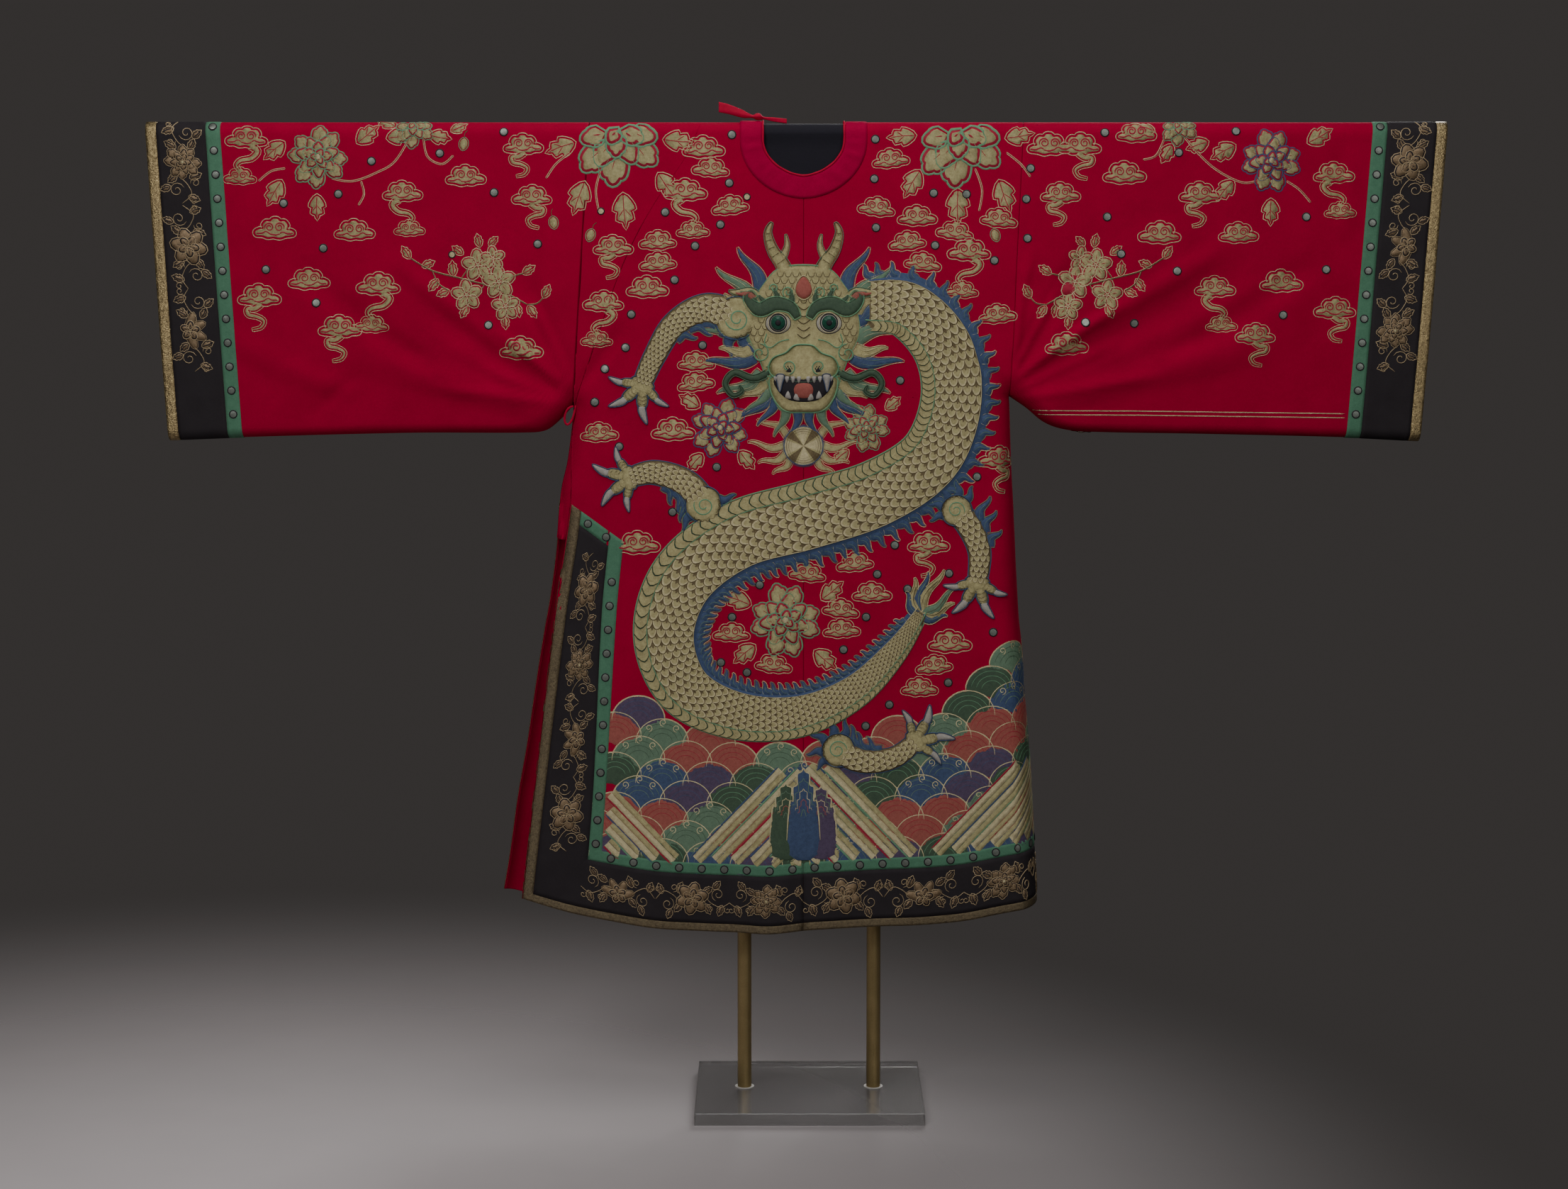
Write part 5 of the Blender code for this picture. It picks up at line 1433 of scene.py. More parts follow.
def edge_distance(places: Array, outline: Array) -> tuple[Array, Array]:
    """How far places lie from an outline, and whether they lie inside it.

    Args:
        places: places, one row each.
        outline: the closed outline.

    Returns:
        Distances, and whether each place is inside.
    """
    a, b = outline[None], np.roll(outline, -1, 0)[None]
    p, run = places[:, None], b - a
    t = np.clip(((p - a) * run).sum(2) / np.maximum((run * run).sum(2), 1e-12), 0, 1)
    far = np.linalg.norm(p - a - run * t[..., None], axis=2).min(1)
    crosses = (a[..., 1] > p[..., 1]) != (b[..., 1] > p[..., 1])
    rise = np.where(run[..., 1] == 0, 1e-12, run[..., 1])
    at = a[..., 0] + (p[..., 1] - a[..., 1]) / rise * run[..., 0]
    return far, (crosses & (p[..., 0] < at)).sum(1) % 2 == 1


class Stamp:
    """A stitched figure drawn flat: its places, heights and faces, each face with a thread.

    Where it lies on a padded form, ground gives that form's height by place.
    """

    def __init__(self, ground: Callable[[Array], Array] | None = None) -> None:
        """Start with nothing stitched.

        Args:
            ground: height of the padded form by place, where there is one.
        """
        self.ground = ground
        self.points: list[Array] = []
        self.faces: list[tuple[int, ...]] = []
        self.threads: list[Finish] = []
        self.count = 0

    def raw(self, points: Array, faces: Iterable[Sequence[int]],
            threads: Finish | Sequence[Finish]) -> "Stamp":
        """Add points (across, up, height) and the faces between them.

        Args:
            points: the points, one row each.
            faces: corner numbers of each face.
            threads: the thread of all the faces, or one for each.

        Returns:
            The stamp itself.
        """
        self.faces += [tuple(int(k) + self.count for k in face) for face in faces]
        self.threads += ([threads] * len(faces) if isinstance(threads, Finish) else threads)
        self.points.append(np.asarray(points, float))
        self.count += len(points)
        return self

    def raised(self, places: Array, height: Array) -> Array:
        """Places with a height in metres over what the figure lies on.

        Args:
            places: places, one row each.
            height: their heights over what lies below.

        Returns:
            Points, one row each.
        """
        if self.ground:
            height = height + self.ground(places)
        return np.column_stack([places, height])

    def pad(self, outline: Array, thread: Finish, high: float = 1.2, base: float = 0.0,
            round_off: float = 3.0, grid: float = 7.0) -> "Stamp":
        """Fill an outline with a raised, round-edged pad; sizes in millimetres.

        Args:
            outline: its closed outline, in metres.
            thread: the thread that covers it.
            high: its height.
            base: height of its edge.
            round_off: width of its rounded edge.
            grid: pitch of its inner points.

        Returns:
            The stamp itself.
        """
        if signed_area(outline) < 0:
            outline = outline[::-1]
        low, top = outline.min(0), outline.max(0)
        pitch = grid * MM
        xs = np.arange(low[0] + pitch / 2, top[0], pitch)
        zs = np.arange(low[1] + pitch / 2, top[1], pitch * 0.87)
        inner = np.array([(x + (j % 2) * pitch / 2, z) for j, z in enumerate(zs) for x in xs])
        ring = grown(outline, -round_off * 0.00033)
        places = [outline]
        for group, least in ((ring, round_off * 0.00028), (inner, pitch * 0.42)):
            if len(group):
                far, inside = edge_distance(group, outline)
                places.append(group[inside & (far > least)])
        count = len(outline)
        corners, _, faces, _, _, _ = geometry.delaunay_2d_cdt(
            [Vector(p) for p in np.vstack(places).tolist()],
            [(k, (k + 1) % count) for k in range(count)], [], 1, 1e-7)
        corners = np.array([tuple(p) for p in corners])
        far, _ = edge_distance(corners, outline)
        share = np.clip(far / (round_off * MM), 0, 1)
        height = base * MM + high * MM * np.sqrt(1 - (1 - share) ** 2)
        height[far < 1e-6] -= 0.0004
        return self.raw(self.raised(corners, height), faces, thread)

    def cord(self, line: Array, thread: Finish, width: float = 1.5, high: float = 1.1,
             base: float = 0.0, closed: bool = False) -> "Stamp":
        """Lay a cord along a line, thinned at its ends; sizes in millimetres.

        Args:
            line: points in metres.
            thread: the cord's thread.
            width: its full width.
            high: its height.
            base: height of what it lies on.
            closed: whether it joins its own start.

        Returns:
            The stamp itself.
        """
        _, left = ways(line, closed)
        half = np.full((len(line), 1), width * MM / 2)
        if not closed:
            half[[0, -1]] *= 0.35
        rows = [self.raised(line + left * half * side, np.full(len(line), height * MM))
                for side, height in ((-1, base - 0.25), (0, base + high), (1, base - 0.25))]
        return self.raw(np.vstack(rows), quads(2, len(line), closed), thread)

    def edged(self, outline: Array, fill: Finish, edge: Finish, gap: float = 1.5,
              width: float = 1.5, high: float = 1.2, base: float = 0.0, grid: float = 8.0,
              round_off: float = 3.0, under: Finish | None = None) -> "Stamp":
        """Fill an outline and lay a cord round it past a narrow gap; sizes in millimetres.

        Args:
            outline: the filled part's closed outline, in metres.
            fill: its thread.
            edge: the cord's thread.
            gap: how far out the cord's middle runs.
            width: the cord's width.
            high: the fill's height.
            base: height of what it lies on.
            grid: pitch of the fill's inner points.
            round_off: width of the fill's rounded edge.
            under: thread of the ground in the gap, where something else lies beneath.

        Returns:
            The stamp itself.
        """
        rim = grown(outline, gap * MM)
        if under:
            self.pad(rim, under, 0.3, base, 1.0, 40.0)
            base += 0.25
        self.pad(outline, fill, high, base, round_off, grid)
        return self.cord(rim, edge, width, high * 0.8, base, closed=True)

    def stamp(self, other: "Stamp", x: float = 0.0, z: float = 0.0, angle: float = 0.0,
              scale: float = 1.0, mirror: bool = False, lift: float = 0.0,
              grounded: bool = False) -> "Stamp":
        """Repeat another stamp here.

        Args:
            other: what is repeated.
            x: its place across, in metres.
            z: its place up, in metres.
            angle: how far it is turned, in degrees.
            scale: its size.
            mirror: whether it is turned over first.
            lift: how far it is raised, in millimetres.
            grounded: whether it is raised onto this stamp's ground.

        Returns:
            The stamp itself.
        """
        points = np.vstack(other.points).copy()
        if mirror:
            points[:, 0] *= -1
        a = math.radians(angle)
        turned_x = points[:, 0] * math.cos(a) - points[:, 1] * math.sin(a)
        turned_z = points[:, 0] * math.sin(a) + points[:, 1] * math.cos(a)
        places = np.column_stack([x + scale * turned_x, z + scale * turned_z])
        height = points[:, 2] + lift * MM
        points = self.raised(places, height) if grounded else np.column_stack([places, height])
        faces = [face[::-1] for face in other.faces] if mirror else other.faces
        return self.raw(points, faces, other.threads)

    def spoke(self, other: "Stamp", angle: float, out: float, **how: float) -> "Stamp":
        """Repeat a stamp a distance out in metres, turned so that it points away."""
        a = math.radians(angle)
        return self.stamp(other, -out * math.sin(a), out * math.cos(a), angle, **how)


@dataclass
class Needlework:
    """Stitched figures gathered into one piece and laid over the hanging cloth."""

    drape: Drape
    name: str
    slot: str = "couched_gold"
    laid: Stamp = field(default_factory=Stamp)

    def place(self, stamp: Stamp, x: float = 0.0, z: float = 0.0, angle: float = 0.0,
              scale: float = 1.0, mirror: bool = False, face: int = FRONT,
              lift: float = 0.0,
              bend: Callable[[Array], Array] | None = None) -> "Needlework":
        """Lay a stamp on the cloth.

        Args:
            stamp: what is laid.
            x: its place across.
            z: its height on the robe.
            angle: how far it is turned, in degrees.
            scale: its size.
            mirror: whether it is turned over.
            face: front or back.
            lift: height of what it lies on, in millimetres.
            bend: takes the stamp's flat places to cloth coordinates u and z.

        Returns:
            The needlework itself.
        """
        local = Stamp().stamp(stamp, 0, 0, angle, scale, mirror, lift)
        points = local.points[0]
        flat = bend(points[:, :2]) if bend else points[:, :2] + (x, z)
        s = (ARC + BAR_Z - flat[:, 1]) * -face
        self.laid.raw(np.column_stack([flat[:, 0], s, points[:, 2]]), local.faces,
                      local.threads)
        return self

    def make(self) -> bpy.types.Object:
        """Make the piece, raised off the robe's outer face.

        Returns:
            The new object.
        """
        flat, threads = np.vstack(self.laid.points), self.laid.threads
        points, normals = self.drape.skin(flat[:, 0], flat[:, 1])
        number = {finish: k for k, finish in enumerate(dict.fromkeys(threads))}
        return make_object(self.name, points + normals * flat[:, 2:], self.laid.faces,
                           list(number), [number[thread] for thread in threads])


# ---------------------------------------------------------------- small motifs

class CloudForm(Enum):
    """How a cloud ends: plain, with a ribbon, tied to a smaller cloud or among smaller ones."""

    PLAIN = "plain"
    TAIL = "tail"
    PAIR = "pair"
    CLUSTER = "cluster"


@dataclass(frozen=True)
class CloudMaker:
    """Clouds of three curled lobes, outlined in cord past a gap of the ground."""

    fill: Finish = GOLD
    edge: Finish = PALE_GOLD
    line: Finish = THREAD_RED

    def head(self, under: Finish | None = None) -> Stamp:
        """The curled head, 66 mm wide.

        Args:
            under: what shows round it; nothing where left out.

        Returns:
            The stamp.
        """
        outline = shape((-31, -9), (-32, -4), (-26, -1), (-20, 0), (-22, 7), (-17, 14), (-9, 14),
                        (-5, 18), (3, 18), (7, 14), (15, 14), (20, 8), (19, 2), (26, 1),
                        (33, -3), (31, -9), (20, -10), (12, -13), (2, -12), (-8, -14),
                        (-18, -11))
        drawn = Stamp().edged(outline, self.fill, self.edge, 3.9, 1.8, 1.2, under=under)
        for line in (spiral(-8, 4, 8.5, 2.2, 200, -1.55, 20),
                     spiral(9, 4, 8.0, 2.2, -20, 1.55, 20),
                     path((-31, -6), (-22, -7), (-14, -4), (-9, -6), per=4),
                     path((31, -6), (22, -6), (15, -3), (9, -6), per=4),
                     path((-9, -7), (-2, -9), (5, -8), (10, -6), per=3)):
            drawn.cord(line, self.line, 2.6, 0.35, 1.3 if not under else 1.55)
        return drawn

    def ribbon(self, line: Array) -> Stamp:
        """A trailing ribbon that thins to its end, with a cord round it.

        Args:
            line: the points of its middle line.

        Returns:
            The stamp.
        """
        t = np.linspace(0, 1, len(line))
        halves = 0.0040 * (1 - t) ** 0.7
        drawn = Stamp().pad(widened(line, halves + 0.0006), self.fill, 1.0, grid=9, round_off=2)
        return drawn.cord(widened(line, halves + 0.0034), self.edge, 1.6, 0.9)

    def make(self, form: CloudForm) -> Stamp:
        """A whole cloud of one form.

        Args:
            form: how it ends.

        Returns:
            The stamp, its head at the origin.
        """
        drawn = Stamp().stamp(self.head())
        tail = path((4, -13), (-8, -22), (-22, -24), (-20, -34), (-4, -38), (8, -46), (2, -58),
                    (-14, -62), per=5)
        if form is CloudForm.TAIL:
            drawn.stamp(self.ribbon(tail), scale=0.9)
        elif form is CloudForm.PAIR:
            link = path((-6, -12), (-18, -22), (-8, -34), (10, -38), (18, -46), (12, -54), per=5)
            drawn.stamp(self.ribbon(link)).stamp(self.head(), 0.012, -0.066, scale=0.78)
        elif form is CloudForm.CLUSTER:
            for x, z, scale in ((-0.034, 0.010, 0.8), (0.035, 0.011, 0.8), (0.0, 0.026, 0.85)):
                drawn.stamp(self.head(THREAD_RED), x, z, scale=scale, lift=0.3)
        return drawn


@dataclass(frozen=True)
class FlowerMaker:
    """Peonies, blossoms, buds and leaves in gold with coloured cord round each petal."""

    edge: Finish = JADE
    fill: Finish = GOLD
    gap: Finish = THREAD_RED

    def petal(self, long: float, wide: float, lobes: int = 3) -> Array:
        """Outline of a scalloped petal that grows up from the origin, in millimetres.

        Args:
            long: its length in millimetres.
            wide: its width in millimetres.
            lobes: how many scallops it has.

        Returns:
            The closed outline.
        """
        a = np.linspace(-1, 1, 6 * lobes + 1)
        reach = 1 + 0.16 * np.abs(np.cos(a * lobes * math.pi / 2)) - 0.20 * np.abs(a) ** 3
        x = wide / 2 * np.sin(a * math.pi / 2) * (0.70 + 0.30 * reach)
        z = long * (0.42 + 0.58 * np.cos(a * math.pi / 2)) * reach
        return np.column_stack([np.append(x, 0), np.append(z, 0)]) * MM

    def peony(self, half: bool = False) -> Stamp:
        """A full peony, 120 mm wide; half of one where it is cut by a seam.

        Args:
            half: whether the lower half is left away.

        Returns:
            The stamp.
        """
        drawn = Stamp()
        for count, long, wide, out, lift, start, lobes in (
                (8, 30, 27, 27, 0.0, 0, 3), (7, 24, 20, 15, 0.8, 25, 2),
                (5, 19, 16, 6, 1.6, 8, 3), (3, 12, 11, 1, 2.4, 30, 2)):
            petal = self.petal(long, wide, lobes)
            one = Stamp().edged(petal, self.fill, self.edge, 3.8, 2.7, 0.8, under=self.gap)
            one.cord(path((0, long * 0.26), (1.5, long * 0.62), per=3), self.gap, 2.0, 0.35,
                     0.95)
            for k in range(count):
                angle = start + 360 * k / count + 5 * math.sin(3 * k + count)
                if not half or not 84 < angle % 360 < 276:
                    drawn.spoke(one, -angle, out * MM, scale=1.0 + 0.08 * math.sin(5 * k + 1),
                                lift=lift + 0.3 * (k % 2))
        ring = circle(6, 0.9, per=2)
        return drawn if half else drawn.edged(ring, PALE_GOLD, self.edge, base=3.2, high=0.8)

    def leaf(self, long: float = 42, wide: float = 20, edge: Finish | None = None) -> Stamp:
        """A three-pointed leaf that grows up from the origin.

        Args:
            long: its length in millimetres.
            wide: its width in millimetres.
            edge: the cord round it; pale gold where left out.

        Returns:
            The stamp.
        """
        half = wide / 2
        outline = mirrored(*((x * half, z * long) for x, z in (
            (0, 0), (0.7, 0.22), (1, 0.45), (0.6, 0.50), (0.75, 0.74), (0.2, 0.8), (0, 1))),
            per=2)
        drawn = Stamp().edged(outline, self.fill, edge or PALE_GOLD, 3.1 if long > 30 else 2.2,
                              1.9, 1.0, round_off=2.5)
        drawn.cord(path((0, 2), (1, long * 0.5), (0, long * 0.9), per=3), self.gap, 2.0, 0.35,
                   1.05)
        if long > 38:
            for hand in (-1, 1):
                drawn.cord(path((0, long * 0.42), (hand * half * 0.60, long * 0.66), per=3),
                           self.gap, 1.8, 0.35, 1.05)
        return drawn

    def blossom(self, size: float = 17, count: int = 5, edge: Finish | None = None) -> Stamp:
        """A small open flower with a ring of round petals.

        Args:
            size: length of a petal in millimetres.
            count: how many petals it has.
            edge: the cord round it; pale gold where left out.

        Returns:
            The stamp.
        """
        petal = self.petal(size, size * 0.95, 1)
        one = Stamp().edged(grown(petal, -0.0012), self.fill, edge or PALE_GOLD, 2.7, 1.8, 0.8,
                            round_off=2.5, under=self.gap)
        one.cord(path((0, size * 0.3), (0, size * 0.72), per=2), self.gap, 1.6, 0.35, 1.0)
        drawn = Stamp()
        for k in range(count):
            drawn.spoke(one, 360 * k / count + 12, 0.0030, lift=0.3 * (k % 2))
        ring = circle(2.6, 1.2, per=1, end=6)
        return drawn.pad(ring, PALE_GOLD, 1.9, grid=9, round_off=2)

    def bud(self) -> Stamp:
        """A closed bud on a short stem.

        Returns:
            The stamp.
        """
        outline = mirrored((0, 0), (6, 5), (6, 14), (0, 20), per=3)
        drawn = Stamp().edged(outline, self.fill, self.edge, grid=9)
        return drawn.cord(path((0, 0), (1, -8), (-3, -14), per=3), DIM_GOLD, 1.4)

    def branch(self) -> Stamp:
        """A blossoming branch, 210 mm long.

        Returns:
            The stamp.
        """
        drawn = Stamp()
        stems = (((-110, 30), (-70, 12), (-20, 4), (40, -6), (96, -28)),
                 ((-20, 4), (-4, 34), (6, 62)), ((40, -6), (66, 16), (84, 24)),
                 ((-70, 12), (-58, -8), (-40, -18)), ((96, -28), (112, -24), (122, -12)),
                 ((20, -2), (8, -26), (-6, -36)), ((60, -14), (66, -34), (60, -50)))
        for places in stems:
            drawn.cord(path(*places, per=5), DIM_GOLD, 2.4, 1.3)
            drawn.cord(path(*places, per=5) + (0.0, 0.0013), PALE_GOLD, 1.0, 1.4)
        for x, z, size in ((6, 30, 21), (44, 6, 22), (-8, -22, 20), (60, -34, 18),
                           (30, 44, 15)):
            drawn.stamp(self.blossom(size), x * MM, z * MM, lift=0.4)
        for x, z, angle, long in ((-110, 30, 40, 22), (-86, 18, -60, 20), (-60, -2, 150, 22),
                                  (-40, -18, 120, 20), (-34, 8, 10, 24), (84, 24, -50, 22),
                                  (122, -12, -20, 22), (98, -30, -140, 22), (78, -30, 200, 20),
                                  (-6, -40, 160, 22), (6, 62, 20, 20), (22, 66, -40, 18),
                                  (-22, 46, 60, 20), (60, -52, 190, 20)):
            drawn.stamp(self.leaf(long, long * 0.52), x * MM, z * MM, angle)
        return drawn


@dataclass(frozen=True)
class DiscMaker:
    """Small round mirror discs in a ring of dark stitches."""

    radius: float = 6.0

    def make(self, bright: bool = False) -> Stamp:
        """One disc.

        Args:
            bright: whether it is a polished one.

        Returns:
            The stamp.
        """
        around = polar(np.arange(0, 360, 30))
        points = np.vstack([np.column_stack([around * r * MM, np.full(12, h * MM)])
                            for r, h in ((self.radius + 2.0, -0.4), (self.radius + 1.0, 1.4),
                                         (self.radius - 0.2, 1.1), (self.radius * 0.80, 1.25))]
                           + [[[0, 0, 0.00130]]])
        drawn, bands = Stamp(), quads(3, 12, True)
        drawn.raw(points, bands[:24], INK)
        drawn.raw(points, bands[24:] + [(36 + k, 36 + (k + 1) % 12, 48) for k in range(12)],
                  PALE_GOLD if bright else MIRROR)
        return drawn


# ---------------------------------------------------------------- where figures lie

GRID = 0.0012            # pitch of the grid on which the figures were set out
GRID_X, GRID_Z = 1123.5, 1.886


def on_grid(column: float, row: float) -> tuple[float, float]:
    """Place across and height of a point of the setting-out grid."""
    return (column - GRID_X) * GRID, GRID_Z - row * GRID


class Ground:
    """The room already taken on one face of the robe."""

    def __init__(self) -> None:
        """Start with all of it free."""
        self.taken: list[tuple[float, float, float]] = []

    def take(self, x: float, z: float, radius: float) -> None:
        """Take a round patch."""
        self.taken.append((x, z, radius))

    def free(self, x: float, z: float, radius: float) -> bool:
        """Whether a round patch is still clear."""
        return all(math.hypot(x - a, z - b) > radius + r for a, b, r in self.taken)


@dataclass(frozen=True)
class Lattice:
    """Staggered rows of places that are swayed a little from their even pitch."""

    start: tuple[float, float]
    pitch: tuple[float, float]
    rows: int
    columns: tuple[int, int]
    odd: float
    sway: tuple[float, float] = (0.0, 0.0)
    beats: tuple[int, int, int, int] = (1, 1, 1, 1)

    def places(self) -> Iterable[tuple[int, int, float, float]]:
        """The places, row after row.

        Returns:
            Row number, column number, place across and height of each.
        """
        a, b, c, d = self.beats
        for j in range(self.rows):
            for i in range(*self.columns):
                yield (j, i, self.start[0] + self.pitch[0] * i + self.odd * (j % 2)
                       + self.sway[0] * math.sin(a * i + b * j),
                       self.start[1] - self.pitch[1] * j + self.sway[1] * math.sin(c * i + d * j))


PLAIN, TAIL, PAIR, CLUSTER = CloudForm.PLAIN, CloudForm.TAIL, CloudForm.PAIR, CloudForm.CLUSTER
SLEEVE_CLOUDS = (
    (740, 200, TAIL, 1), (752, 272, TAIL, -1), (659, 244, PLAIN, 1), (570, 266, PAIR, 1),
    (502, 320, PLAIN, 1), (437, 389, PLAIN, 1), (352, 190, PAIR, -1), (390, 318, PLAIN, -1),
    (367, 412, TAIL, 1), (480, 456, TAIL, 1), (535, 396, PAIR, -1), (736, 486, PLAIN, 1),
    (1521, 200, TAIL, -1), (1584, 240, PLAIN, 1), (1494, 268, TAIL, 1), (1690, 268, TAIL, 1),
    (1634, 324, PLAIN, -1), (1745, 324, PLAIN, 1), (1713, 400, PAIR, 1), (1806, 392, PLAIN, 1),
    (1882, 430, TAIL, -1), (1770, 466, TAIL, -1), (1504, 480, PLAIN, 1), (1878, 240, PAIR, 1),
    (1478, 200, PLAIN, 1), (1600, 183, PLAIN, 1))
BODY_CLOUDS = (
    (993, 204, PLAIN, 1), (968, 264, PAIR, 1), (1237, 228, PLAIN, 1), (1293, 300, PLAIN, 1),
    (866, 342, TAIL, 1), (852, 420, PAIR, -1), (1366, 348, PAIR, -1), (1376, 470, PLAIN, 1),
    (914, 400, PLAIN, 1), (953, 330, PLAIN, -1), (1424, 412, PLAIN, 1), (1395, 545, PAIR, 1),
    (850, 560, TAIL, 1), (920, 500, PLAIN, 1), (862, 660, TAIL, -1), (950, 600, CLUSTER, 1),
    (1020, 560, PLAIN, 1), (1220, 560, PLAIN, -1), (1300, 560, TAIL, 1), (1410, 640, TAIL, -1),
    (1412, 735, PLAIN, 1), (1070, 690, PLAIN, 1), (1150, 860, PAIR, 1), (1080, 830, CLUSTER, 1),
    (1230, 830, PLAIN, 1), (1310, 760, TAIL, 1), (1400, 830, PAIR, -1), (980, 690, PLAIN, -1),
    (900, 760, PLAIN, 1), (1240, 760, PLAIN, 1), (905, 690, PLAIN, 1), (1420, 910, PLAIN, 1),
    (1340, 900, CLUSTER, 1), (1010, 760, PLAIN, 1), (1190, 930, PLAIN, 1), (1330, 680, PLAIN, 1))
SLEEVE_DISCS = (
    (429, 182), (357, 205), (527, 222), (403, 281), (623, 211), (713, 181), (699, 266),
    (458, 344), (760, 338), (377, 374), (447, 421), (548, 318), (612, 400), (690, 452),
    (480, 268), (620, 168), (1452, 232), (1556, 182), (1660, 210), (1740, 180), (1712, 296),
    (1840, 300), (1580, 352), (1659, 376), (1600, 450), (1530, 448), (1716, 447), (1869, 374),
    (1809, 438), (1448, 330), (1446, 275), (1560, 300))
BRIGHT_DISCS = ((639, 353), (849, 292), (1054, 272))
# Flowers: column, row, kind, turn and size
SLEEVE_FLOWERS = (
    (452, 216, "peony", 0, 0.80), (586, 168, "half", 180, 0.66), (1790, 221, "blue", 20, 0.80),
    (1660, 168, "half", 180, 0.60))
BODY_FLOWERS = (
    (872, 178, "half", 180, 1.42), (1352, 180, "half", 180, 1.42), (1108, 868, "peony", 20, 0.95),
    (1016, 596, "blue", -15, 0.78), (1222, 596, "peony", 30, 0.62))
LEAVES = (
    (404, 196, 130, 42), (508, 196, -50, 44), (400, 250, 150, 46), (450, 270, 180, 40),
    (550, 190, -80, 40), (610, 186, -100, 34), (640, 180, -60, 28), (560, 172, 60, 34),
    (1738, 200, 120, 44), (1842, 196, -60, 44), (1790, 276, 180, 42), (1736, 250, 140, 40),
    (1700, 195, 110, 36), (1650, 200, 150, 32), (1625, 180, 70, 30),
    (826, 252, 160, 56), (880, 268, 185, 58), (930, 240, 215, 48), (812, 196, 110, 50),
    (938, 192, -95, 50), (1296, 236, 150, 50), (1350, 262, 180, 58), (1408, 250, 200, 54),
    (1290, 186, 95, 46), (1418, 190, -80, 46), (1058, 846, 70, 46), (1150, 912, -130, 46),
    (1160, 838, -50, 44), (1064, 904, 130, 44), (986, 566, 60, 36), (1044, 630, -140, 36),
    (990, 634, 140, 34), (1250, 570, -50, 30), (1196, 628, 130, 30))

STEMS = (((470, 246), (500, 250), (534, 238), (560, 222), (584, 184)),
         ((512, 250), (516, 268), (508, 284)), ((406, 232), (386, 236), (368, 250)),
         ((600, 190), (606, 216), (626, 226), (642, 214)),
         ((1776, 248), (1750, 252), (1716, 236), (1690, 214), (1664, 184)),
         ((1812, 250), (1830, 262), (1846, 280)), ((1640, 190), (1628, 214), (1610, 220)),
         ((850, 230), (842, 262), (846, 292)), ((1374, 232), (1384, 262), (1380, 292)),
         ((806, 210), (786, 226), (772, 246)), ((1418, 210), (1438, 226), (1452, 244)))


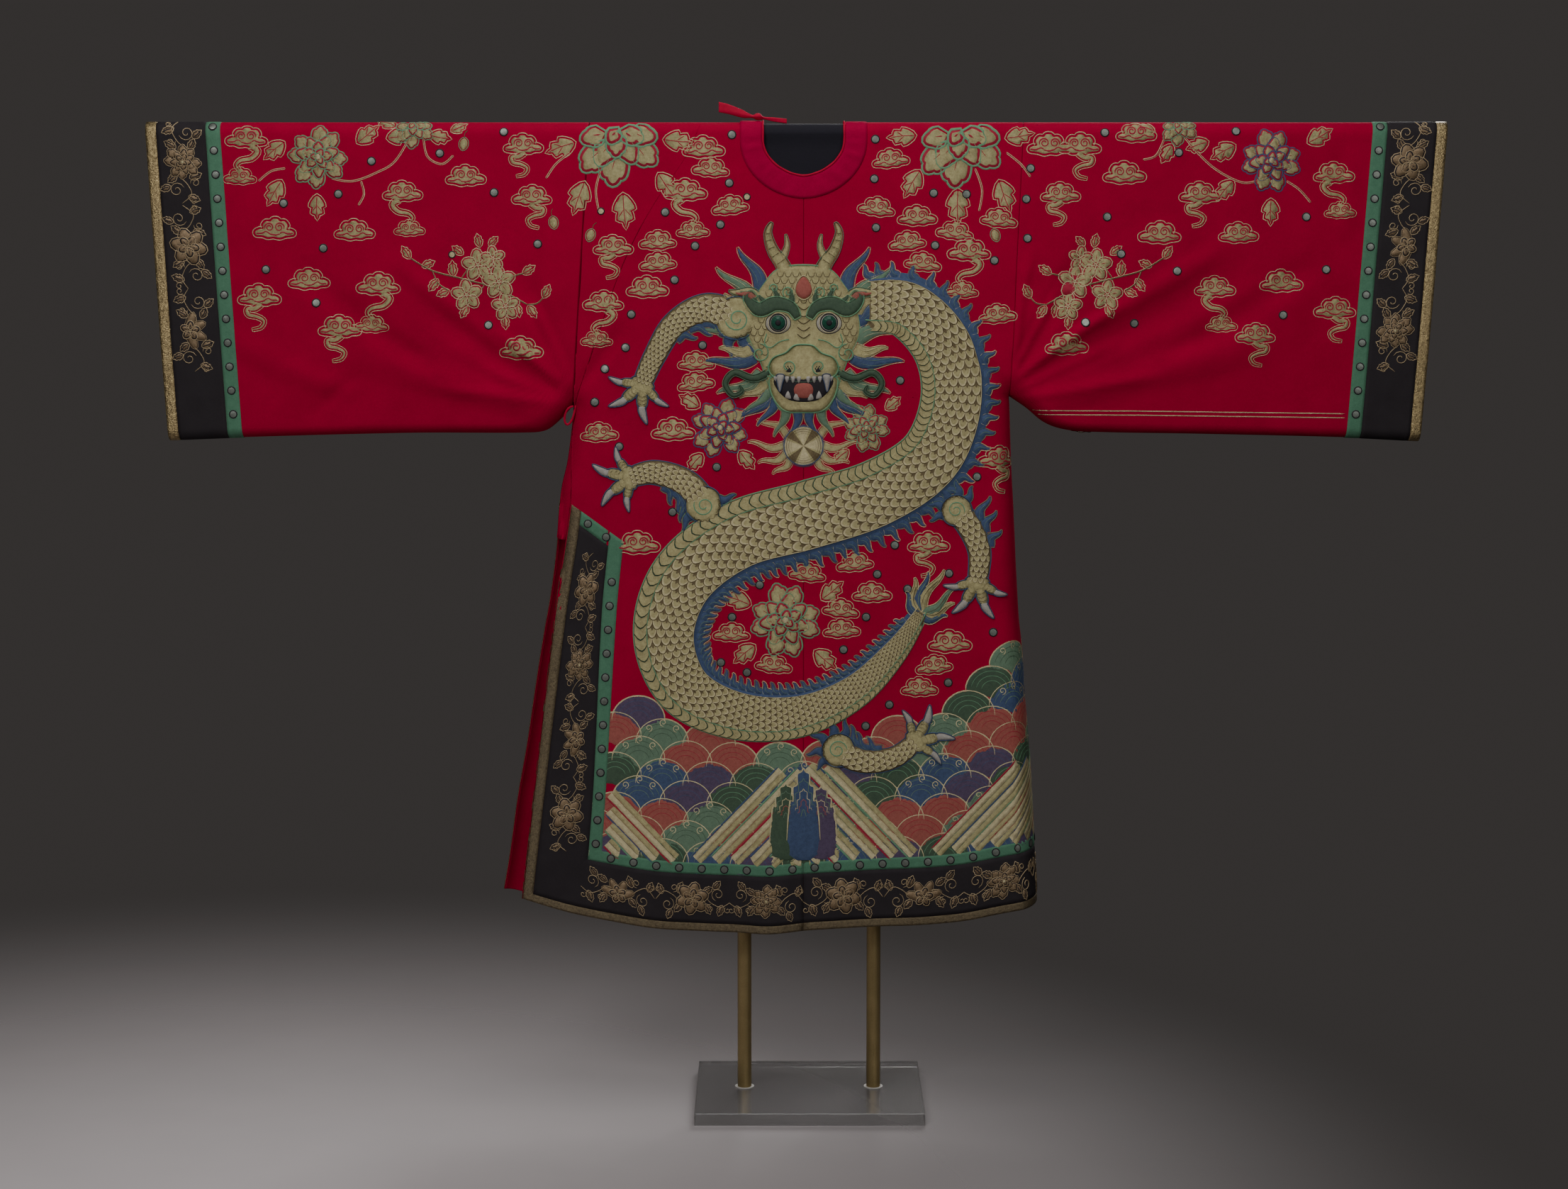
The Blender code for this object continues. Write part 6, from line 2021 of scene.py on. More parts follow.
@dataclass
class Scatter:
    """Clouds, flowers, leaves and mirror discs strewn over the red cloth."""

    drape: Drape
    front: Ground
    back: Ground
    gap: Finish = THREAD_RED
    cloud_half: float = 0.016

    def take_cloud(self, x: float, z: float, radius: float) -> None:
        """Take the room under both ends of a cloud on the front."""
        for end in (-self.cloud_half, self.cloud_half):
            self.front.take(x + end, z, radius)

    def build(self) -> None:
        """Stitch the whole ground of the robe."""
        for ground, low in ((self.front, 1.555), (self.back, 1.62)):
            for z in np.arange(low + 0.055, 1.70, 0.02):
                ground.take(CENTRE, float(z), NECK_HALF + FACING + 0.004)
        self.build_flowers()
        self.build_stems()
        self.build_clouds()
        self.build_back()
        self.build_discs()

    def build_flowers(self) -> None:
        """Peonies by the shoulders, blossoming branches on the sleeves, and leaves."""
        maker, blue = FlowerMaker(), FlowerMaker(BLUE)
        stamps = {"peony": maker.peony(), "half": maker.peony(True), "blue": blue.peony()}
        work = Needlework(self.drape, "flower_embroidery")
        for column, row, kind, turn, size in SLEEVE_FLOWERS + BODY_FLOWERS:
            x, z = on_grid(column, row)
            work.place(stamps[kind], x, z, turn, size)
            self.front.take(x, z, 0.066 * size)
        for column, row, turn, long in LEAVES:
            x, z = on_grid(column, row)
            work.place(maker.leaf(long, long * 0.62), x, z, turn)
            self.front.take(x - 0.6e-3 * long * math.sin(math.radians(turn)),
                            z + 0.6e-3 * long * math.cos(math.radians(turn)), 0.018)
        branch, bud = maker.branch(), maker.bud()
        work.place(branch, *on_grid(668, 392), -6).place(branch, *on_grid(1552, 392), 6,
                                                         mirror=True)
        for column, row, turn in ((837, 318, 160), (1400, 318, 200), (658, 190, 170),
                                  (781, 300, 190)):
            work.place(bud, *on_grid(column, row), turn)
        for x0 in (668, 1552):
            for step in (-90, -50, -10, 30, 70):
                self.front.take(*on_grid(x0 + step, 392), 0.040)
        work.make()

    def build_stems(self) -> None:
        """Stems between the peonies and their leaves, and two cords along one sleeve."""
        work = Needlework(self.drape, "stem_embroidery")
        for places in STEMS:
            line = path(*[(x * 1000, z * 1000) for x, z in (on_grid(*p) for p in places)], per=9)
            work.place(Stamp().cord(line, PALE_GOLD, 4.4, 1.0).cord(line, self.gap, 1.3, 0.3,
                                                                      0.95))
        for row in (572.0, 577.8):
            line = np.array([on_grid(c, row + (c - 1457) * 0.0127) for c in range(1457, 1899, 9)])
            work.place(Stamp().cord(line, PALE_GOLD, 2.2, 1.0))
        work.make()

    def build_clouds(self) -> None:
        """Clouds on the sleeves and wherever the figures leave room on the body."""
        maker = CloudMaker()
        stamps = {form: maker.make(form) for form in CloudForm}
        reach = {PLAIN: 0.0, TAIL: -0.024, PAIR: -0.034, CLUSTER: 0.010}
        work = Needlework(self.drape, "cloud_embroidery")
        for column, row, form, hand in SLEEVE_CLOUDS + BODY_CLOUDS:
            x, z = on_grid(column, row)
            if (column, row, form, hand) in BODY_CLOUDS:
                radius = {PLAIN: 0.016, TAIL: 0.021, PAIR: 0.028, CLUSTER: 0.032}[form]
                if not self.front.free(x, z + reach[form], radius):
                    if form is PLAIN or not self.front.free(x, z, 0.016):
                        continue
                    form = PLAIN
            work.place(stamps[form], x, z, 0, 0.98 + 0.05 * math.sin(column), hand < 0)
            self.take_cloud(x, z, 0.021)
            if form in (TAIL, PAIR):
                self.front.take(x, z + 1.6 * reach[form], 0.026)
        count = 0
        grid = Lattice((CENTRE, 1.665), (0.021, 0.020), 52, (-18, 18), 0.010, (0.004, 0.004),
                       (5, 3, 3, 4))
        for j, i, x, z in grid.places():
            inside = FLAP_EDGE.at(z) + (0.15 if z < 1.05 else 0.04) < x < 0.350
            if inside and all(self.front.free(x + d, z, 0.0105) for d in (-0.02, 0, 0.02)):
                work.place(stamps[PLAIN], x, z, 8 * math.sin(7 * i + j), 0.88, i % 2 == 0)
                self.take_cloud(x, z, 0.0185)
                count += 1
        log.info("%d clouds fill the gaps of the body", count)
        work.make()

    def build_back(self) -> None:
        """The back's clouds in even rows, with peonies over the shoulders."""
        maker, flowers = CloudMaker(), FlowerMaker()
        stamps = [maker.make(form) for form in (PLAIN, TAIL, PLAIN, PAIR)]
        work = Needlework(self.drape, "back_embroidery")
        peony, small = flowers.peony(), flowers.peony(True)
        for x, z, size in ((CENTRE, 1.30, 1.3), (-0.68, 1.50, 0.85), (0.70, 1.50, 0.85)):
            work.place(peony, x, z, 0, size, face=BACK)
            self.back.take(x, z, 0.072 * size)
            for turn in (60, 120, 180, 240, 300):
                a = math.radians(turn)
                work.place(flowers.leaf(46, 26), x - 0.060 * size * math.sin(a),
                           z + 0.060 * size * math.cos(a), turn, face=BACK)
        for x in (-0.25, 0.27):
            work.place(small, x, 1.660, 180, 1.1, face=BACK)
            self.back.take(x, 1.645, 0.070)
        count = 0
        grid = Lattice((0.0, 1.60), (0.118, 0.092), 11, (-8, 9), 0.059, (0.010, 0.012),
                       (7, 3, 5, 2))
        for _, _, x, z in grid.places():
            sleeve = z > 1.235 and abs(x) < 0.93
            body = z > 0.66 and -0.33 < x < 0.30
            if (sleeve or body) and self.back.free(x, z - 0.01, 0.036):
                work.place(stamps[count % 4], x, z, 0, 0.95, count % 2 == 0, BACK)
                self.back.take(x, z - 0.012, 0.036)
                count += 1
        work.make()

    def build_discs(self) -> None:
        """Mirror discs between all the other figures."""
        disc, bright = DiscMaker().make(), DiscMaker(4.8).make(True)
        work = Needlework(self.drape, "mirror_discs")
        for column, row in SLEEVE_DISCS:
            x, z = on_grid(column, row)
            if self.front.free(x, z, 0.002):
                work.place(disc, x, z)
        for column, row in BRIGHT_DISCS:
            x, z = on_grid(column, row)
            work.place(bright, x, z)
            self.front.take(x, z, 0.02)
        grid = Lattice((CENTRE, 1.66), (0.0205, 0.0185), 60, (-20, 21), 0.0102, (0.004, 0.004),
                       (9, 5, 4, 7))
        for _, _, x, z in grid.places():
            inside = FLAP_EDGE.at(z) + (0.16 if z < 1.05 else 0.02) < x < 0.335
            clear = z > 0.60 and abs(x - CENTRE) > 0.012
            if inside and clear and self.front.free(x, z, 0.0095):
                work.place(disc, x, z)
                self.front.take(x, z, 0.036)
        for _, _, x, z in Lattice((0.0, 1.63), (0.066, 0.040), 26, (-14, 15), 0.033).places():
            inside = -0.32 < x < 0.28 if z < 1.24 else abs(x) < 0.92
            if inside and z > 0.62 and self.back.free(x, z, 0.011):
                work.place(disc, x, z, face=BACK)
                self.back.take(x, z, 0.03)
        work.make()


@dataclass
class ScrollWork:
    """Flowers and curling stems on the black bands, and discs along the green ones."""

    drape: Drape
    cut: Cut
    run: float = 0.150
    slit_end: float = 0.955
    hem_middle: float = 0.0555
    cuff_middle: float = 0.0595
    cuff_discs: float = 0.1135
    along_pitch: float = 0.0385
    up_pitch: float = 0.0405

    def __post_init__(self) -> None:
        """Draw the units and begin the two pieces of work."""
        self.units = [self.unit(k) for k in range(3)]
        self.disc = DiscMaker(5.6).make()
        self.work = Needlework(self.drape, "band_scrolls")
        self.discs = Needlework(self.drape, "band_discs", "green_cotton")

    def unit(self, flower: int) -> Stamp:
        """One flower of a band with its stems and leaves, as long as its run.

        Args:
            flower: which of the flowers it carries.

        Returns:
            The stamp, its run along the X axis.
        """
        maker = FlowerMaker(SCROLL_GOLD, SCROLL_FILL, INK)
        drawn = Stamp()
        lines = (path((-76, -6), (-58, -16), (-38, -8), (-24, 4), (0, 0), (24, -6), (40, 6),
                      (58, 12), (74, -6), per=4),
                 spiral(-52, 10, 14, 2.5, -70, 1.4, 18), spiral(-36, -19, 9, 2, 100, -1.3, 14),
                 spiral(50, -14, 14, 2.5, 110, 1.4, 18), spiral(37, 20, 9, 2, -80, -1.3, 14),
                 spiral(70, 14, 7, 1.6, 250, -1.2, 12), spiral(-71, -22, 7, 1.6, 60, -1.2, 12))
        for line in lines:
            drawn.cord(line, SCROLL_GOLD, 1.7, 1.2)
        for x, z, turn, long in ((-60, -14, 200, 20), (-44, 22, 40, 18), (-26, -12, 150, 20),
                                 (28, 12, 20, 20), (44, -26, 200, 17), (62, 8, -20, 18),
                                 (-24, 14, 60, 18), (24, -14, 220, 18)):
            drawn.stamp(maker.leaf(long, long * 0.55, SCROLL_GOLD), x * MM, z * MM, turn)
        if flower % 3 == 0:
            drawn.stamp(maker.peony(), scale=0.50, lift=0.3)
        elif flower % 3 == 1:
            drawn.stamp(maker.blossom(26, 6, SCROLL_GOLD), lift=0.3)
            drawn.stamp(maker.blossom(14, 5, SCROLL_GOLD), lift=1.2)
        else:
            for turn in (-70, -25, 25, 70):
                petal = maker.petal(30, 17, 1)
                one = Stamp().edged(petal, SCROLL_FILL, SCROLL_GOLD, 1.2, 1.2)
                drawn.stamp(one, 0, -0.012, turn)
            drawn.stamp(maker.blossom(12, 5, SCROLL_GOLD), 0, -0.008, lift=1.0)
        return drawn

    def build(self) -> None:
        """Stitch every band."""
        for name, side, face in (("flap", RIGHT, FRONT), ("front", LEFT, FRONT),
                                 ("right", RIGHT, BACK), ("left", LEFT, BACK)):
            self.fill_border(Border(self.drape, self.cut, name, side, face))
        for side in (RIGHT, LEFT):
            for face in (FRONT, BACK):
                self.fill_cuff(side, face)
        self.work.make()
        self.discs.make()

    def put(self, number: int, size: float, mirror: bool, face: int,
            bend: Callable[[Array], Array]) -> None:
        """Lay one unit on a band."""
        self.work.place(self.units[number % 3], scale=size, mirror=mirror, face=face, lift=1.1,
                        bend=bend)

    def put_disc(self, u: float, z: float, face: int) -> None:
        """Lay one disc on a band."""
        self.discs.place(self.disc, float(u), float(z), face=face, lift=1.0)

    def along_hem(self, border: Border, u0: float, flat: Array) -> Array:
        """Places of a unit that runs along the hem, its middle at u0.

        Args:
            border: the border that is filled.
            u0: where its middle lies across.
            flat: places of the unit, one row each.

        Returns:
            Places across and heights.
        """
        u = u0 + flat[:, 0]
        hem = self.cut.hem(border.side, u, border.face)
        return np.column_stack([u, hem + self.hem_middle + flat[:, 1]])

    def up_slit(self, border: Border, z0: float, flat: Array) -> Array:
        """Places of a unit that runs up the slit, its middle at z0.

        Args:
            border: the border that is filled.
            z0: the height of its middle.
            flat: places of the unit, one row each.

        Returns:
            Places across and heights.
        """
        z = z0 + flat[:, 0]
        narrow = SLIT_BORDER.at(z, 2) / 0.084
        inward = border.offsets(z, 0.5, 1) - flat[:, 1] * narrow
        return np.column_stack([border.edge(z) - border.side * inward, z])

    def down_cuff(self, side: int, z0: float, flat: Array) -> Array:
        """Places of a unit that runs along a cuff, its middle at z0."""
        z = z0 + flat[:, 0]
        return np.column_stack([CUFF[side].at(z) - side * (self.cuff_middle + flat[:, 1]), z])

    def fill_border(self, border: Border) -> None:
        """Fill one border's hem and slit with units and discs.

        Args:
            border: the border that is filled.
        """
        side, face = border.side, border.face
        corner, low = border.corner(0.5, 1)
        reach = abs(corner - CENTRE)
        count = max(int(round((reach - 0.03) / self.run)), 2)
        pitch = (reach - 0.035) / count
        for k in range(count):
            self.put(k + (side > 0), pitch / self.run, k % 2 == 1, face,
                     partial(self.along_hem, border, CENTRE + side * pitch * (k + 0.5)))
        tall = (self.slit_end - low - 0.040) / 4
        for k in range(4):
            self.put(k + 1, min(tall / self.run, 1.0), k % 2 == 0, face,
                     partial(self.up_slit, border, low + 0.045 + tall * (k + 0.5)))
        across, bottom = border.corner(0.5, 2)
        for k in range(int(abs(across - CENTRE) / self.along_pitch)):
            u = np.array([CENTRE + side * (0.019 + self.along_pitch * k)])
            self.put_disc(u[0], self.cut.hem(side, u, face)[0] + border.height(0.5, 2), face)
        for k in range(int((self.slit_end - bottom) / self.up_pitch)):
            z = np.array(bottom + 0.020 + self.up_pitch * k)
            self.put_disc(border.edge(z) - side * border.offsets(z, 0.5, 2), z, face)
        for inward in (0.034, 0.068):
            z = border.slant(np.array(inward)) - 0.012
            self.put_disc(border.edge(z) - side * inward, z, face)

    def fill_cuff(self, side: int, face: int) -> None:
        """Fill the front or the back of one cuff's bands.

        Args:
            side: the wearer's right or left.
            face: front or back.
        """
        for k in range(3):
            self.put(k + (side > 0), 0.94, k % 2 == 0, face,
                     partial(self.down_cuff, side, 1.618 - 0.142 * k))
        for z in 1.678 - self.up_pitch * np.arange(13):
            if z > 1.175:
                self.put_disc(CUFF[side].at(z) - side * self.cuff_discs, z, face)


# ---------------------------------------------------------------- the dragon and the sea

PAD_BASE = 0.0021
SPINES = {
    "body": ((118, 1378, 44), (190, 1370, 50), (250, 1305, 53), (264, 1215, 54),
             (228, 1120, 56), (138, 1058, 59), (20, 1020, 61), (-100, 985, 60),
             (-190, 915, 58), (-222, 820, 54), (-190, 730, 49), (-105, 685, 43), (0, 682, 37),
             (95, 722, 30), (165, 790, 22), (215, 862, 11)),
    "upper_right": ((-90, 1350, 30), (-150, 1372, 26), (-205, 1345, 22), (-240, 1290, 19),
                    (-262, 1240, 17)),
    "lower_right": ((-150, 1030, 26), (-185, 1075, 24), (-240, 1095, 21), (-285, 1085, 17)),
    "upper_left": ((262, 1040, 22), (292, 1005, 22), (310, 960, 20), (306, 905, 17)),
    "lower_left": ((60, 630, 24), (110, 605, 22), (165, 610, 19), (205, 640, 16)),
}
FACE_ROWS = ((1198, 30), (1212, 48), (1245, 60), (1285, 74), (1330, 94), (1375, 88), (1415, 66),
             (1442, 34))


@dataclass
class Spine:
    """A padded band along a curved line, with places given along and across it."""

    rows: tuple[tuple[float, float, float], ...]
    crown: float

    def __post_init__(self) -> None:
        """Draw the line and measure along it."""
        self.line = path(*((x, z) for x, z, _ in self.rows), per=16)
        self.halves = path(*((h, 0) for _, _, h in self.rows), per=16)[:, 0]
        step = np.linalg.norm(np.diff(self.line, axis=0), axis=1)
        self.run = np.concatenate([[0], np.cumsum(step)])
        self.length = float(self.run[-1])
        self.ahead, self.left = ways(self.line)

    def half(self, along: Array) -> Array:
        """Half width at a length along the line."""
        return np.interp(along, self.run, self.halves)

    def at(self, along: Array, across: Array) -> Array:
        """Places at lengths along and shares of the half width to the left.

        Args:
            along: lengths from the line's start.
            across: shares of the half width, positive to the left of the way ahead.

        Returns:
            Places across and up, one row each.
        """
        along, across = np.broadcast_arrays(np.asarray(along, float), np.asarray(across, float))
        parts = []
        for axis in (0, 1):
            middle = np.interp(along, self.run, self.line[:, axis])
            left = np.interp(along, self.run, self.left[:, axis])
            parts.append(middle + left * across * self.half(along))
        return np.stack(parts, -1)

    def turn(self, along: float) -> float:
        """Direction of the way ahead at a length along, in degrees."""
        dx, dz = (np.interp(along, self.run, self.ahead[:, axis]) for axis in (0, 1))
        return math.degrees(math.atan2(dz, dx))

    def swell(self, along: Array, across: Array) -> Array:
        """Height of the padding."""
        ends = np.minimum(np.minimum(along, self.length - along) / 0.05 + 0.25, 1.0)
        return PAD_BASE + self.crown * ends * (1 - np.minimum(np.abs(across), 1.0) ** 2.5)

    def ground(self, drawn: Stamp, thread: Finish, columns: int = 11) -> None:
        """Add the padding itself, with its rounded sides down to the cloth.

        Args:
            drawn: the stamp that takes it.
            thread: its finish.
            columns: points across it.
        """
        count = max(int(self.length / 0.011), 6)
        along = np.linspace(0, self.length, count + 1)[:, None]
        across = np.linspace(-1, 1, columns)[None, :]
        place = self.at(along, across)
        height = self.swell(*np.broadcast_arrays(along, across))
        height[:, [0, -1]] = -0.0005
        height[[0, -1]] = -0.0005
        drawn.raw(np.column_stack([place.reshape(-1, 2), height.ravel()]),
                  quads(count, columns), thread)

    def scales(self, drawn: Stamp, size: float, low: float, high: float,
               rise: float = 1.2) -> None:
        """Cover part of the width with overlapping scales whose free ends point back, each with a
        painted highlight up its rim and painted shade down its edge.

        Args:
            drawn: the stamp that takes them.
            size: width of a scale where the band is widest, in metres.
            low: share of the half width where they start.
            high: share where they end.
            rise: how far a free end stands up, in millimetres.
        """
        widest = float(self.halves.max())
        count = max(int(round((high - low) * widest / size)), 2)
        pitch = (high - low) / count
        fan = np.radians(np.array([-90, -60, -30, 0, 30, 60, 90]))
        reach = np.array([0.20, 0.70, 0.90, 1.02])[:, None]
        lift = np.array([0.0, 0.62, 1.0, 0.1])[:, None] * (0.35 + 0.65 * np.cos(fan))
        faces, steps = quads(3, len(fan)), len(fan) - 1
        along, row = 0.004, 0
        while along < self.length - 0.012:
            long = float(self.half(along)) / widest * size * 0.98 + 0.002
            a = along + long * 1.25 * (reach * np.cos(fan) * 0.75 + 0.2)
            a = np.minimum(a, self.length)
            for k in range(count + row % 2):
                middle = low + pitch * (k + (0.0 if row % 2 else 0.5))
                b = np.clip(middle + pitch * 0.56 * reach * np.sin(fan), low - 0.03, high + 0.03)
                height = self.swell(a, b) + MM * rise * lift
                points = np.dstack([self.at(a, b), height]).reshape(-1, 3)
                # Each scale is gold in the middle, pale gold up its raised rim as a painted
                # highlight, and brown gold down its falling edge as painted shade under the
                # overlap.
                for ring, thread in enumerate((GOLD, PALE_GOLD, DIM_GOLD)):
                    drawn.raw(points, faces[steps * ring:steps * (ring + 1)], thread)
            along += long * 0.80
            row += 1


def flame_line(long: float, curl: float) -> Array:
    """Middle of a flame that grows up from the origin in an S, in millimetres."""
    t = np.linspace(0, 1, 13)
    return np.column_stack([curl * (np.sin(t * math.pi * 1.6) * 0.55 + t * 0.8), long * t]) * MM


def flame(long: float, wide: float, curl: float) -> Array:
    """Outline of a pointed flame that grows up from the origin, in millimetres.

    Args:
        long: its length in millimetres.
        wide: its width in millimetres.
        curl: how far its tip leans, positive to the right.

    Returns:
        The closed outline.
    """
    t = np.linspace(0, 1, 13)
    swell = 0.82 + 0.2 * np.sin(math.pi * np.minimum(1.8 * t, 1))
    return widened(flame_line(long, curl), wide * MM / 2 * (1 - t) ** 0.7 * swell + 0.0006)


@dataclass
class Dragon:
    """The dragon: a facing head, a coiled scaled body and four clawed legs."""

    drape: Drape
    front: Ground
    middle: tuple[float, float] = (CENTRE, 1.330)
    crown: float = 0.0075

    def build(self) -> None:
        """Stitch the legs, the body, the mane and the head, in that order."""
        self.take_room()
        self.build_body()
        self.build_legs()
        self.build_head()
        for side in ("right", "left"):
            self.build_pupil(side)

    def build_pupil(self, side: str) -> None:
        """Finish one glass eye, with a dark domed pupil on its front.

        Args:
            side: "right" or "left".
        """
        node = f"dragon_eye_{side}"
        dress_node(node, GREEN_GLASS)
        for thing in bpy.data.objects:
            if thing.type == "MESH" and thing.name.split(".")[0] == node:
                corners = np.array([thing.matrix_world @ v.co for v in thing.data.vertices])
        tip = corners[np.argmin(corners[:, 1])]
        middle = (corners.min(0) + corners.max(0)) / 2
        around = polar(np.arange(0, 360, 22.5))
        points = np.vstack([np.column_stack([middle[0] + r * around[:, 0],
                                             np.full(16, tip[1] + back),
                                             middle[2] + r * around[:, 1]])
                            for r, back in ((0.0054, 0.0030), (0.0048, 0.0), (0.0030, -0.0007))])
        faces = [face[::-1] for face in quads(2, 16, True)] + [tuple(range(47, 31, -1))]
        make_object(f"dragon_pupil_{side}", points, faces, [INK])

    def take_room(self) -> None:
        """Keep the ground's other figures off the dragon."""
        for name, rows in SPINES.items():
            spine = Spine(rows, 0.003)
            for along in np.arange(0, spine.length + 0.02, 0.03):
                self.front.take(*spine.at(along, 0.0), spine.half(along) + 0.016)
            if name != "body":
                x, z = spine.at(spine.length, 0.0)
                a = math.radians(spine.turn(spine.length))
                self.front.take(x + 0.03 * math.cos(a), z + 0.03 * math.sin(a), 0.05)
        for x, z, radius in ((CENTRE, 1.31, 0.15), (CENTRE, 1.40, 0.13), (CENTRE, 1.48, 0.09),
                             (CENTRE, 1.24, 0.10), (CENTRE, 1.14, 0.075), (-0.11, 1.40, 0.06),
                             (0.135, 1.40, 0.06), (-0.10, 1.46, 0.04), (0.12, 1.46, 0.04)):
            self.front.take(x, z, radius)

    def build_body(self) -> None:
        """The scaled body with its belly plates and dorsal fringe."""
        spine = Spine(SPINES["body"], 0.0032)
        drawn = Stamp()
        # The brown gold padding shows between the scales as painted shade in their gaps.
        spine.ground(drawn, DIM_GOLD)
        spine.scales(drawn, 0.0165, -0.56, 0.86)
        body = Needlework(self.drape, "dragon_body_scales").place(drawn).make()
        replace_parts(body, "dragon_body")
        trim = Stamp()
        self.belly(trim, spine)
        self.fringe(trim, spine)
        place = spine.at(spine.length - 0.006, 0.0)
        heading = spine.turn(spine.length - 0.02) - 90
        for turn, long, thread in ((64, 44, BLUE), (-60, 44, BLUE), (40, 60, GOLD),
                                   (-38, 58, GOLD), (20, 70, BLUE), (-18, 70, MINT),
                                   (2, 82, GOLD)):
            curl = 13 if turn < 0 else -13
            tuft = Stamp().edged(flame(long, 19, curl), thread, PALE_GOLD, 1.0, 1.7, 1.6)
            tuft.cord(flame_line(long, curl)[1:10], MINT if thread is BLUE else DEEP_GOLD, 1.6,
                      0.5, 1.5)
            trim.stamp(tuft, *place, heading + turn, lift=0.5)
        Needlework(self.drape, "dragon_body_trim").place(trim).make()

    def belly(self, trim: Stamp, spine: Spine) -> None:
        """Broad belly plates between two green cords, and a cord along the back.

        Args:
            trim: the stamp that takes them.
            spine: the band that they follow.
        """
        along = 0.006
        while along < spine.length - 0.03:
            long = 0.006 + 0.16 * float(spine.half(along))
            a = along + long * np.array([0.0, 0.35, 0.85, 1.0])[:, None]
            b = np.linspace(-0.97, -0.60, 5)[None, :]
            bow = long * 0.5 * np.cos((b + 0.785) / 0.185 * math.pi / 2)
            place = spine.at(np.minimum(a + bow, spine.length), b)
            lift = np.array([0.0, 1.0, 1.3, -0.2])[:, None] * MM
            height = spine.swell(a, b * np.ones_like(a)) + lift
            points = np.dstack([place, height]).reshape(-1, 3)
            trim.raw(points, quads(2, 5), GOLD).raw(points, quads(3, 5)[8:], LEAF)
            along += long
        run = np.arange(0.0, spine.length, 0.006)
        for across, thread, wide in ((-1.0, JADE, 3.4), (-0.58, JADE, 2.4),
                                     (0.88, PALE_GOLD, 1.8)):
            line = spine.at(run, across)
            lift = spine.swell(run, np.full(run.shape, across)) * 1000 * (abs(across) < 0.99)
            self.raised_cord(trim, line, thread, wide, 1.3, lift)

    def raised_cord(self, trim: Stamp, line: Array, thread: Finish, wide: float, high: float,
                    lift: Array) -> None:
        """A cord whose own ground rises and falls along it; sizes in millimetres.

        Args:
            trim: the stamp that takes it.
            line: its middle line.
            thread: its finish.
            wide: its width.
            high: its height.
            lift: height of what lies below, along it.
        """
        _, left = ways(line)
        rows = [np.column_stack([line + left * wide * MM / 2 * side,
                                 (lift + (high if side == 0 else -0.5)) * MM])
                for side in (-1, 0, 1)]
        trim.raw(np.vstack(rows), quads(2, len(line)), thread)

    def fringe(self, trim: Stamp, spine: Spine) -> None:
        """A blue fin along the outer edge with flames that curl back from it.

        Args:
            trim: the stamp that takes it.
            spine: the band that it follows.
        """
        run = np.arange(0.004, spine.length, 0.009)
        half = spine.half(run)
        size = 0.50 + 0.50 * half / 0.061
        rows = []
        for reach, height in ((-0.10, 0.0008), (0.0, 0.0006), (0.0075, 0.0010), (0.0095, -0.0004)):
            across = 1 + reach if reach < 0 else 1 + reach * size / half
            lift = spine.swell(run, across) * (reach < 0.001) * (np.abs(across) < 1) + height
            rows.append(np.column_stack([spine.at(run, across), lift]))
        trim.raw(np.vstack(rows), quads(3, len(run)), BLUE)
        along, k = 0.012, 0
        while along < spine.length - 0.02:
            size = 0.45 + 0.55 * float(spine.half(along)) / 0.061
            place = spine.at(along, 1 + 0.002 / float(spine.half(along)))
            fin = Stamp().edged(flame(31 * size, 17 * size, -9 * size), BLUE,
                                MINT if k % 2 else PALE_GOLD, 0.9, 1.5, 1.2)
            fin.cord(flame_line(31 * size, -9 * size)[1:9], MINT, 1.3, 0.8, 0.8)
            trim.stamp(fin, *place, spine.turn(along) + 32, lift=0.1)
            along += 0.021 * size
            k += 1

    def build_legs(self) -> None:
        """Four scaled legs, each with four talons and a flame at the elbow."""
        talons, haunch = self.foot(), self.haunch()
        trim = Stamp()
        for name, rows in SPINES.items():
            if name == "body":
                continue
            spine = Spine(rows, 0.0032)
            drawn = Stamp()
            # The brown gold padding shows between the scales as painted shade in their gaps.
            spine.ground(drawn, DIM_GOLD, 9)
            spine.scales(drawn, 0.0115, -0.80, 0.80, 1.0)
            run = np.arange(0.0, spine.length + 0.004, 0.005)
            for across in (-0.98, 0.98):
                self.raised_cord(drawn, spine.at(run, across), BLUE, 2.6, 1.6, 0.0 * run)
            leg = Needlework(self.drape, f"dragon_leg_{name}_scales").place(drawn).make()
            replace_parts(leg, f"dragon_leg_{name}")
            trim.stamp(talons, *spine.at(spine.length - 0.004, 0.0),
                       spine.turn(spine.length) - 90, lift=0.6)
            trim.stamp(haunch, *spine.at(0.012, 0.0), spine.turn(0.0) - 90,
                       spine.half(0.0) / 0.026, lift=0.4)
            for share in (0.34, 0.46, 0.60):
                long = 48 - 40 * (share - 0.3)
                fire = Stamp().edged(flame(long, 18, -11), BLUE, MINT, 1.0, 1.5, 1.3)
                fire.cord(flame_line(long, -11)[1:9], MINT, 1.4, 0.8, 0.9)
                trim.stamp(fire, *spine.at(spine.length * share, 0.9),
                           spine.turn(spine.length * share) + 36, lift=0.2)
        Needlework(self.drape, "dragon_talons").place(trim).make()

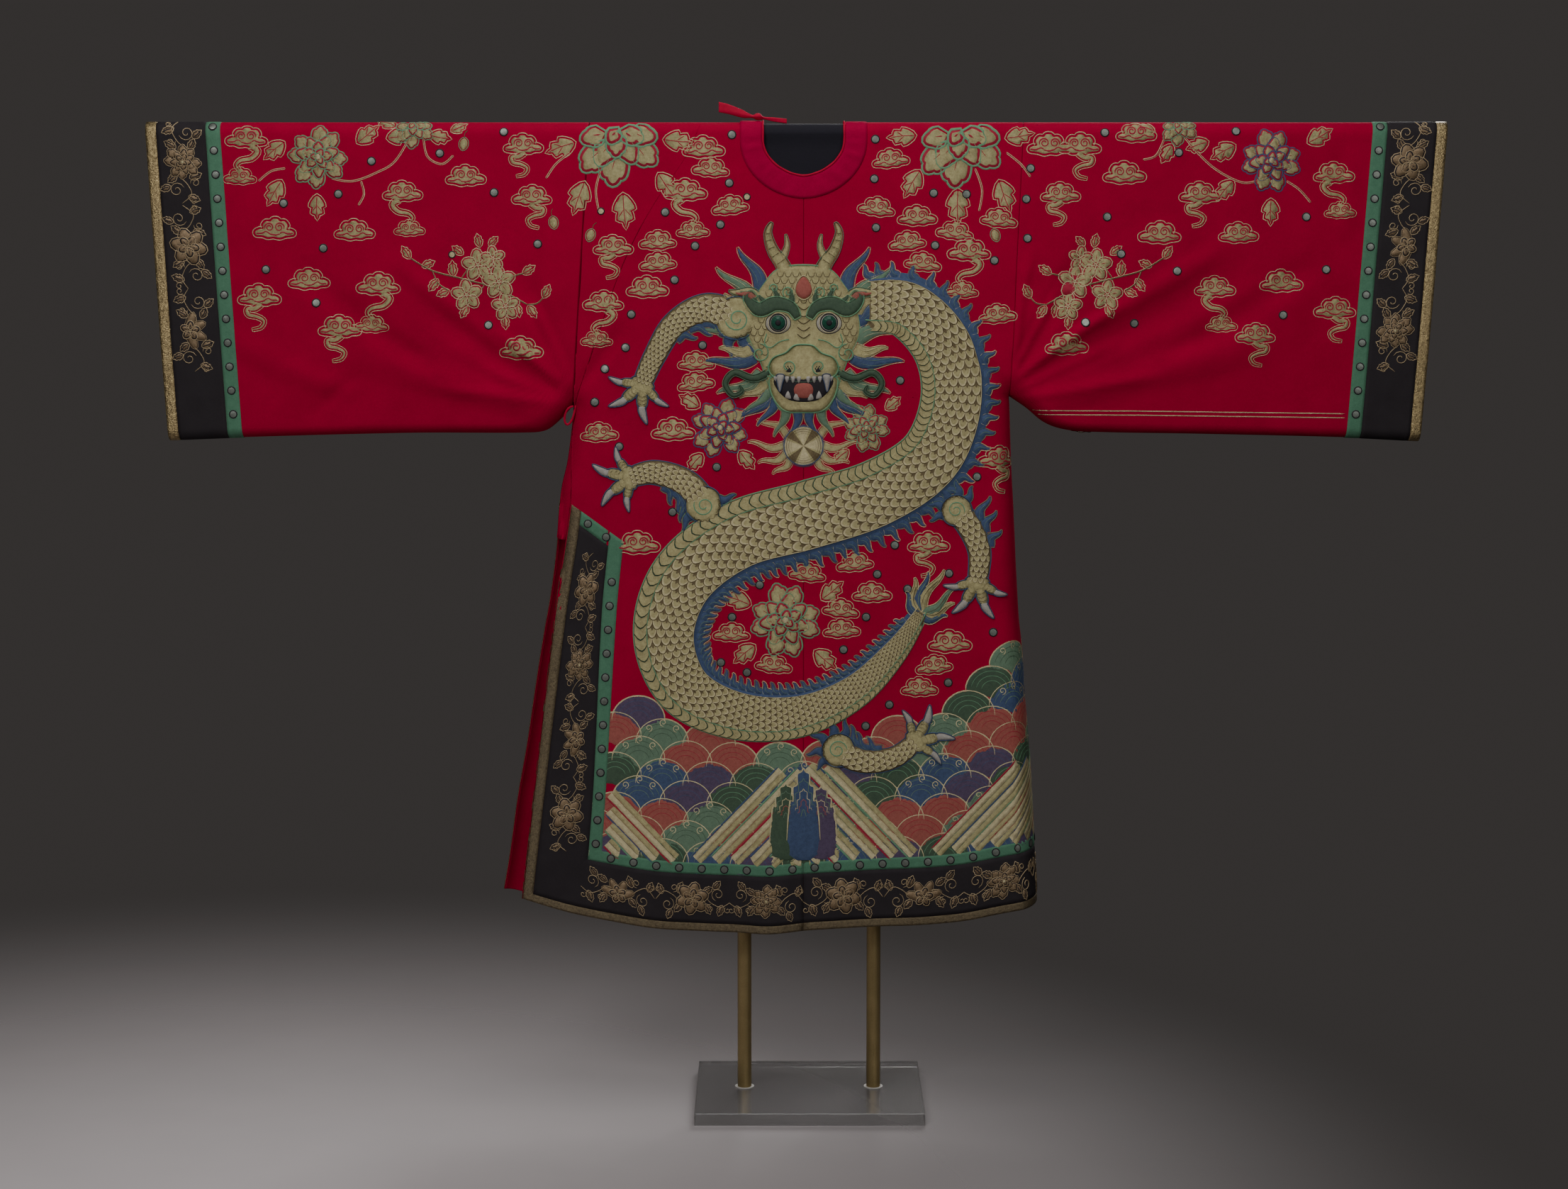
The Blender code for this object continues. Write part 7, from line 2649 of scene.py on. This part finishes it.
    def haunch(self) -> Stamp:
        """The rounded top of a leg, with a curl on it and flames behind it.

        Returns:
            The stamp, its middle at the origin.
        """
        drawn = Stamp()
        for turn, x, z in ((112, -26, -4), (146, -20, -20), (180, 0, -28), (-146, 20, -20),
                           (-112, 26, -4)):
            fire = Stamp().edged(flame(34, 17, 8), BLUE, MINT, 1.0, 1.5, 1.4)
            drawn.stamp(fire, x * 0.0009, z * 0.0009, turn)
        round_top = shape((0, 30), (22, 22), (31, 2), (22, -20), (0, -29), (-22, -20), (-31, 2),
                          (-22, 22))
        drawn.edged(round_top, GOLD, BLUE, 0.8, 2.2, 4.6, round_off=11)
        drawn.cord(spiral(0, -1, 18, 4, 120, 1.5, 26), JADE, 2.6, 0.8, 4.6)
        for turn in range(205, 338, 22):
            arc = polar(np.array([turn]), 0.0235) + polar(turn + np.linspace(-80, 80, 6), 0.0045)
            drawn.cord(arc, DEEP_GOLD, 1.5, 0.5, 3.9)
        return drawn

    def foot(self) -> Stamp:
        """A spread foot that points up: four toes, each with a curved white talon.

        Returns:
            The stamp, its middle at the origin.
        """
        drawn = Stamp()
        palm = mirrored((-16, -8), (-19, 6), (-9, 14), per=3)
        drawn.edged(palm, GOLD, BLUE, 1.2, 1.8, 3.0, round_off=7)
        toe = mirrored((-6, 0), (-8, 14), (-6, 26), (0, 30), per=3)
        talon = shape((-5, 0), (-5, 9), (1, 20), (8, 27), (7, 16), (5, 5), (4, 0), per=3)
        for turn, long in ((-72, 0.9), (-26, 1.1), (22, 1.1), (66, 0.9)):
            one = Stamp().edged(toe, GOLD, BLUE, 1.0, 1.8, 2.6, round_off=6)
            for z in (9, 15, 21):
                one.cord(path((-6, z), (0, z + 2.5), (6, z), per=2), DIM_GOLD, 1.3, 3.2)
            one.stamp(Stamp().edged(talon, WHITE, BLUE, 0.8, 1.4, 2.4, round_off=4), 0, 0.026,
                      lift=0.4)
            a = math.radians(turn)
            drawn.stamp(one, -0.010 * math.sin(a), 0.008 * math.cos(a), turn, long,
                        mirror=turn > 0, lift=0.3)
        return drawn

    def face_height(self, places: Array) -> Array:
        """Height of the padded face at places measured from its middle.

        Args:
            places: places, one row each.

        Returns:
            The heights in metres, 0 beside the face.
        """
        z = places[:, 1] + self.middle[1]
        rows = np.array(FACE_ROWS) * MM
        half = np.maximum(np.interp(z, rows[:, 0], rows[:, 1]), 1e-4)
        ends = np.clip(np.minimum(z - rows[0, 0], rows[-1, 0] - z) / 0.05 + 0.25, 0, 1)
        across = np.minimum(np.abs(places[:, 0]) / half, 1.0)
        inside = (z > rows[0, 0]) & (z < rows[-1, 0])
        return np.where(inside, PAD_BASE + self.crown * ends * (1 - across ** 2.5), 0.0)

    def both(self, drawn: Stamp, part: Stamp, **place: float) -> None:
        """Add a part and its mirror image about the face's middle."""
        whole = Stamp().stamp(part, **place)
        drawn.stamp(whole).stamp(whole, mirror=True)

    def build_head(self) -> None:
        """The facing head: mane, horns, face, brows, muzzle, teeth, beard and whiskers."""
        back, face = Stamp(), Stamp(self.face_height)
        self.mane(back)
        self.horns(back)
        self.skull(face)
        self.muzzle(face)
        Needlework(self.drape, "dragon_mane").place(back, *self.middle).make()
        head = Needlework(self.drape, "dragon_face").place(face, *self.middle).make()
        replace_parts(head, "dragon_head")

    def mane(self, back: Stamp) -> None:
        """Flames that stream up and out behind the head.

        Args:
            back: the stamp that takes them.
        """
        for turn, x, z, long, wide, curl, thread in (
                (-132, 58, -92, 78, 26, 16, BLUE), (-112, 70, -66, 84, 26, 14, MINT),
                (-94, 82, -38, 88, 28, 12, BLUE), (-78, 88, -12, 86, 28, -12, MINT),
                (-62, 90, 14, 92, 28, -14, BLUE), (-46, 84, 44, 92, 28, -14, MINT),
                (-30, 72, 70, 84, 26, -12, BLUE), (-120, 64, -80, 52, 20, 10, GOLD),
                (-86, 86, -26, 56, 22, 10, GOLD), (-54, 88, 30, 58, 22, -10, GOLD)):
            outline = flame(long, wide, curl)
            one = Stamp().edged(outline, thread, PALE_GOLD, 1.2, 1.5, 1.6)
            for hand in (-0.16, 0.16):
                core = flame_line(long, curl)[2:10] + (hand * wide * MM, 0.0)
                one.cord(core, MINT if thread is BLUE else PALE_GOLD, 1.3, 0.8, 1.2)
            self.both(back, one, x=x * MM, z=z * MM, angle=turn,
                      lift=0.5 if thread is GOLD else 0.0)

    def horns(self, back: Stamp) -> None:
        """Two branched horns and the ears below them.

        Args:
            back: the stamp that takes them.
        """
        horn = path((26, 78), (34, 112), (52, 140), (60, 168), (54, 186), per=7)
        t = np.linspace(0, 1, len(horn))
        tine = path((38, 122), (28, 146), (30, 166), per=7)
        ear = flame(50, 26, -8)
        part = Stamp().edged(widened(tine, 0.006 * (1 - np.linspace(0, 1, len(tine))) + 0.001),
                             GOLD, MINT, 1.0, 1.5, 2.0)
        part.edged(widened(horn, 0.0125 * (1 - t) ** 0.8 + 0.0015), GOLD, MINT, 1.2, 1.7, 3.4,
                   round_off=8)
        for k in range(3, len(horn) - 6, 3):
            half = 0.0105 * (1 - t[k]) ** 0.8
            _, left = ways(horn)
            rib = horn[k] + left[k] * np.linspace(-half, half, 5)[:, None]
            part.cord(rib, DIM_GOLD, 1.4, 1.0, 3.0)
        part.stamp(Stamp().edged(ear, GOLD, MINT, 1.2, 1.7, 3.0, round_off=6), 0.078, 0.056,
                   -74, lift=1.0)
        part.stamp(Stamp().pad(flame(32, 12, -6), CORAL, 1.2), 0.084, 0.058, -74, lift=4.0)
        self.both(back, part)

    def skull(self, face: Stamp) -> None:
        """The padded face with its scaled cheeks, brows and eye sockets.

        Args:
            face: the stamp that takes it.
        """
        rows = [(half, z - 1330) for z, half in FACE_ROWS]
        outline = mirrored(*rows, per=5)
        face.pad(outline, GOLD, 1.2, 0.0, 6.0, 5.0)
        face.stamp(Stamp().cord(outline, JADE, 3.0, 2.4, closed=True))
        for z in range(-100, 100, 11):
            half = float(np.interp(z + 1330, *np.transpose(FACE_ROWS)))
            for k in range(-7, 8):
                x = k * 13 + 6.5 * (z // 11 % 2)
                if abs(x) < half - 7 and not (abs(x) < 62 and -112 < z < 52):
                    face.cord(path((x - 6, z + 6), (x - 4, z - 1), (x, z - 3), (x + 4, z - 1),
                                   (x + 6, z + 6), per=2), DEEP_GOLD, 1.8, 0.9, 1.0)
        part = Stamp(self.face_height)
        part.edged(circle(21, 0.57, 43, 17, tall=17), WHITE, INK, 0.6, 2.0, 0.9, 1.1, 6.0)
        ring = circle(14.5, 0.57, 43, 18)
        part.cord(ring, INK, 3.0, 1.8, 1.6, closed=True)
        part.cord(grown(ring, 0.0022), PALE_GOLD, 1.8, 1.4, 1.6, closed=True)
        brow = path((10, 26), (22, 44), (48, 50), (72, 40), (88, 48), (96, 62), (88, 70),
                    (80, 62), per=6)
        t = np.linspace(0, 1, len(brow))
        part.edged(widened(brow, 0.0095 * np.sin(np.clip(t * 1.1 + 0.12, 0, 1) * math.pi) + 0.002),
                   LEAF, JADE, 1.0, 2.2, 2.6, 1.2, 5.0, 6.0)
        for k in range(5):
            tuft = Stamp().edged(flame(24 - 2 * k, 11, -5), LEAF, MINT, 0.8, 1.3, 1.6)
            part.stamp(tuft, *(brow[7 + 5 * k] + (0, 0.004)), 10 - 16 * k, lift=1.4,
                       grounded=True)
        for radius, x, z, start, turns in ((17, 74, -34, 90, 1.4), (11, 58, -66, 60, 1.2),
                                           (10, 26, 70, -60, 1.3), (8, 50, 76, -20, 1.2)):
            part.cord(spiral(x, z, radius, 2.5, start, turns, 24), JADE, 2.4, 1.6, 1.2)
        part.cord(path((62, 0), (66, -16), (56, -24), (40, -14), (24, -10), per=5), JADE, 2.2,
                  1.4, 1.2)
        self.both(face, part)
        face.edged(mirrored((0, 96), (11, 84), (13, 68), (0, 58), per=5), CORAL, PALE_GOLD, 1.4,
                   1.8, 2.6, 1.2, 5.0, 6.0)
        for z in (-6, 6, 18, 30, 42):
            face.cord(path((-11, z + 5), (0, z - 2), (11, z + 5), per=4), DEEP_GOLD, 2.0, 1.3,
                      1.2)

    def muzzle(self, face: Stamp) -> None:
        """The nose, mouth, teeth, beard and whiskers.

        Args:
            face: the stamp that takes them.
        """
        jaw = mirrored((0, -132), (30, -130), (48, -112), (56, -88), (50, -74), (0, -80))
        face.edged(jaw, GOLD, JADE, 1.6, 2.8, 2.6, 1.0, 5.0, 7.0)
        mouth = mirrored((0, -116), (26, -112), (44, -96), (50, -78), (26, -72), (0, -74))
        face.pad(mouth, INK, 0.8, 3.6, 3.0, 6.0)
        tongue = mirrored((0, -110), (13, -106), (17, -94), (10, -84))
        face.pad(tongue, CORAL, 2.2, 4.2, 7.0, 5.0)
        snout = mirrored((0, -20), (16, -22), (30, -34), (50, -42), (58, -58), (50, -72),
                         (28, -74), (12, -80))
        face.edged(snout, GOLD, JADE, 1.2, 2.8, 5.0, 1.2, 4.5, 14.0)
        part = Stamp(self.face_height)
        for x, wide, long in ((8, 8, 11), (18, 8, 11), (28, 8, 10), (47, 7, 8)):
            tooth = shape((x - wide / 2, -73), (x, -73 - long), (x + wide / 2, -73), per=3)
            part.pad(tooth, WHITE, 2.0, 5.2, 3.0, 5.0)
        fang = shape((33, -70), (36, -84), (40, -98), (44, -84), (45, -70))
        part.edged(fang, WHITE, BLUE, 0.6, 1.3, 3.0, 5.2, 4.0, 5.0)
        for x in (12, 26):
            lower = shape((x - 5, -115 + x * 0.2), (x, -102 + x * 0.2), (x + 5, -113 + x * 0.2),
                          per=3)
            part.pad(lower, WHITE, 2.0, 4.8, 3.0, 5.0)
        nostril = shape((14, -60), (20, -66), (32, -64), (36, -54), (28, -48), (18, -51))
        part.pad(nostril, INK, 0.8, 5.4, 3.0, 5.0)
        part.cord(spiral(26, -56, 13, 5, -100, -0.95, 18), JADE, 3.0, 2.0, 5.8)
        whisker = path((52, -62), (84, -76), (116, -66), (132, -84), (120, -104), (104, -98),
                       (108, -88), per=6)
        t = np.linspace(0, 1, len(whisker))
        free = Stamp().edged(widened(whisker, 0.0052 * (1 - t) ** 0.6 + 0.0008), LEAF, MINT, 0.8,
                             1.4, 3.0, 3.0, 5.0, 4.0)
        for turn, x, z, long, thread in ((-168, 12, -128, 48, BLUE), (-156, 30, -124, 54, MINT),
                                         (-144, 46, -108, 58, BLUE), (-132, 56, -92, 60, MINT)):
            tuft = Stamp().edged(flame(long, 16, 8), thread, PALE_GOLD, 1.0, 1.3, 1.8)
            free.stamp(tuft, x * MM, z * MM, turn, lift=0.4)
        self.both(face, part.stamp(free))


@dataclass
class Pearl:
    """The flaming pearl below the head, couched in rings, with a painted sheen in pale, mid and
    brown gold wedges.
    """

    drape: Drape
    front: Ground
    place: tuple[float, float] = (CENTRE, 1.140)
    room: float = 0.080
    radius: float = 33.0

    def build(self) -> None:
        """Stitch the pearl and its flames."""
        self.front.take(*self.place, self.room)
        degrees = np.arange(0, 360, 9)
        drawn = Stamp()
        for angle, long, curl in ((-108, 52, 12), (-84, 64, 12), (-62, 60, -12), (84, 64, -12),
                                  (108, 52, -12), (62, 60, 12), (-130, 40, 10), (130, 40, -10)):
            drawn.spoke(Stamp().edged(flame(long, 13, curl), GOLD, PALE_GOLD, 1.4, 1.3, 1.2),
                        angle, 0.030)
        rim = polar(degrees, MM)
        points = np.vstack([np.column_stack([rim * self.radius * share, np.full(40, high * MM)])
                            for share, high in ((1.0, 0.6), (0.94, 2.0), (0.5, 2.7))]
                           + [[[0.0, 0.0, 0.0029]]])
        rings = quads(2, 40, True)
        # Painted sheen: each 9 degree wedge takes pale, mid or brown gold by |cos 2a|, a conical
        # highlight painted into the colour.
        for k, angle in enumerate(degrees):
            painted_sheen = abs(math.cos(2 * math.radians(angle)))
            thread = PALE_GOLD if painted_sheen > 0.70 else GOLD if painted_sheen > 0.35 else DIM_GOLD
            drawn.raw(points, [rings[k], rings[40 + k], (80 + k, 80 + (k + 1) % 40, 120)], thread)
        for radius in np.arange(5.0, self.radius - 2, 4.0):
            drawn.cord(rim * radius, DEEP_GOLD, 0.7, 0.4, 2.3, closed=True)
        drawn.cord(rim * self.radius, BLUE, 3.0, 2.4, closed=True)
        drawn.cord(rim * (self.radius + 2.6), PURPLE, 1.6, 1.2, closed=True)
        made = Needlework(self.drape, "pearl_couching").place(drawn, *self.place).make()
        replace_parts(made, "pearl")


@dataclass
class Sea:
    """Slanting stripes of standing water, with rows of waves and a rock behind them."""

    drape: Drape
    cut: Cut
    front: Ground
    back: Ground
    shore: tuple[tuple[float, float], ...] = ((-0.36, 0.76), (-0.25, 0.70), (-0.10, 0.655),
                                              (0.0, 0.64), (0.19, 0.68), (0.31, 0.79),
                                              (0.48, 0.84))
    sides: list[Border] = field(default_factory=list)

    def build(self) -> None:
        """Stitch the sea across the front and the back."""
        for name, face, ground in (("front_sea", FRONT, self.front),
                                   ("back_sea", BACK, self.back)):
            work = Needlework(self.drape, name)
            self.sides = [Border(self.drape, self.cut, name, side, face)
                          for side in (RIGHT, LEFT)]
            self.waves(work, face, ground)
            self.stripes(work, face)
            self.rock(work, face)
            work.make()

    def floor(self, u: Array, face: int) -> Array:
        """Height of the green band's upper edge under places across.

        Args:
            u: places across.
            face: front or back.

        Returns:
            The heights.
        """
        u = np.asarray(u, float)
        right = self.cut.hem(RIGHT, u, face)
        return np.where(u < CENTRE, right, self.cut.hem(LEFT, u, face)) + HEM_BORDER[2]

    def ends(self, z: float) -> tuple[float, float]:
        """Where the bands up the two slits begin at a height."""
        return tuple(float(border.edge(np.array(z)) - border.side * border.offsets(
            np.array(z), 1.0, 2)) for border in self.sides)

    def stripes(self, work: Needlework, face: int) -> None:
        """Slanting stripes that meet in peaks and valleys, their ends under the bands.

        Args:
            work: the needlework that takes them.
            face: front or back.
        """
        left, right = self.ends(0.46)
        pitch, threads, t = 0.0325, (THREAD_RED, BLUE, JADE), np.linspace(0.02, 1, 26)
        for k, (start, end, rise) in enumerate(((left, -0.19, -1), (-0.185, CENTRE, 1),
                                                (CENTRE, 0.215, -1), (0.222, right, 1))):
            for n in range(int((end - start) / pitch) + 1):
                foot = pitch * (n + 0.35)
                u = end - foot if rise < 0 else start + foot
                long = min((u - start if rise < 0 else end - u) + 0.012, 0.150)
                x = u + rise * long * t
                z = np.maximum(self.floor(np.full(x.shape, u), face) + long * 1.04 * t,
                               self.floor(x, face) + 0.004)
                low, high = np.array([self.ends(float(h)) for h in z]).T
                inside = (x > low + 0.008) & (x < high - 0.008)
                if inside.sum() < 5:
                    continue
                line = np.column_stack([x, z])[inside]
                _, normal = ways(line)
                one = Stamp()
                for out, half, thread in ((-0.0052, 0.0046, GOLD), (0.0046, 0.0050, PALE_GOLD)):
                    one.pad(widened(line + normal * out, half), thread, 0.35, 0.85, 2.0, 7.0)
                one.cord(line + normal * 0.0112, threads[(n + k) % 3], 2.6, 0.45, 0.85)
                work.place(one, face=face)

    def wave(self, thread: Finish, pale: Finish, size: float, foam: bool = False) -> Stamp:
        """A fan-shaped wave with rings inside it.

        Args:
            thread: its body.
            pale: its rings.
            size: its half width in millimetres.
            foam: whether curls of foam stand on it.

        Returns:
            The stamp, its foot at the origin.
        """
        top = polar(np.linspace(0, 180, 17), size) * (1, 0.92)
        outline = np.vstack([top, [(-size, -12), (0, -16), (size, -12)]]) * MM
        drawn = Stamp().pad(outline, thread, 0.25, 0.0, 3.0, 8.0)
        drawn.cord(top * MM, PALE_GOLD, 2.6, 0.25, 0.25)
        for share in (0.80, 0.60, 0.40):
            drawn.cord(top[1:-1] * share * MM, pale, 2.0, 0.2, 0.22)
        for x in (-0.5, 0.05, 0.55) if foam else ():
            curl = spiral(x * size, size * (0.80 - 0.45 * abs(x)), size * 0.15, 1.6, -90,
                          1.2 if x <= 0 else -1.2, 12)
            drawn.cord(curl, PALE_GOLD, 2.4, 0.3, 0.25)
        return drawn

    def waves(self, work: Needlework, face: int, ground: Ground) -> None:
        """Overlapping rows of waves, higher towards the wearer's left side.

        Args:
            work: the needlework that takes them.
            face: front or back.
            ground: the room that they take up.
        """
        colours = ((LEAF, JADE), (CORAL, THREAD_RED), (BLUE, MINT), (MINT, LEAF),
                   (PURPLE, BLUE), (CORAL, THREAD_RED))
        stamps = [self.wave(*pair, size=45, foam=k in (2, 3))
                  for k, pair in enumerate(colours)]
        shore = np.array(self.shore)
        for row in range(11, -1, -1):
            for k in range(-6, 8):
                x = CENTRE + 0.080 * k + 0.040 * (row % 2)
                z = float(self.floor(np.array([x]), face)[0]) + 0.034 * row - 0.004
                left, right = self.ends(z)
                if left - 0.02 < x < right + 0.03 and z < np.interp(
                        x * -face if face == BACK else x, shore[:, 0], shore[:, 1]) - 0.030:
                    work.place(stamps[(3 * row + 2 * k + row // 2) % 6], x, z, face=face,
                               lift=0.03 * (11 - row) + 0.012 * (k % 2))
                    ground.take(x, z, 0.050)

    def rock(self, work: Needlework, face: int) -> None:
        """A stepped rock of three columns in the middle of the sea.

        Args:
            work: the needlework that takes it.
            face: front or back.
        """
        for x, tall, wide, thread, lift in ((-0.030, 62, 24, LEAF, 1.2),
                                            (0.030, 56, 24, PURPLE, 1.2),
                                            (0.0, 88, 25, BLUE, 1.6)):
            half = ((wide, -60), (wide * 0.95, tall * 0.30), (wide * 0.70, tall * 0.36),
                    (wide * 0.72, tall * 0.62), (wide * 0.42, tall * 0.68),
                    (wide * 0.42, tall * 0.88), (wide * 0.14, tall * 0.93))
            outline = mirrored(*((-a, b) for a, b in half), (0, tall), per=3)
            rock = Stamp().pad(outline, thread, 0.4, 0.0, 4.0, 7.0)
            rock.cord(outline[1:-3], PALE_GOLD, 2.4, 0.35, 0.3)
            for share, line in ((0.80, MINT), (0.60, PALE_GOLD), (0.40, CORAL), (0.20, MINT)):
                rock.cord(outline[3:-5] * share, line, 2.2, 0.3, 0.36)
            work.place(rock, CENTRE + x, 0.505, face=face, lift=lift)


# ---------------------------------------------------------------- stand and studio

@dataclass(frozen=True)
class Stand:
    """The brass, acrylic and padded stand, whose solids keep their shapes."""

    looks: tuple[tuple[str, Finish], ...] = (
        ("stand_base", ACRYLIC), ("stand_post_right", BRASS), ("stand_post_left", BRASS),
        ("stand_washer_right", NYLON), ("stand_washer_left", NYLON),
        ("stand_arm_right", NAVY), ("stand_arm_left", NAVY))

    def dress(self) -> None:
        """Give each of the stand's solids its finish."""
        for node, finish in self.looks:
            dress_node(node, finish)


@dataclass(frozen=True)
class NeckBoard:
    """The stretched cover of the padded neck board, with a seam round its face."""

    ends: tuple[float, float] = (-0.2035, 0.2475)
    low: float = 1.36
    corner: float = 0.12
    half: float = 0.0155
    top: float = 0.0175

    def build(self) -> None:
        """Stretch the cover over the board and sew its edge."""
        middle, reach = sum(self.ends) / 2, (self.ends[1] - self.ends[0]) / 2
        shares = np.sin(np.linspace(-1, 1, 45) * math.pi / 2)
        x = middle + reach * shares
        into = np.clip((np.abs(x - middle) - reach + self.corner) / self.corner, 0, 1)
        low = self.low + self.corner * (1 - np.sqrt(1 - into * into))
        over = np.radians(np.linspace(-90, 90, 15))
        down = np.linspace(0, 1, 14)
        under = np.radians(np.linspace(20, 160, 7))
        rows = []
        for place, foot in zip(x, low):
            side_z = mix(BAR_Z - 0.006, foot + self.half, down)
            fold = 0.0004 * np.sin(34 * place + 46 * side_z)
            swell = self.half * (1 - 0.05 * np.cos(down * math.pi) ** 6) + fold
            y = np.concatenate([self.top * np.sin(over), swell, self.half * np.cos(under),
                                -swell[::-1]])
            z = np.concatenate([BAR_Z + self.top * np.cos(over), side_z,
                                foot + self.half * (1 - np.sin(under)), side_z[::-1]])
            rows.append(np.column_stack([np.full(y.shape, place), y, z]))
        faces = capped(len(rows) - 1, len(rows[0]))
        cover = make_object("neck_board_cover", np.vstack(rows), faces, [NAVY])
        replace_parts(cover, "stand_board")


def dress_node(node: str, finish: Finish) -> None:
    """Give every mesh of a carried-over node one finish.

    Args:
        node: the node's name.
        finish: what it takes on.
    """
    for thing in bpy.data.objects:
        if thing.type == "MESH" and thing.name.split(".")[0] == node:
            thing.data.materials.clear()
            thing.data.materials.append(finish.material())


@dataclass(frozen=True)
class Studio:
    """A pale floor with a painted pool of light that fades into a dim surround, soft light and the
    camera.
    """

    eye: tuple[float, float, float] = (-0.021, -5.0, 1.60)
    pitch: float = 4.53
    lens: float = 67.65
    shift: float = -0.12
    # centre and radius of the floor's painted pool of light, left of and in front of the robe
    middle: tuple[float, float, float] = (-0.95, -0.65, 0.0)
    reach: float = 2.2

    def build(self) -> None:
        """Build the floor, the surround, the lights and the camera."""
        self.build_floor()
        self.build_lights()
        data = bpy.data.cameras.new("view")
        data.lens, data.sensor_width, data.shift_y = self.lens, 36.0, self.shift
        data.dof.use_dof = False
        camera = bpy.data.objects.new("view", data)
        camera.location = self.eye
        camera.rotation_euler = (math.radians(90 - self.pitch), 0.0, 0.0)
        bpy.context.scene.collection.objects.link(camera)
        bpy.context.scene.camera = camera

    def build_floor(self) -> None:
        """The floor: a painted pool of light round its middle, which thins out evenly all round
        into the surround.
        """
        surface = Finish("pale_floor", (0.50, 0.455, 0.455), (0.47, 0.43, 0.43), 0.7,
                         grain=0.6, thread=0.02, bump=0.02).material()
        tree = surface.node_tree
        place = tree.nodes.new("ShaderNodeTexCoord")
        # Painted pool of light: pale where the gradient is high near the middle, fading to clear
        # away from it.
        fade = add_node(tree, "TexGradient", {"Vector": place.outputs["Object"]})
        fade.gradient_type = "SPHERICAL"
        light_pool_fade = add_node(tree, "MapRange", {"Value": fade.outputs["Fac"]})
        light_pool_fade.interpolation_type = "SMOOTHSTEP"
        clear = tree.nodes.new("ShaderNodeBsdfTransparent")
        join = add_node(tree, "MixShader", {"Fac": light_pool_fade.outputs["Result"],
                                            1: clear.outputs[0],
                                            2: tree.nodes["Principled BSDF"].outputs[0]})
        tree.links.new(join.outputs[0], tree.nodes["Material Output"].inputs["Surface"])
        mesh = bpy.data.meshes.new("studio_floor")
        mesh.from_pydata([(-1, -1, 0), (1, -1, 0), (1, 1, 0), (-1, 1, 0)], [], [(0, 1, 2, 3)])
        mesh.materials.append(surface)
        floor = bpy.data.objects.new("studio_floor", mesh)
        floor.location, floor.scale = self.middle, (self.reach,) * 3
        bpy.context.scene.collection.objects.link(floor)

    def build_lights(self) -> None:
        """Soft panels before, over and behind the robe, and a dim even surround."""
        for name, place, turn, size, power in (
                ("key", (-1.6, -3.4, 3.6), (52, 0, -22), 1.6, 76),
                ("fill", (2.0, -3.8, 2.6), (64, 0, 26), 2.2, 44),
                ("top", (0.0, -0.9, 3.5), (10, 0, 0), 1.8, 28),
                ("back", (1.0, 3.4, 3.0), (-58, 0, -16), 2.0, 105)):
            data = bpy.data.lights.new(name, "AREA")
            data.energy, data.size = power, size
            lamp = bpy.data.objects.new(name, data)
            lamp.location = place
            lamp.rotation_euler = tuple(math.radians(a) for a in turn)
            bpy.context.scene.collection.objects.link(lamp)
        world = bpy.data.worlds.new("surround")
        world.use_nodes = True
        world.node_tree.nodes["Background"].inputs["Color"].default_value = (0.54, 0.49, 0.47, 1)
        world.node_tree.nodes["Background"].inputs["Strength"].default_value = 0.075
        bpy.context.scene.world = world


def main() -> None:
    """Build the robe's cloth, trim and needlework, then the stand and the studio."""
    logging.basicConfig(level=logging.INFO, format="%(name)s: %(message)s")
    drape = Drape()
    cut = Cut(drape)
    cloth = RobeCloth(drape, cut)
    cloth.build()
    for name, side, face in (("flap_border", RIGHT, FRONT), ("front_border", LEFT, FRONT),
                             ("back_right_border", RIGHT, BACK),
                             ("back_left_border", LEFT, BACK)):
        Border(drape, cut, name, side, face).build()
    for side in (RIGHT, LEFT):
        Cuff(drape, cloth, side).build()
    Neck(drape).build()
    log.info("cloth and trim built")
    front, back = Ground(), Ground()
    Sea(drape, cut, front, back).build()
    Dragon(drape, front).build()
    Pearl(drape, front).build()
    Scatter(drape, front, back).build()
    ScrollWork(drape, cut).build()
    log.info("needlework built")
    Stand().dress()
    NeckBoard().build()
    Studio().build()


if __name__ == "__main__":
    main()
